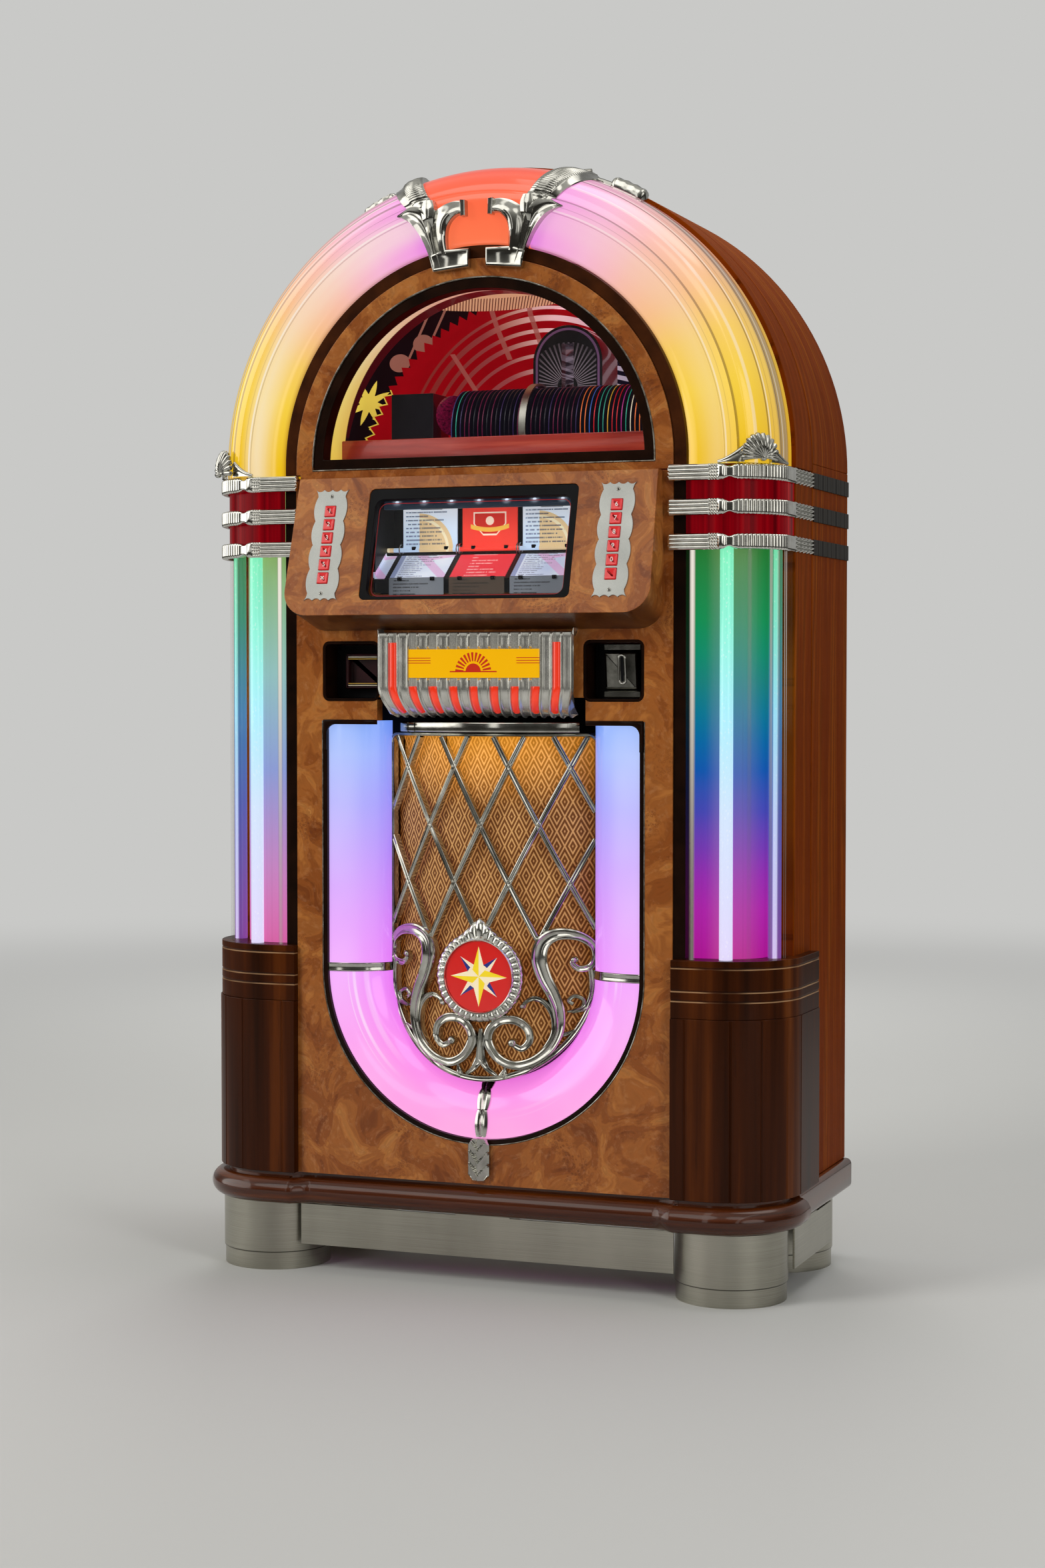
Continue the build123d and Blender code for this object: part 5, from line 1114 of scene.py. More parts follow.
def refined(node, finish, edge=0.0, crease=35.0):
    """A merged copy of a CAD node in a new finish, with sharp edges rounded by `edge` millimetres."""
    source = frame["nodes"][node].data
    mesh = bpy.data.meshes.new(node + "_refined")
    mesh.from_pydata(mesh_points(source), [], [tuple(face.vertices) for face in source.polygons])

    def flatten(form):
        if edge:
            bmesh.ops.dissolve_limit(form, angle_limit=FLAT_BELOW, verts=form.verts, edges=form.edges)

    welded(mesh, flatten)
    piece = show(mesh, node, [finish], True, crease)
    if edge:
        bevel = piece.modifiers.new("edges", "BEVEL")
        bevel.width = edge * MM
        bevel.segments = 2
        bevel.limit_method = "ANGLE"
        bevel.angle_limit = BEVEL_ABOVE
        bevel.harden_normals = True
    return piece


class Form:
    """Patches of one piece in cabinet millimetres, each with the number of its finish."""

    def __init__(self):
        self.points = []
        self.faces = []
        self.kinds = []
        self.count = 0

    def add(self, grid, faces, kind=0):
        """Points and the faces over them, with the number of their finish."""
        grid = np.asarray(grid, float).reshape(-1, 3)
        self.faces += [tuple(int(corner) + self.count for corner in face) for face in faces]
        self.kinds += [kind] * len(faces)
        self.points.append(grid)
        self.count += len(grid)

    def sheet(self, grid, kind=0):
        """Quads over rings of points (rows, around, 3), open at both ends."""
        rows, around = grid.shape[:2]
        index = np.arange(rows * around).reshape(rows, around)
        index = np.concatenate((index, index[:, :1]), axis=1)
        quads = np.stack((index[:-1, :-1], index[:-1, 1:], index[1:, 1:], index[1:, :-1]), -1)
        self.add(grid, quads.reshape(-1, 4), kind)

    def skin(self, rings, kind=0):
        """Closed skin through rings of points, capped at both ends."""
        rings = np.stack(rings)
        self.sheet(rings, kind)
        for end in (rings[0], rings[-1]):
            self.add(end, [range(len(end))], kind)

    def both(self, rings):
        """The skin and its mirror image across the middle plane."""
        rings = np.stack(rings)
        self.skin(rings)
        self.skin(rings * (-1, 1, 1))

    def block(self, half_x, half_y, radius, centre, levels, to_space=None, kind=0, count=3):
        """A slab with round corners, from levels of (inset, depth), in front view unless placed."""
        self.skin(stacked(round_box(half_x, half_y, radius, centre, count), levels, to_space or facing), kind)

    def make(self, name, node, *finishes, replaces=False, crease=35.0):
        """Welds the patches, turns their faces outwards and shows them."""
        mesh = bpy.data.meshes.new(name)
        mesh.from_pydata(placed(np.concatenate(self.points)), [], self.faces)
        mesh.polygons.foreach_set("material_index", self.kinds)
        welded(mesh, lambda form: bmesh.ops.recalc_face_normals(form, faces=form.faces))
        show(mesh, node, finishes, replaces, crease)

    def replace(self, name, node, *finishes, crease=40.0):
        """Makes the piece that stands in for a CAD node."""
        self.make(name, node, *finishes, replaces=True, crease=crease)


# ---- curves and outlines -------------------------------------------------------------------------

def points(x, y, z):
    """Points from their three parts, broadcast to one shape."""
    return np.stack(np.broadcast_arrays(x, y, z), -1)


def facing(x, z, y):
    """Points drawn in front view, at depth y."""
    return points(x, y, z)


def on_slope(x, down, out):
    """Points drawn on the selector's face: x, distance down the slope and height out of the face."""
    down, out = np.asarray(down), np.asarray(out)
    return points(x, PANEL_TOP_Y - down * math.sin(PANEL_TILT) - out * math.cos(PANEL_TILT),
                  SPLIT_Z - down * math.cos(PANEL_TILT) + out * math.sin(PANEL_TILT))


def round_arch(r, y, angle):
    """Points at a distance from the arch's axis, by the angle from upright."""
    return points(r * np.sin(angle), y, ARCH_Z + r * np.cos(angle))


def unit(vectors):
    """The vectors at a length of 1."""
    return vectors / np.maximum(np.linalg.norm(vectors, axis=-1, keepdims=True), 1e-9)


def right_of(line):
    """Unit directions to the right of a line in a plane, seen along it."""
    ahead = np.gradient(line, axis=0)
    return unit(np.stack((ahead[:, 1], -ahead[:, 0]), -1))


def spread(values, count):
    """Evenly spaced values, read at `count` places along them."""
    return np.interp(np.linspace(0, 1, count), np.linspace(0, 1, len(values)), values)


def smooth(knots, count):
    """Catmull-Rom curve through the knots, `count` samples spread evenly over its spans."""
    knots = np.asarray(knots, float)
    ends = np.concatenate((2 * knots[:1] - knots[1:2], knots, 2 * knots[-1:] - knots[-2:-1]))
    t = np.linspace(0, len(knots) - 1, count)
    span = np.minimum(t.astype(int), len(knots) - 2)
    u = (t - span)[:, None]
    a, b, c, d = (ends[span + k] for k in range(4))
    square = 2 * a - 5 * b + 4 * c - d
    cube = 3 * b - a - 3 * c + d
    return 0.5 * (2 * b + (c - a) * u + square * u ** 2 + cube * u ** 3)


def arc(radius, start, end, count, centre=(0.0, 0.0)):
    """Points of an arc in a plane, by degrees from its first axis."""
    turn = np.radians(np.linspace(start, end, count))
    return np.stack((centre[0] + radius * np.cos(turn), centre[1] + radius * np.sin(turn)), -1)


def closed(outline):
    """An outline that ends on its first point."""
    return np.concatenate((outline, outline[:1]))


def with_mirror(half):
    """A line (x, z) that ends on the middle plane, and its mirror image back from there."""
    return np.concatenate((half, (half * (-1, 1))[-2::-1]))


def round_box(half_x, half_y, radius, centre=(0.0, 0.0), count=6):
    """Closed outline of a rectangle with round corners."""
    middles = np.array(((1, 1), (-1, 1), (-1, -1), (1, -1))) * (half_x - radius, half_y - radius) + centre
    return np.concatenate([arc(radius, 90 * i, 90 * i + 90, count, spot) for i, spot in enumerate(middles)])


ROUND = arc(1.0, 0, 330, 12)
DOME = arc(1.0, 0, 180, 11)
CHANNEL = np.array(((1, 0), (1, 0.55), (0.86, 0.92), (0.66, 1), (0.42, 0.78), (0, 0.68),
                    (-0.42, 0.78), (-0.66, 1), (-0.86, 0.92), (-1, 0.55), (-1, 0)), float)
KEEL = np.array(((1, 0), (1, 0.45), (0.55, 0.7), (0.3, 0.55), (0, 1),
                 (-0.3, 0.55), (-0.55, 0.7), (-1, 0.45), (-1, 0)), float)


def swept(path, section, width, height, up=(0, -1, 0)):
    """Rings of a section of (side, rise) along a path: each point stands `width` times its side across
    the path and `height` times its rise towards `up`."""
    path = np.asarray(path, float)
    ahead = np.gradient(path, axis=0)
    side = unit(np.cross(ahead, np.broadcast_to(up, path.shape)))
    rise = unit(np.cross(side, ahead))
    width, height = (np.broadcast_to(size, len(path))[:, None, None] for size in (width, height))
    return (path[:, None] + side[:, None] * section[None, :, :1] * width
            + rise[:, None] * section[None, :, 1:] * height)


def inset(outline, amount):
    """A closed outline in a plane, each point moved inwards along the mean of its edges' normals."""
    ahead = np.roll(outline, -1, 0) - np.roll(outline, 1, 0)
    x, y = outline.T
    around = np.sum(x * np.roll(y, -1) - np.roll(x, -1) * y)
    return outline + unit(np.stack((-ahead[:, 1], ahead[:, 0]), -1)) * amount * np.sign(around)


def stacked(outline, levels, to_space):
    """Rings of a closed outline at levels of (inset, depth), placed by to_space(x, y, depth)."""
    return [to_space(*inset(outline, amount).T, depth) for amount, depth in levels]


def cut_out(outlines, thick, edge, text="", size=1.0):
    """Points and faces of a flat curve, or of a sign in plain type, filled between its outlines: x and y
    in its plane, z from 0 to `thick`, with edges rounded by `edge`."""
    curve = bpy.data.curves.new("cut_out", "FONT" if text else "CURVE")
    if text:
        curve.body = text
        curve.size = size
        curve.align_x = "CENTER"
        curve.align_y = "CENTER"
    else:
        curve.dimensions = "2D"
        for outline in outlines:
            spline = curve.splines.new("POLY")
            spline.points.add(len(outline) - 1)
            spline.points.foreach_set("co", np.pad(outline, ((0, 0), (0, 2))).ravel())
            spline.use_cyclic_u = True
    curve.fill_mode = "BOTH"
    curve.offset = -edge
    curve.extrude = thick / 2 - edge
    curve.bevel_depth = edge
    curve.bevel_resolution = 1
    holder = bpy.data.objects.new("cut_out", curve)
    mesh = bpy.data.meshes.new_from_object(holder)
    corners = mesh_points(mesh) + (0, 0, thick / 2)
    faces = [tuple(face.vertices) for face in mesh.polygons]
    bpy.data.objects.remove(holder)
    bpy.data.curves.remove(curve)
    bpy.data.meshes.remove(mesh)
    return corners, faces


def bowed(line, lift=0.0):
    """Front-view points (x, z) laid on the grille's bow, `lift` in front of it."""
    x, z = np.asarray(line, float).T
    return points(x, BOW_DEPTH * (x / BOW_HALF) ** 2 - lift, z)


def bow_front(path):
    """Direction that faces out of the bow at each point."""
    return points(2 * BOW_DEPTH * path[:, 0] / BOW_HALF ** 2, -1.0, 0.0)


# ---- lid -----------------------------------------------------------------------------------------

def rolled_edge(grow):
    """(radius, y) round the arch's outer edge, a quarter ellipse `grow` outside the plastics."""
    turn = np.radians(np.linspace(90.0, 0.0, 16))
    wide = PLASTIC_OUTER - PLASTIC_STEP + grow
    deep = COVER_RADIUS - STEP_Y + grow
    return np.stack((PLASTIC_STEP + wide * np.cos(turn), COVER_RADIUS - deep * np.sin(turn)), -1)


def arch_rings(section, start, end, leg_low=None, steps=56):
    """Rings of a section of (radius, y): up the leg from leg_low, then round the arch in degrees."""
    r, y = np.asarray(section, float).T
    rings = round_arch(r, y, np.radians(90.0 - np.linspace(start, end, steps))[:, None])
    if leg_low is not None:
        rings = np.concatenate((points(r, y, np.linspace(leg_low, ARCH_Z, 3)[:-1, None]), rings))
    return rings


def plastic_skin(face):
    """Closed section (radius, y) of a lit plastic: inner flange, the given face and the rolled edge."""
    wall = 3.0
    flange = ((PLASTIC_INNER + wall, PLASTIC_BACK), (PLASTIC_INNER, PLASTIC_BACK), (PLASTIC_INNER, 8.0),
              (PLASTIC_INNER + 1.2, 4.2), (PLASTIC_INNER + 4.5, 2.6))
    tail = ((PLASTIC_OUTER, PLASTIC_BACK), (PLASTIC_OUTER - wall, PLASTIC_BACK))
    step = ((PLASTIC_STEP - 2, 6.5), (PLASTIC_INNER + wall, 10.0))
    return np.concatenate((flange, face, rolled_edge(0), tail, rolled_edge(-wall)[::-1], step))


def lid_plastics():
    """Lit plastics: the arch halves, whose face has a fine groove and a step, and the smooth crown."""
    ridged = ((312.0, 1.4), (330.0, 0.0), (341.6, -0.9), (342.4, -0.2), (343.2, -1.0), (352.0, -0.9),
              (360.2, -0.7), (361.0, 0.3), (361.6, 2.6))
    form = Form()
    form.both(arch_rings(plastic_skin(ridged), 0.0, 90.0 - CROWN_ANGLE, BAND_TOP + 1.0))
    form.replace("arch_lights", "arch_plastics", arch_glow(), crease=30.0)
    plain = ((312.0, 1.4), (330.0, 0.0), (346.0, -0.6), (356.0, 0.4), (360.0, 1.8))
    form = Form()
    form.skin(arch_rings(plastic_skin(plain), 90.2 - CROWN_ANGLE, 89.8 + CROWN_ANGLE, steps=24))
    form.replace("crown_light", "crown_plastic", crown_glow(), crease=30.0)


def crest_rings():
    """Rings across the crest along its run over the arch's edge: its ribbed top rises and falls as the
    sine of the run, and a smooth flange hangs on its outer side."""
    run = smooth(np.concatenate((((338.0, -1.4), (346.0, -1.4), (354.0, -1.2)), rolled_edge(0.4),
                                 ((PLASTIC_OUTER + 0.4, 97.0),))), 230)
    normal = right_of(run)
    t = np.linspace(0, 1, len(run))
    grow = np.minimum(1.0, 0.45 + t * 4.0)
    ribs = 0.5 + 0.5 * np.sin(t * math.tau * 34)
    left = 10.2 + 5.3 * t ** 0.8
    ribbed = 4.0 + 0.4 * np.sin(t * math.pi)
    across = ((0.0, 0.0, 0.0), (0.0, 6.5, 0.0), (0.1, 7.6, 0.5), (0.3, 8.2, 1.1), (0.7, 8.0, 1.1),
              (0.92, 6.6, 0.5), (1.0, 5.2, 0.0), (1.12, 3.4, 0.0), (1.3, 2.2, 0.0), (1.42, 1.8, 0.0),
              (1.44, 0.0, 0.0))
    rings = []
    for share, height, rib in across:
        r, y = (run + normal * ((height + rib * ribs * 0.9) * grow)[:, None]).T
        rings.append(round_arch(r, y, np.radians(left + ribbed * share)))
    return np.stack(rings, axis=1)


def lofted(form, left, right, profile, y0, height, count=44):
    """Closed bar between two front-view curves, and its mirror image: the profile's shares run from the
    left curve to the right one, and its rises, times the height along the bar, stand in front of y0."""
    share, rise = np.asarray(profile, float).T
    share = share[:, None]
    flat = smooth(left, count)[:, None] * (1 - share) + smooth(right, count)[:, None] * share
    form.both(facing(flat[..., 0], flat[..., 1], y0 - spread(height, count)[:, None] * rise))


def crown_castings(form):
    """Crown pair: a bevelled foot, a round stem that curls into a hook, a hollow leaf beside it, the
    ribbed crest over the arch's edge, and the bar that runs back from it to a fluted knob."""
    foot = np.array(((12, 1378), (63, 1373), (66, 1385), (68, 1396), (50, 1403), (12, 1403)), float)
    form.both(stacked(foot, ((0, -0.6), (0, -7.6), (1.2, -9.8), (3.0, -10.4), (5.4, -9.4)), facing))
    lofted(form, ((43, 1398), (44.6, 1412), (44, 1427), (40.5, 1438), (33, 1446), (26, 1448.5), (19, 1447)),
           ((60, 1392), (65, 1414), (68, 1436), (64, 1452), (51, 1462), (35, 1467), (19, 1466.5)),
           ((0, 0), (0, 0.5), (0.06, 0.8), (0.2, 1.0), (0.42, 0.98), (0.66, 0.72), (0.86, 0.5), (1, 0.42),
            (1, 0)), -0.8, (9.5, 12.0, 13.0, 13.0, 12.0, 11.5))
    lofted(form, ((52, 1379), (60, 1404), (65, 1426), (69, 1444), (80, 1459), (98, 1462.5), (119, 1453)),
           ((64, 1374), (69.5, 1395), (77.5, 1414), (87, 1429), (98, 1441), (110, 1448), (119.4, 1451)),
           ((0, 0), (0, 0.78), (0.1, 0.9), (0.26, 0.66), (0.5, 0.5), (0.74, 0.6), (0.9, 0.86), (0.97, 0.92),
            (1, 0.7), (1, 0)), -0.8, (9.5, 12.5, 13.5, 13.0, 9.0, 3.0))
    lofted(form, ((66, 1430), (61, 1447), (60, 1460), (64, 1470)),
           ((74, 1424), (80, 1442), (83, 1456), (80, 1470)),
           ((0, 0), (0.1, 0.8), (0.35, 1.0), (0.65, 1.0), (0.9, 0.8), (1, 0)), -1.4,
           (4.0, 12.0, 11.0, 8.0), 20)
    tip = np.array(((16.0, 1446), (22.5, 1445.4), (24, 1467.6), (16.6, 1467)), float)
    form.both(stacked(tip, ((0, -1.4), (0, -12.6), (1.4, -14.0)), facing))
    form.both(crest_rings())
    seat = PLASTIC_OUTER + 0.4
    bar = np.array(((0.0, 84.0), (4.0, 84.5), (5.2, 87.0), (5.2, 93.0), (4.0, 95.5), (0.0, 96.0))) + (seat, 0)
    form.both(arch_rings(bar, 66.0, 74.0, steps=8))
    turn = np.linspace(-1, 1, 25)[:, None]
    swell = (1 - turn ** 8) ** 0.5 * 0.94 + 0.06
    flute = 1 - 0.07 * (0.5 + 0.5 * np.cos(turn * math.pi * 4))
    r, y = np.array(((0.0, -11.0), (9.0, -11.0), (13.5, -8.0), (15.0, 0.0), (13.5, 8.0), (9.0, 11.0),
                     (0.0, 11.0))).T
    form.both(round_arch(seat + r * swell * flute, 91.0 + y * swell, np.radians(26.4 + 3.9 * turn)))


def band_path(s):
    """Plan position and outward direction at `s` along a band: flat tip, round corner, straight side."""
    s = np.asarray(s, float)
    turn = np.clip((s - BAND_FLAT) / BAND_CORNER, 0, math.pi / 2)
    straight = np.maximum(0, s - BAND_FLAT - BAND_CORNER * math.pi / 2)
    x = BAND_TIP_X + np.minimum(s, BAND_FLAT) + BAND_CORNER * np.sin(turn)
    y = BAND_FRONT_Y + BAND_CORNER * (1 - np.cos(turn)) + straight
    return np.stack((x, y), -1), np.stack((np.sin(turn), -np.cos(turn)), -1)


def corner_shells(form):
    """Scallop shells over the bands: 12 round ribs fan out from a hub low on the outer side and bulge
    forward by the sine of their run, and two arms run down to the band."""
    spot, out = band_path(SHELL_S)

    def stand(across, up, proud):
        proud = proud - 7.0
        return points(spot[0] - out[1] * across + out[0] * proud, spot[1] + out[0] * across + out[1] * proud,
                      BAND_TOP + 1.6 + up)

    hub = np.array((6.0, 6.0))
    t = np.linspace(0.0, 1.0, 16)
    for turn in np.radians(np.linspace(188, -8, 12)):
        rim = np.array((-0.5 + 25.0 * math.cos(turn), 9.0 + 28.5 * max(math.sin(turn), -0.15)))
        flat = hub + (rim - hub) * (t ** 1.1)[:, None]
        flat[:, 0] -= 4.0 * np.sin(t * math.pi) * max(0.0, -math.cos(turn))
        path = stand(flat[:, 0], flat[:, 1].clip(0.5), 5.5 + 8.0 * np.sin((t * 0.86 + 0.1) * math.pi) ** 0.8)
        thick = 1.1 + 2.9 * t ** 0.8
        thick[-1] *= 0.45
        form.both(swept(path, ROUND, thick, thick * 1.15, (*out, 0)))
    form.both([stand(*(hub + arc(r, 0, 350, 20)).T, proud)
               for r, proud in ((4.5, 3.0), (4.5, 9.0), (3.2, 11.4), (0.8, 12.6))])
    t = np.linspace(0, 1, 40)
    for start, end in ((-20, -56), (20, 58)):
        place, outward = band_path(np.linspace(SHELL_S + start, SHELL_S + end, 40))
        foot = place - outward * 3.4
        rise = 17.0 * (1 - t) ** 1.5
        thin = 1 - 0.5 * t
        form.both(swept(points(*foot.T, BAND_TOP + 2.6 + rise), ROUND, 3.4 * thin, 4.4 * thin, (0, 0, 1)))
        form.both(swept(points(*foot.T, BAND_TOP + 1.8), DOME, 2.6, 1.0 + rise, (0, 0, 1)))


def lid_chrome():
    """Chrome castings of the lid with the moving halves of its hinges."""
    form = Form()
    crown_castings(form)
    corner_shells(form)
    barrel = arc(4.0, 0, 345, 24, (LID_AXIS_Y, TOP_Z - 4.0))
    for x in HINGE_XS:
        form.skin([points(x + dx, *barrel.T) for dx in (-10.5, 10.5)])
    form.replace("lid_chrome", "lid_castings", cast_chrome())


def window_trim():
    """Steel beads round the window and round the U, each a half-round wire laid on the burl, and the
    black corners of the U's rim."""
    bead_y, rim = 0.4, 14.6
    ring = WINDOW_RADIUS + rim
    foot = math.degrees(math.asin((WINDOW_LOW - rim - ARCH_Z) / ring))
    outline = arc(ring, foot, 180 - foot, 96, (0, ARCH_Z))
    floor_x = np.linspace(outline[-1, 0], outline[0, 0], 12)[1:-1]
    loop = closed(np.concatenate((outline, np.stack((floor_x, np.full(10, outline[0, 1])), -1))))
    form = Form()
    form.skin(swept(facing(*loop.T, bead_y), ROUND, settings().bead_radius, 1.5))
    form.make("window_bead", "window_board", old_steel())
    bead = RIM_OUTER + 0.7
    right = np.stack((np.full(7, bead), np.linspace(U_TOP, U_Z, 8)[:-1]), -1)
    line = np.concatenate((right, arc(bead, 0, -180, 80, (0, U_Z)), (right * (-1, 1))[::-1]))
    form = Form()
    form.skin(swept(facing(*line.T, bead_y), ROUND, 1.0, 1.2))
    form.make("u_bead", "front_panel", old_steel())
    edge, inner, top = RIM_OUTER - 1.0, U_INNER + 2.0, U_TOP + 1.5
    bend = arc(13.0, 90, 0, 9, (edge - 18.0, U_TOP - 18.0))
    corner = np.concatenate((((edge, U_TOP - 40.0), (edge, top), (inner, top), (inner, U_TOP - 5.0)),
                             bend, ((edge - 5.0, U_TOP - 40.0),)))
    corners, faces = cut_out([corner], 4.0, 0.6)
    x, z, depth = corners.T
    form = Form()
    for side in (-1, 1):
        form.add(facing(side * x, z, 2.0 - depth), faces)
    form.make("u_corners", "panel_mouldings", black_lacquer())


# ---- columns -------------------------------------------------------------------------------------

def standing(path, out, reach, z):
    """Points that stand `reach` out from a path in plan."""
    return points(path[:, :1] + out[:, :1] * reach, path[:, 1:] + out[:, 1:] * reach, z)


def pulse(s, low, high, soft=1.5):
    """1 between low and high, easing to 0 over `soft`."""
    return np.clip((s - low) / soft + 0.5, 0, 1) * np.clip((high - s) / soft + 0.5, 0, 1)


def upright_ribs(s):
    """Ribs round a band's corner, 0 in the hollows and 1 on the crests."""
    return np.abs(np.sin((s - 92) * math.pi / 6.1))


def beading(s, v, pitch, rows):
    """Rows of beads along s and across v, 0 between them and 1 on top."""
    return np.abs(np.sin(s * math.pi / pitch) * np.sin((v + 1) * math.pi * rows))


def band_relief(s, v):
    """Relief of a band, 0 to 1: long ribs on the tip, beads, a smooth ridge, a waist, upright ribs round
    the corner, a plain end and another field of beads. v runs from -1 to 1 across the band."""
    long_ribs = pulse(s, 1, 56) * np.abs(np.sin((v + 1) * math.pi * 2)) ** 0.6 * 0.75
    beads = pulse(s, 57, 68) * beading(s - 57, v, 3.6, 2.5) * 0.9
    ridge = pulse(s, 69, 76, 3.0) * np.sqrt(np.maximum(0, 1 - v ** 2 * 0.8))
    waist = pulse(s, 76.5, 92) * (0.08 + 0.7 * ((s - 84.0) / 8.0) ** 2)
    upright = pulse(s, 92, 178) * (0.35 + 0.65 * upright_ribs(s) ** 0.7)
    plain = pulse(s, 178, 214) * 0.75
    far_beads = pulse(s, 219, 281) * beading(s - 219, v, 15.5, 2) * 0.9
    return long_ribs + beads + ridge + waist + upright + plain + far_beads + pulse(s, 283, 309) * 0.6


def column_chrome():
    """Bands round the columns: each ring runs over the relief and back along the cover behind it. Behind
    each, a strip of beads runs along the side to the slats."""
    length = BAND_FLAT + BAND_CORNER * (math.pi / 2 - 1) + SEAM_Y - 0.4 - BAND_FRONT_Y
    s = np.linspace(0, length, 440)
    v = np.linspace(-1, 1, 25)
    place, out = band_path(s)
    corner = np.clip((s - BAND_FLAT) / BAND_CORNER, 0, math.pi / 2)
    flat, side = s < BAND_FLAT, corner >= math.pi / 2
    behind = 85.8
    inner_x = np.where(flat, place[:, 0],
                       np.where(side, CABINET_HALF + 0.4, COVER_X + behind * np.sin(corner)))
    inner_y = np.where(flat, np.interp(place[:, 0], (320, 331), (-0.4, -2.2)),
                       np.where(side, place[:, 1], COVER_RADIUS - behind * np.cos(corner)))
    half = 10.5 - 4.2 * np.exp(-((s - 84) / 6.5) ** 2) - 0.9 * pulse(s, 92, 178) * (1 - upright_ribs(s))
    half = half * np.sqrt(np.clip(s / 2.0 + 0.45, 0, 1))
    rounded = np.abs(v) ** 10
    proud = 2.4 * (band_relief(s[:, None], v) - 1.0) * (1 - rounded) - 3.0 * rounded
    run = np.linspace(SEAM_Y - 0.4, SLATS_Y - 0.6, 80)[:, None]
    bead = beading(np.linspace(0, 5, 80)[:, None], v, 1, 2) * (1 - rounded)
    form = Form()
    for i in range(BAND_COUNT):
        z = BAND_TOP - 10.5 - BAND_PITCH * i
        face = standing(place, out, proud, z + half[:, None] * v)
        backs = [points(inner_x, inner_y, z + edge * half)[:, None] for edge in (0.96, -0.96)]
        form.both(np.concatenate((face, *backs), axis=1))
        front = points(CABINET_HALF + 0.6 + 4.2 * bead, run, z + 10.3 * v)
        rear = points(CABINET_HALF + 0.2, run, z + 10.3 * np.array((1.0, -1.0)))
        form.both(np.concatenate((front, rear), axis=1))
    form.replace("column_chrome", "column_bands", band_chrome())


def base_bullnose():
    """Base moulding: a half-round nose and the recess above it, carried round the front and both corners,
    and a plain bar along each side."""
    side_x, corner_y, radius = CABINET_HALF + 25.1, -30.0, 112.0
    ease = np.linspace(0, 1, 9)
    front = np.stack((FRONT_HALF + 6 - 30 * (1 - ease), -14.0 - 16.0 * (3 * ease ** 2 - 2 * ease ** 3)), -1)
    bend = arc(radius, -90, 0, 25, (side_x - radius, corner_y + radius))
    run = np.stack((np.full(6, side_x), np.linspace(corner_y + radius, SEAM_Y, 7)[1:]), -1)
    half_path = np.concatenate((((0.0, -14.0), (80.0, -14.0), (160.0, -14.0)), front, bend, run))
    path = np.concatenate(((half_path * (-1, 1))[:0:-1], half_path))
    out = right_of(path)
    nose = MOULDING_HEIGHT / 2
    recess = ((-24.0, MOULDING_LOW + MOULDING_HEIGHT), (-24.0, BODY_BOTTOM), (-56.0, BODY_BOTTOM),
              (-56.0, MOULDING_LOW))
    reach, z = np.concatenate((arc(nose, -90, 90, 17, (-nose, MOULDING_LOW + nose)), recess)).T
    form = Form()
    form.skin(standing(path, out, reach, z))
    bar_x, inner_x = CABINET_HALF + 2, 392.5
    x, z = np.concatenate((((inner_x, MOULDING_LOW), (bar_x, MOULDING_LOW)),
                           arc(8.0, -90, 0, 5, (bar_x, MOULDING_LOW + 8)),
                           arc(8.0, 0, 90, 5, (bar_x, BODY_BOTTOM - 8.4)), ((inner_x, BODY_BOTTOM - 0.4),))).T
    form.both([points(x, y, z) for y in (SEAM_Y + 0.4, BACK_Y)])
    form.replace("base_bullnose", "base_mouldings", moulding_lacquer())


# ---- lower front ---------------------------------------------------------------------------------

def bow_bar(line, width, height, section=CHANNEL, back=8.0):
    """Rings of a bar laid on the bow along a front-view line, from `back` behind its surface."""
    path = bowed(line, -back)
    return swept(path, section, width, height, bow_front(path))


def scroll(form, count, line, width, height):
    """A scroll on the bow, and its mirror image: front-view knots, with widths and heights along them."""
    form.both(bow_bar(smooth(line, count), spread(width, count) * 1.4, spread(height, count)))


def ball(form, centre, radius, flat):
    """A knob on the bow and its mirror image."""
    x, y, z = bowed([centre], -4.0)[0]
    turned = np.radians(np.linspace(0, 88, 7))
    levels = [(radius, 5.0)] + [(radius * math.cos(a), -radius * flat * math.sin(a)) for a in turned]
    form.both([points(x + r * ROUND[:, 0], y + back, z + r * ROUND[:, 1]) for r, back in levels])


def lattice(form):
    """Crossed bars laid on the bow, inside a strip that rounds the top corners."""
    z = np.linspace(LATTICE_LOW, LATTICE_TOP - 5.0, 120)
    for k in range(-4, 5):
        for lean in (-1, 1):
            x = k * LATTICE_PITCH + lean * (z - LATTICE_Z) * LATTICE_PITCH / LATTICE_RISE
            keep = np.abs(x) < BOW_HALF - 3.0
            if keep.sum() > 4:
                form.skin(bow_bar(np.stack((x[keep], z[keep]), -1), settings().lattice_half, 8.6))
    side, high = BOW_HALF - 2.5, LATTICE_TOP - 14.5
    rise = np.stack((np.full(10, side), np.linspace(U_Z - 6, high, 11)[:-1]), -1)
    across = np.stack((np.linspace(side - 12.0, 0, 14)[1:], np.full(13, LATTICE_TOP - 2.5)), -1)
    half = np.concatenate((rise, arc(12.0, 0, 90, 8, (side - 12.0, high)), across))
    form.skin(bow_bar(with_mirror(half), 2.6, 10.5, back=9.0))


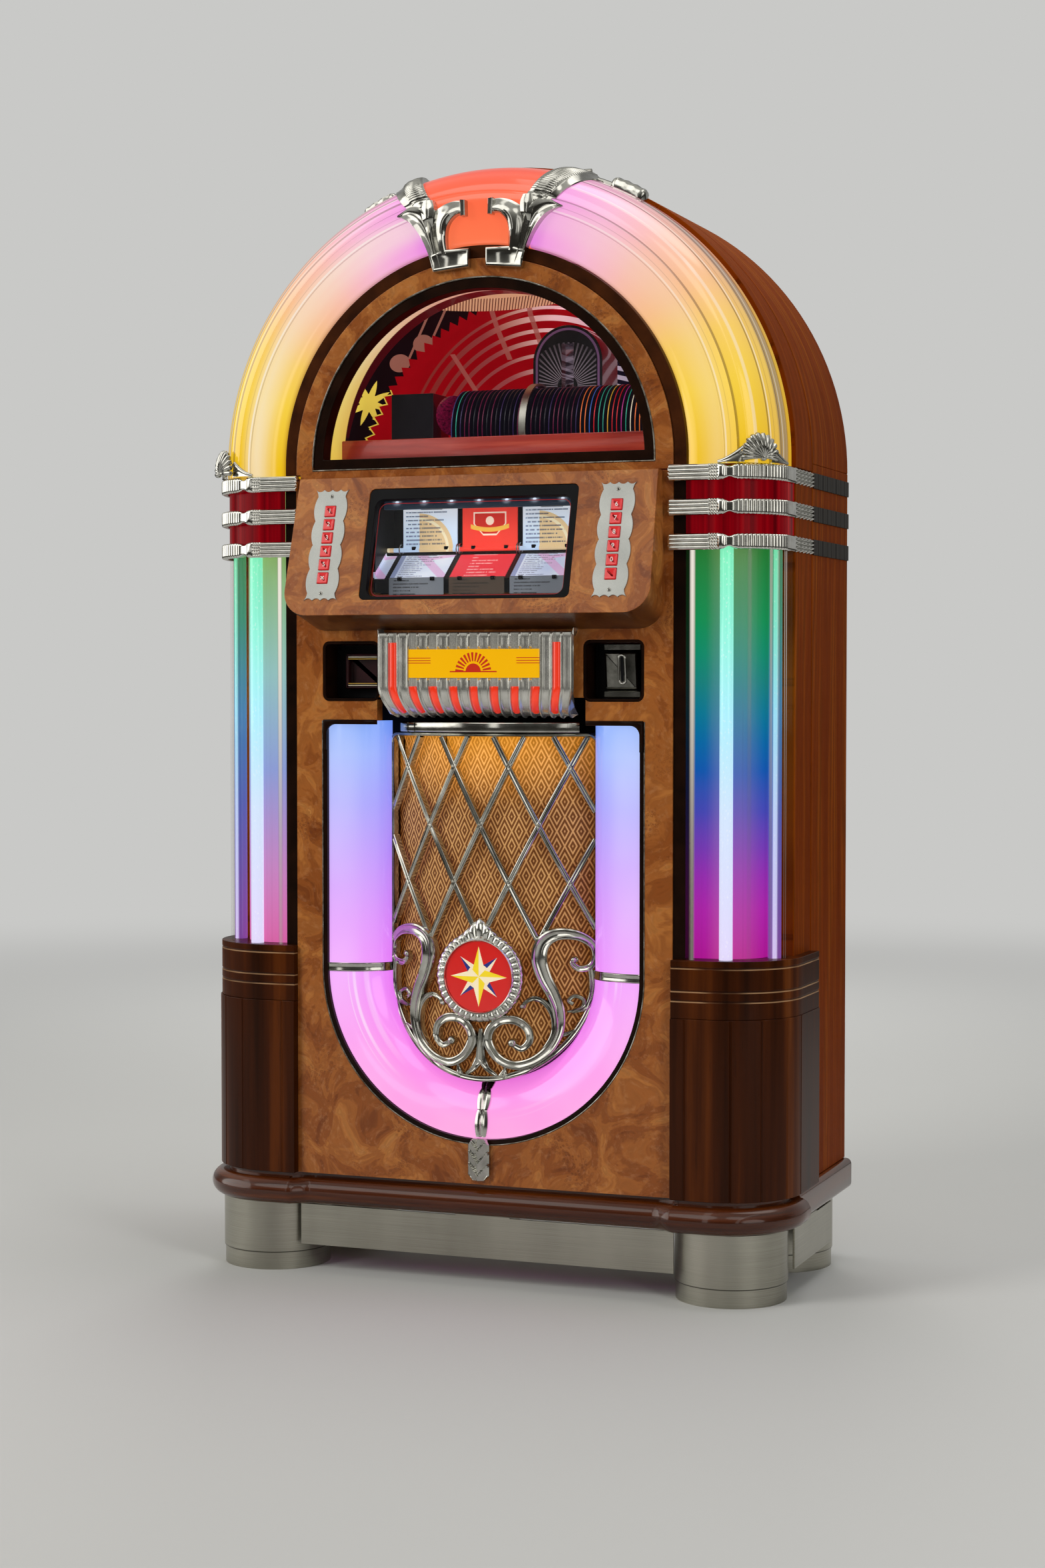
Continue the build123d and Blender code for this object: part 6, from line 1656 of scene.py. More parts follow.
def scrolls(form):
    """Scrollwork under the lattice: the large S and C scrolls, the small curls beside them, the rim along
    the foot and the leaves between them."""
    scroll(form, 260,
           ((124, 449), (118, 443), (126, 435), (139, 438), (145, 452), (141, 468), (124, 480), (100, 482),
            (83, 471), (78, 449), (84, 424), (95, 400), (102, 376), (101, 350), (90, 327), (70, 310),
            (46, 304), (25, 313), (12, 333), (14, 351), (28, 364), (48, 365), (63, 354), (66, 338),
            (56, 327), (44, 332)),
           (2.2, 2.8, 3.2, 3.6, 4.0, 4.6, 5.2, 6.4, 8.0, 8.6, 7.8, 7.0, 6.4, 5.8, 5.4, 4.8, 4.6, 4.8, 5.2,
            4.8, 4.6, 4.6, 4.4, 4.0, 3.4, 2.6),
           (8.0, 9.0, 10.0, 12.0, 13.0, 12.0, 11.0, 10.0, 10.5, 11.0, 10.0, 9.0))
    for centre, radius, flat in (((44, 334), 6.4, 1.3), ((122, 447), 5.0, 1.5), ((57.5, 384), 3.8, 1.6)):
        ball(form, centre, radius, flat)
    scroll(form, 90, ((57, 383), (61, 390), (72, 395), (85, 389), (95, 372), (96, 350), (88, 332), (74, 316)),
           (2.6, 2.2, 2.6, 3.0, 3.2, 3.2, 2.6, 1.6), (8.0, 9.0, 9.5, 9.0, 8.0))
    scroll(form, 70, ((119, 387), (114, 392), (121, 398), (131, 393), (130, 383), (120, 378), (112, 377)),
           (2.0, 2.2, 2.2, 2.2, 2.2, 1.8, 1.2), (8.0, 9.0, 8.0))
    scroll(form, 50, ((118, 376), (133, 382), (140, 398), (141, 418), (139, 436)), (1.6, 2.6, 3.0, 3.2, 2.8),
           (8.0, 10.0))
    form.skin(bow_bar(with_mirror(arc(144.5, 0, -90, 60, (0, U_Z))), 4.2, 10.0, back=10.0))
    scroll(form, 14, ((0, 352), (0.5, 330), (1.0, 306)), (2.0, 3.6, 5.5), (7.0, 8.0))
    scroll(form, 16, ((1.0, 312), (10, 298), (22, 289)), (5.0, 3.0, 1.6), (7.0, 8.0, 6.0))
    scroll(form, 10, ((34, 304), (33, 296), (30, 288)), (0.6, 2.4, 4.4), (6.0, 7.0))
    scroll(form, 20, ((30, 287), (60, 297), (84, 313)), (2.0, 3.4, 1.6), (8.0, 9.0))
    scroll(form, 14, ((97, 343), (109, 346), (120, 352)), (1.2, 2.4, 1.2), (8.0, 9.0))


def medallion(form):
    """Gadrooned ring: hollows cut across it by the cosine of the angle, rising to a point at the top."""
    turn = np.linspace(0, math.tau, 481)[:-1]
    tilt = np.abs((turn + math.pi) % math.tau - math.pi)
    peak = 60.6 / (0.6586 * np.sin(tilt) + 0.7527 * np.cos(tilt)).clip(0.2)
    outer = np.where(tilt < math.radians(34), np.maximum(peak, MEDALLION_RADIUS), MEDALLION_RADIUS)
    flute = np.abs(np.cos(turn * settings().medallion_flutes / 2)) ** 0.8
    inner = MEDALLION_DISC + 0.4
    profile = ((0.0, 6.0, 0), (0.0, -7.0, 0), (0.05, -8.6, 0), (0.12, -8.8, 0), (0.17, -7.6, 0),
               (0.22, -6.6, 0.4), (0.45, -7.4, 1.0), (0.7, -7.0, 1.0), (0.88, -5.2, 1.0), (0.97, -2.4, 0.6),
               (1.0, 0.5, 0.0), (1.0, 6.0, 0))
    rings = []
    for share, y, cut in profile:
        r = inner + (outer - inner) * share
        rings.append(points(r * np.sin(turn), y + cut * 3.0 * (1 - flute), MEDALLION_Z + r * np.cos(turn)))
    form.sheet(closed(np.stack(rings)), 1)


def grille_chrome():
    """Castings of the grille: lattice, scrolls and the medallion's ring."""
    form = Form()
    lattice(form)
    scrolls(form)
    medallion(form)
    form.replace("grille_chrome", "grille_castings", cast_chrome(), band_chrome(), crease=35.0)


def u_roll(lift, start, end, count):
    """(radius, y) and outward direction over the rolled face of the U, `lift` outside it."""
    turn = np.radians(np.linspace(start, end, count))
    wide, deep = U_OUTER - U_INNER, 44.0
    out = unit(np.stack((np.cos(turn) / wide, np.sin(turn) / deep), -1))
    return np.stack((U_OUTER + wide * np.cos(turn), 49.0 + deep * np.sin(turn)), -1) + out * lift, out


def leaf_drop(form):
    """Strap over the foot of the U: a keeled strip with three overlapping leaves, then a pad whose
    chevrons are a saw tooth of the height and the distance from its middle."""
    roll, out = u_roll(0.6, 186, 268, 70)
    leaf = 1 - np.linspace(0, 3, 70) % 1.0
    width = 6.6 + 2.6 * np.sin(leaf * math.pi) ** 0.8
    form.skin(swept(points(0.0, roll[:, 1], U_Z - roll[:, 0]), KEEL, width, 3.6 + 2.6 * leaf,
                    points(0.0, out[:, 1], -out[:, 0])))
    rows = []
    for z in np.linspace(203.0, 146.2, 76):
        half = min(15.5, 8.5 + 0.9 * min(z - 146.0, 203.2 - z))
        x = np.linspace(-half, half, 21)
        tooth = ((z - 1.2 * np.abs(x)) / 17.0) % 1.0
        face = -6.2 - 3.8 * tooth * (1 - (np.abs(x) / half) ** 5)
        face[[1, -2]] -= 1.0
        face[8:13] -= (0.4, 1.0, 1.3, 1.0, 0.4)
        rows.append(np.concatenate((points(x, face, z), ((half, -0.5, z), (-half, -0.5, z)))))
    form.skin(rows)


def grille_trims():
    """Bowed bar over the grille with its end blocks, the two clips over the U and the leaf drop."""
    form = Form()
    section = np.concatenate((arc(2.0, 0, 90, 5, (4.9, 8.4)), arc(2.0, 90, 180, 5, (-4.9, 8.4)),
                              ((-6.9, 0), (6.9, 0))))

    def bar(low, high, count, width, height):
        x = np.linspace(low, high, count)
        return bow_bar(np.stack((x, np.full(count, LATTICE_TOP + 7.6)), -1), width, height, section, 7.0)

    form.skin(bar(-126.0, 126.0, 60, 1.0, 1.0))
    for x0 in (112.0, 100.0):
        form.both(bar(x0, x0 + 9.0, 6, 1.02, 1.12))
    roll, out = u_roll(0.5, 181, 270, 30)
    x, y = np.concatenate((roll, ((RIM_OUTER - 5.0, 4.4), (RIM_OUTER - 2.5, 2.6)))).T
    out_x, out_y = np.concatenate((out, ((0, -1), (0, -1)))).T
    form.both(swept(points(x, y, U_Z), CHANNEL, 6.0, 1.9, points(out_x, out_y, 0.0)))
    leaf_drop(form)
    form.replace("grille_trims", "grille_trim", cast_chrome(), crease=32.0)


# ---- payment panel -------------------------------------------------------------------------------

def grill_profile(count):
    """(y, z) down the outside of the grill casting: its top, its upright face and the roll under it."""
    roll = GRILL_BEND - GRILL_LOW
    lip = ((-0.6, GRILL_TOP), (-20.0, GRILL_TOP), (-22.6, GRILL_TOP - 0.8), (-GRILL_PROUD, GRILL_TOP - 2.6))
    upright = [(-GRILL_PROUD, z) for z in np.linspace(GRILL_TOP - 6.0, GRILL_BEND + 1.0, 26)]
    return np.concatenate((lip, upright, arc(roll, 180, 270, count, (roll - GRILL_PROUD, GRILL_BEND))))


def grill_taper(z):
    """Share of its width that the grill casting keeps at a height under its bend."""
    fall = np.clip((GRILL_BEND - z) / (GRILL_BEND - GRILL_LOW), 0, 1)
    return 1 - GRILL_TAPER * fall ** 1.4


def grill_ribs():
    """Ribbed casting: narrow round ribs between flats, drawn across, and rolled back under its bend."""
    outside = grill_profile(22)
    y, z = outside.T
    inside = ((12.0, GRILL_LOW + 5.0), (-4.0, GRILL_BEND - 26.0), (-18.0, GRILL_BEND),
              (-18.0, GRILL_TOP - 6.0), (-0.6, GRILL_TOP - 6.0))
    x = np.linspace(-GRILL_HALF, GRILL_HALF, 340)[:, None]
    phase = np.abs((x / RIB_PITCH + 0.5) % 1.0 - 0.5) * RIB_PITCH
    rib = np.exp(-((RIB_PITCH / 2 - phase) / 1.9) ** 4)
    flute = 0.35 * np.exp(-((phase - 3.9) / 0.7) ** 2)
    edge = np.clip((GRILL_HALF - np.abs(x)) / 2.4, 0, 1)
    plate = (np.abs(x) < PLATE_HALF + 1.2) & (z > PLATE_LOW - 1.2) & (z < PLATE_HIGH + 1.2)
    sunk = np.where(plate, 3.0, (2.8 * (1 - rib) + flute) * np.clip((GRILL_TOP - z) / 3.0, 0, 1))
    sunk = sunk + (1 - edge) ** 2 * 5.0
    out = right_of(outside)
    out *= np.sign(out @ (-1.0, -0.3))[:, None]
    face = points(x * grill_taper(z), y - sunk * out[:, 0], z - sunk * out[:, 1])
    back = points(x * 0.97, *np.array(inside).T)
    form = Form()
    form.skin(np.concatenate((face, back), axis=1))
    form.replace("grill_ribs", "grill_casting", ribbed_chrome())


def grill_lights():
    """Amber name plate and the red inserts, which follow the casting round its bend."""
    form = Form()
    form.block(PLATE_HALF, (PLATE_HIGH - PLATE_LOW) / 2, 1.0, (0, (PLATE_HIGH + PLATE_LOW) / 2),
               ((0, -21.0), (0, -23.3), (0.6, -23.9)), count=4)
    profile = grill_profile(40)
    for i in range(-4, 5):
        top = GRILL_TOP - 12 if abs(i) == 4 else GRILL_BEND + 2
        y, z = profile[(profile[:, 1] < top) & (profile[:, 1] > GRILL_BEND - 36.0)].T
        path = points(i * 2 * RIB_PITCH * grill_taper(z), y, z)
        ahead = np.gradient(path, axis=0)
        up = points(0.0, ahead[:, 2], -ahead[:, 1])
        form.skin(swept(path - unit(up) * 3.2, DOME, 4.9, 3.4, up), 1)
    form.replace("grill_lights", "grill_lenses", name_plate(), lit_red())


def recess_cup(form, x0, kind):
    """Black cup that lines a recess of the payment panel."""
    form.block(38.0, 36.6, 6.0, (x0, RECESS_Z), ((0, 45.6), (0, 38.0), (3.0, 38.0)), kind=kind, count=6)


def coin_unit():
    """Coin entry: black cup, two polished rails and a leaning plate with a ringed slot."""
    form = Form()
    recess_cup(form, RECESS_X, 1)
    for dz in (RECESS_HALF - 10.0, 10.0 - RECESS_HALF):
        levels = ((0, 38.2), (0, 18.0), (1.5, 15.5))
        form.block(26.5, 5.0, 2.0, (RECESS_X + 7, RECESS_Z + dz), levels, kind=2, count=6)

    def leaning(x, z, depth):
        return points(x, depth + (z - RECESS_Z) * -0.12, z)

    levels = ((0, 38.2), (0, 17.0), (1.4, 15.4), (3.0, 15.0))
    form.block(22.5, 24.5, 2.0, (RECESS_X + 5, RECESS_Z), levels, leaning, count=6)
    slot = (RECESS_X + 7, RECESS_Z + 2)
    form.skin(swept(leaning(*closed(round_box(4.6, 19.0, 4.6, slot, 8)).T, 15.2), ROUND, 1.7, 2.2), 2)
    form.block(2.2, 16.5, 2.2, slot, ((0, 15.2), (0, 14.8)), leaning, 1, 6)
    form.replace("coin_unit", "coin_entry", dark_chrome(), black_plastic(), band_chrome())


def note_unit():
    """Banknote unit: black cup and throat with a slit, and cream and gold lines that run into it."""
    form = Form()
    recess_cup(form, -RECESS_X, 0)
    form.block(28.0, 24.0, 2.0, (8 - RECESS_X, RECESS_Z),
               ((0, 38.2), (0, 27.0), (1.2, 25.6), (4.5, 25.6), (6.0, 27.5), (6.5, 36.0)), kind=1, count=6)
    for offset, kind in ((19.6, 2), (17.0, 3), (-17.0, 3), (-19.6, 2)):
        spot = (10 - RECESS_X, RECESS_Z + offset)
        form.block(25.5, 0.55, 0.3, spot, ((0, 26.5), (0, 24.9)), kind=kind, count=2)
    form.replace("note_unit", "note_acceptor", black_plastic(), maroon_throat(), plain_paint("E9E2C8"),
                 plain_paint("C9A23C"))


# ---- selector ------------------------------------------------------------------------------------

def slope_at(x0, down):
    """Places points on the selector's slope, from a spot on it."""
    return lambda x, y, out: on_slope(x0 + x, down + y, out)


def keypad_outline(half_long):
    """Four bowed lobes down each long edge, flared corners and hollowed ends."""
    down = np.linspace(-half_long, half_long, 105)
    straight = half_long - 11.0
    lobe = ((down + straight) / (2 * straight) * 4) % 1.0
    flare = ((np.abs(down) - straight) / 11.0).clip(0) ** 1.8
    width = 20.4 + 4.1 * np.where(np.abs(down) > straight, flare, np.sin(lobe * math.pi) ** 0.75)
    along = np.linspace(1, -1, 49)[1:-1]
    right = np.stack((width, down), -1)
    end = np.stack((along * 24.5, half_long - 3.0 * np.abs(np.sin(along * math.pi * 2)) ** 0.8), -1)
    return np.concatenate((right, end, right[::-1] * (-1, 1), end[::-1] * (1, -1)))


def key_plates():
    """Keypad plates with the holes of their keys, their pan-head screws and the switch boards behind."""
    form = Form()
    middle = (KEYPAD_LOW + KEYPAD_HIGH) / 2
    hole = KEY_SIZE / 2 + 0.4
    rows = [KEY_FIRST + KEY_PITCH * row - middle for row in range(KEY_ROWS)]
    holes = [round_box(hole, hole, 1.0, (0, row), 3) for row in rows]
    outlines = [keypad_outline((KEYPAD_LOW - KEYPAD_HIGH) / 2), *holes]
    head = np.concatenate((((2.9, 0.5),), arc(1.0, 0, 80, 6) * (2.9, 1.7) + (0, PLATE_THICK - 0.2)))
    for x0 in (-KEY_X, KEY_X):
        corners, faces = cut_out(outlines, PLATE_THICK - 0.05, 0.35)
        form.add(slope_at(x0, middle)(*corners.T + ((0,), (0,), (0.02,))), faces)
        for spot in (KEYPAD_HIGH + 10, KEYPAD_LOW - 10):
            place = slope_at(x0, spot)
            form.skin([place(*(r * ROUND).T, out) for r, out in head], 1)
            for wide, tall in ((1.9, 0.35), (0.35, 1.9)):
                form.block(wide, tall, 0.2, (0, 0), ((0, 2.4), (0, 3.25)), place, 2, 2)
        form.block(19.0, KEY_ROWS * KEY_PITCH / 2 + 6, 1.0, (0, 0), ((0, -12.05), (0, -13.6)),
                   slope_at(x0, KEY_FIRST + (KEY_ROWS - 1) * KEY_PITCH / 2), 2)
    form.replace("key_plates", "button_plates", satin_plate(), cast_chrome(), black_plastic(), crease=20.0)


def keys():
    """Twelve keys: soft-edged caps with a shallow dish and a plain digit; a cross on the cancel key."""
    for i, sign in enumerate(("1", "2", "3", "4", "5", "cancel", "6", "7", "8", "9", "0", "enter")):
        place = slope_at(KEY_X if i >= KEY_ROWS else -KEY_X, KEY_FIRST + KEY_PITCH * (i % KEY_ROWS))
        form = Form()
        form.block(KEY_SIZE / 2, KEY_SIZE / 2, 1.3, (0, 0),
                   ((0, -9.4), (0, 2.2), (0.35, 2.9), (1.0, 3.2), (2.2, 3.1), (3.4, 2.9)), place, count=4)
        if sign == "cancel":
            for lean in (-1, 1):
                x, y = round_box(3.4, 0.55, 0.5, count=3).T * math.sqrt(0.5)
                stroke = np.stack((x - lean * y, lean * x + y), -1)
                form.skin(stacked(stroke, ((0, 2.7), (0, 3.05)), place), 1)
        elif sign != "enter":
            corners, faces = cut_out((), 0.3, 0.0, sign, settings().digit_height)
            x, y, out = corners.T
            form.add(place(x, -y, 2.75 + out), faces, 1)
        form.replace("key_" + sign, "button_" + sign, key_red(), plain_paint("F4F1EA"), crease=20.0)


def display_inside():
    """Behind the glass: the red line round the opening, the lamp strip, the page clips, the ring loops
    and the row of pages below."""
    form = Form()
    line = closed(round_box(138.0, 65.5, 11.0, (0, 101.4), 8))
    form.skin(swept(on_slope(*line.T, -9.6), ROUND, 0.55, 0.3, (0, -1, 0.28)))
    form.make("display_line", "display_bezel", plain_paint("B4141C"))
    form = Form()
    form.block(139.0, 6.8, 2.0, (0, 32.6), ((0, -26.0), (0, -24.0)), on_slope)
    form.make("lamp_strip", "title_tray", sparkle_strip())
    clips, rings, row = Form(), Form(), Form()
    for x0 in (-PAGE_PITCH, 0.0, PAGE_PITCH):
        row.block(40.0, 11.5, 1.0, (x0, PAGE_Z - 51.5), ((0, PAGE_Y - 49.5), (0, PAGE_Y - 50.5)))
        for x in (x0 - 24.0, x0 + 24.0):
            for z in (PAGE_Z + PAGE_HEIGHT - 1.5, PAGE_Z + 2.0):
                levels = ((0, PAGE_Y - 0.9), (0, PAGE_Y - 2.6), (0.6, PAGE_Y - 3.1))
                clips.block(3.0, 2.6, 0.8, (x, z), levels)
            row.block(3.0, 2.6, 0.8, (x, PAGE_Z - 41.5), ((0, PAGE_Y - 49.7), (0, PAGE_Y - 52.6)), kind=1)
        for x in (x0 - 42.5, x0 + 42.0):
            loop = points(x, *arc(7.5, 0, 360, 33, (PAGE_Y - 2.0, PAGE_Z)).T)
            rings.skin(swept(loop, ROUND, 0.9, 0.9, (1, 0, 0)))
    clips.make("page_clips", "page_leaf", black_plastic())
    rings.make("page_rings", "title_tray", cast_chrome())
    row.make("page_row", "title_tray", row_print(), black_plastic())


def inside_window():
    """Shelf front, the lit liner of the opening, the printed side walls and the disc that leans there."""
    low, high = SPLIT_Z + 1.6, WINDOW_LOW + 29.6
    form = Form()
    form.block(WINDOW_RADIUS - 6.4, (high - low) / 2, 1.5, (0, (low + high) / 2),
               ((0, 51.9), (0, 50.4), (0.6, 50.0)))
    form.make("shelf_front", "mechanism_deck", shelf_wood())
    for name, node, finish, radius, near, far, low, spans in (
            ("lit_liner", "window_board", liner_glow(),
             WINDOW_RADIUS + 3.0, 20.0, 84.0, WINDOW_LOW + 1.0, ((0, 180),)),
            ("backdrop_wings", "backdrop", backdrop_art(),
             250.0, 96.0, BACKDROP_Y - 0.4, SPLIT_Z + 2.0, ((0, 30), (72, 180)))):
        wall = np.array(((radius, near), (radius + 2.0, near), (radius + 2.0, far), (radius, far)))
        form = Form()
        for start, end in spans:
            form.skin(arch_rings(wall, start, end, steps=round((end - start) / 2.5) + 1))
        form.both([points(wall[:, 0], wall[:, 1], z) for z in (low, ARCH_Z)])
        form.make(name, node, finish)
    turn = math.radians(52.0)
    rings = []
    for radius, off in ((4.0, -0.6), (28.0, -0.6), (28.0, 0.6), (4.0, 0.6)):
        along, up = arc(radius, 0, 350, 36).T
        rings.append(points(along * math.cos(turn) - off * math.sin(turn) - 82.0,
                            along * math.sin(turn) + off * math.cos(turn) + 108.0, up + 1192.0))
    form = Form()
    form.sheet(closed(np.stack(rings)))
    form.make("leaning_disc", "disc_rack", magenta_disc())


# ---- operators -----------------------------------------------------------------------------------

def colour_property(name, description, default):
    return FloatVectorProperty(name=name, description=description, default=shown(default), min=0.0, max=1.0,
                               subtype="COLOR_GAMMA", size=3)


def length_property(name, description, default, low, high):
    """A length in millimetres: this subtype shows its number with that unit."""
    return FloatProperty(name=name, description=description, default=default, min=low, max=high,
                         subtype="DISTANCE_CAMERA")


class JukeboxSettings(bpy.types.PropertyGroup):
    """What a user would change about the looks; lengths are millimetres."""
    floor_colour: colour_property("Floor", "Colour of the studio floor", "CCCCC9")
    plate_colour: colour_property("Name plate", "Amber of the plate on the grill casting", "F6B400")
    mark_colour: colour_property("Mark", "Red of the lines and the sunburst on the name plate", "C2301A")
    enamel_colour: colour_property("Enamel", "Red ground of the medallion", "C8120E")
    key_colour: colour_property("Keys", "Red of the keys", "C01A1E")
    thread_colour: colour_property("Thread", "Light thread of the grille cloth", "DDB57A")
    cloth_colour: colour_property("Cloth", "Ground of the grille cloth", "6E4418")
    glow: FloatProperty(name="Glow", description="Light of the lit plastics, as a share of their usual light",
                        default=1.0, min=0.0, max=2.0, subtype="FACTOR")
    digit_height: length_property("Digits", "Type size of the digits on the keys", 8.8, 4.0, 11.0)
    bead_radius: length_property("Beads", "Radius of the steel bead round the window", 1.3, 0.5, 2.0)
    lattice_half: length_property("Lattice", "Half the width of a lattice bar", 4.0, 2.0, 5.0)
    medallion_flutes: IntProperty(name="Flutes", description="Hollows round the medallion's ring", default=40,
                                  min=12, max=72)


class JUKEBOX_OT_woods(bpy.types.Operator):
    """Veneers and lacquers of the cabinet's wooden pieces"""
    bl_idname = "jukebox.woods"
    bl_label = "Woods"

    def execute(self, context):
        for node in ("side_panels", "barrel_top", "lid_frame"):
            refined(node, oak_veneer(), 1.2)
        for node in ("front_panel", "window_board"):
            refined(node, burl_veneer(), 1.0)
        refined("selector_housing", burl_veneer(), 3.0)
        refined("pilasters", dark_lacquer(), 0.8)
        base_bullnose()
        refined("side_bands", slat_lacquer(), 0.5)
        for node in ("panel_mouldings", "window_mouldings"):
            refined(node, black_lacquer(), 0.8)
        refined("mechanism_deck", shelf_wood(), 0.8)
        for node in ("carcass_boards", "back_board", "back_door"):
            refined(node, raw_board(), 0.8)
        window_trim()
        return {"FINISHED"}


class JUKEBOX_OT_lights(bpy.types.Operator):
    """Lit plastics of the arch, the columns and the U"""
    bl_idname = "jukebox.lights"
    bl_label = "Lit Plastics"

    def execute(self, context):
        lid_plastics()
        refined("column_covers", clear_cover())
        refined("column_sleeves", column_glow())
        refined("bubble_tubes", tube_glow())
        refined("u_plastics", u_glow(), crease=50.0)
        grill_lights()
        return {"FINISHED"}


class JUKEBOX_OT_chrome(bpy.types.Operator):
    """Castings, bands and trims"""
    bl_idname = "jukebox.chrome"
    bl_label = "Castings"

    def execute(self, context):
        for make in (lid_chrome, column_chrome, grille_chrome, grille_trims, grill_ribs, coin_unit,
                     note_unit):
            make()
        return {"FINISHED"}


class JUKEBOX_OT_selector(bpy.types.Operator):
    """Keys, plates and title pages"""
    bl_idname = "jukebox.selector"
    bl_label = "Selector"

    def execute(self, context):
        key_plates()
        keys()
        display_inside()
        refined("display_bezel", black_plastic(), 0.6)
        refined("display_glass", clear_glass())
        refined("title_tray", lower_print())
        refined("page_leaf", upper_print())
        return {"FINISHED"}


class JUKEBOX_OT_rest(bpy.types.Operator):
    """Finishes of the other pieces"""
    bl_idname = "jukebox.rest"
    bl_label = "Rest"

    def execute(self, context):
        for node in ("feet", "plinth_plates"):
            refined(node, drum_steel(), 0.6)
        for node in ("cabinet_hinges", "carriage", "gripper_arm", "turntable"):
            refined(node, brushed_steel(), 0.4)
        for node in ("speakers", "electronics"):
            refined(node, black_plastic(), 0.6)
        refined("player_tower", tower_print(), 0.8)
        refined("medallion_disc", star_enamel(), 0.5)
        cloth = refined("speaker_cloth", speaker_weave())
        refined("window_glass", clear_glass())
        refined("disc_rack", disc_stack())
        refined("backdrop", backdrop_art())
        inside_window()
        return {"FINISHED"}


def studio_sky(sky):
    """World colour: the camera and glass see the pale backdrop, glossy rays a dark room with softboxes,
    and other rays an even grey."""
    across, ahead, up = sky.split(sky.node("ShaderNodeTexCoord", output="Generated"))
    backdrop = up.ramp((0.0, HORIZON), (0.4, HORIZON), (1.0, "8E8E8D"))
    room = (up * 0.5 + 0.5).ramp((0.35, "201F1D"), (0.5, "32312E"), (0.66, "64635F"), (0.85, "C4C3BE"))
    lit = 0.0
    for aim, low, high, share in (
            ((-0.90, -0.36, 0.25), 0.86, 0.90, 1.0), ((0.80, -0.58, 0.15), 0.95, 0.97, 0.8),
            ((-0.25, -0.72, 0.65), 0.955, 0.97, 0.9), ((0.38, -0.62, 0.68), 0.97, 0.98, 0.8),
            ((-0.52, -0.80, -0.30), 0.985, 0.99, 0.5), ((0.2, 0.3, 0.93), 0.93, 0.96, 1.0)):
        toward = across * aim[0] + ahead * aim[1] + up * aim[2]
        lit = lit + toward.between(low, high) * share
    strips = across.lines(((-0.2, 0.06, 0.7), (0.52, 0.04, 0.6), (-0.62, 0.05, 0.6)), 0.7)
    lit = (lit + strips * (ahead < 0.0) * up.between(-0.5, -0.2)).least(1.0)
    room = sky.mix(lit, room, "FFFDF8")
    room = sky.mix(ahead.between(0.3, 0.7), room, sky.mix(0.45, backdrop, "3A3937"))
    seen, glossy, through = (sky.node("ShaderNodeLightPath", output=f"Is {ray} Ray")
                             for ray in ("Camera", "Glossy", "Transmission"))
    glow = sky.mix(seen.most(through), sky.mix(glossy, "868684", room), backdrop)
    bright = glossy * (ahead < 0.6) * lit * 1.3 + 1.0
    back = sky.node("ShaderNodeBackground", inputs={"Color": glow, "Strength": bright})
    sky.tree.links.new(back.socket, sky.tree.nodes.new("ShaderNodeOutputWorld").inputs[0])


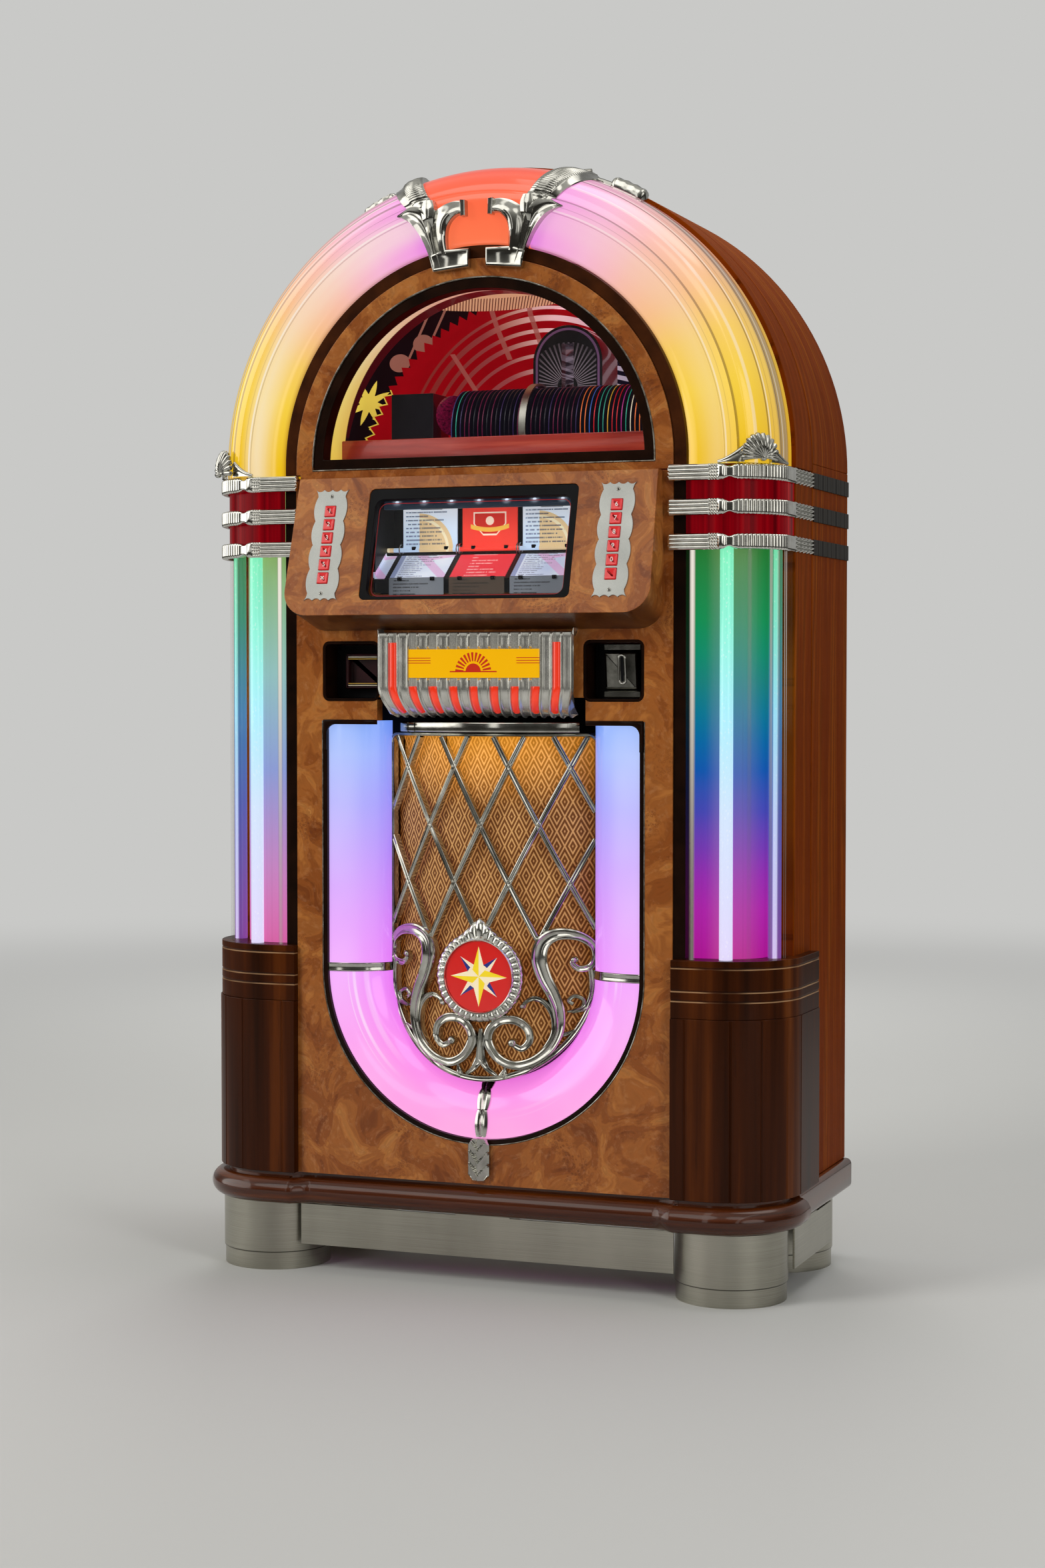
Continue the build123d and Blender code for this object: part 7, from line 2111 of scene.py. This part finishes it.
class JUKEBOX_OT_stage(bpy.types.Operator):
    """Pale floor, soft studio lights and the camera"""
    bl_idname = "jukebox.stage"
    bl_label = "Studio Stage"

    def execute(self, context):
        scene = context.scene
        scene.view_settings.view_transform = "Standard"
        floor = bpy.data.meshes.new("studio_floor")
        reach = 40.0
        corners = [(x * reach, y * reach, 0) for x, y in ((-1, -1), (1, -1), (1, 1), (-1, 1))]
        floor.from_pydata(corners, [], [(0, 1, 2, 3)])
        floor.materials.append(studio_floor())
        ground = bpy.data.objects.new("studio_floor", floor)
        scene.collection.objects.link(ground)

        world = bpy.data.worlds.new("studio")
        scene.world = world
        world.use_nodes = True
        studio_sky(Finish(world.node_tree))

        for name, place, aim, width, height, power, tint in (
                ("key_softbox", (-2.6, -3.2, 2.5), (0, 0, 0.9), 1.6, 2.2, 90.0, (1.0, 0.98, 0.95)),
                ("fill_softbox", (3.0, -2.2, 1.6), (0.2, 0, 0.8), 0.9, 2.4, 42.0, (1.0, 1.0, 1.0)),
                ("top_softbox", (0.3, 0.4, 3.4), (0, 0, 1.0), 2.2, 1.4, 40.0, (1.0, 1.0, 1.0)),
                ("back_softbox", (-1.2, 3.6, 2.2), (0, 0, 0.9), 1.8, 1.8, 50.0, (1.0, 1.0, 1.0))):
            lamp = bpy.data.lights.new(name, "AREA")
            lamp.shape = "RECTANGLE"
            lamp.size = width
            lamp.size_y = height
            lamp.energy = power
            lamp.color = tint
            holder = bpy.data.objects.new(name, lamp)
            scene.collection.objects.link(holder)
            holder.location = place
            holder.visible_glossy = False
            holder.rotation_euler = (Vector(aim) - Vector(place)).to_track_quat("-Z", "Y").to_euler()

        lens = bpy.data.cameras.new("camera")
        lens.sensor_width = 36.0
        lens.lens = 62.08
        camera = bpy.data.objects.new("camera", lens)
        scene.collection.objects.link(camera)
        camera.location = (1.3587, -3.38863 + FRONT * MM, 0.82052)
        camera.rotation_euler = (math.radians(90 - 2.139), 0.0, math.radians(20.944))
        scene.camera = camera
        return {"FINISHED"}


OPERATORS = (JUKEBOX_OT_woods, JUKEBOX_OT_lights, JUKEBOX_OT_chrome, JUKEBOX_OT_selector, JUKEBOX_OT_rest,
             JUKEBOX_OT_stage)


class JUKEBOX_PT_panel(bpy.types.Panel):
    """Lists the settings and the operators"""
    bl_idname = "JUKEBOX_PT_panel"
    bl_label = "Arched Jukebox"
    bl_space_type = "VIEW_3D"
    bl_region_type = "UI"
    bl_category = "Jukebox"

    def draw(self, context):
        for name in JukeboxSettings.__annotations__:
            self.layout.prop(context.scene.jukebox, name)
        for operator in OPERATORS:
            self.layout.operator(operator.bl_idname)


CLASSES = (JukeboxSettings, *OPERATORS, JUKEBOX_PT_panel)


def register():
    for cls in CLASSES:
        bpy.utils.register_class(cls)
    bpy.types.Scene.jukebox = PointerProperty(type=JukeboxSettings)


def unregister():
    del bpy.types.Scene.jukebox
    for cls in reversed(CLASSES):
        bpy.utils.unregister_class(cls)


def main():
    """Registers the classes and runs the operators in order."""
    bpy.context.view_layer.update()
    register()
    for operator in OPERATORS:
        group, name = operator.bl_idname.split(".")
        getattr(getattr(bpy.ops, group), name)()


if __name__ == "__main__":
    main()
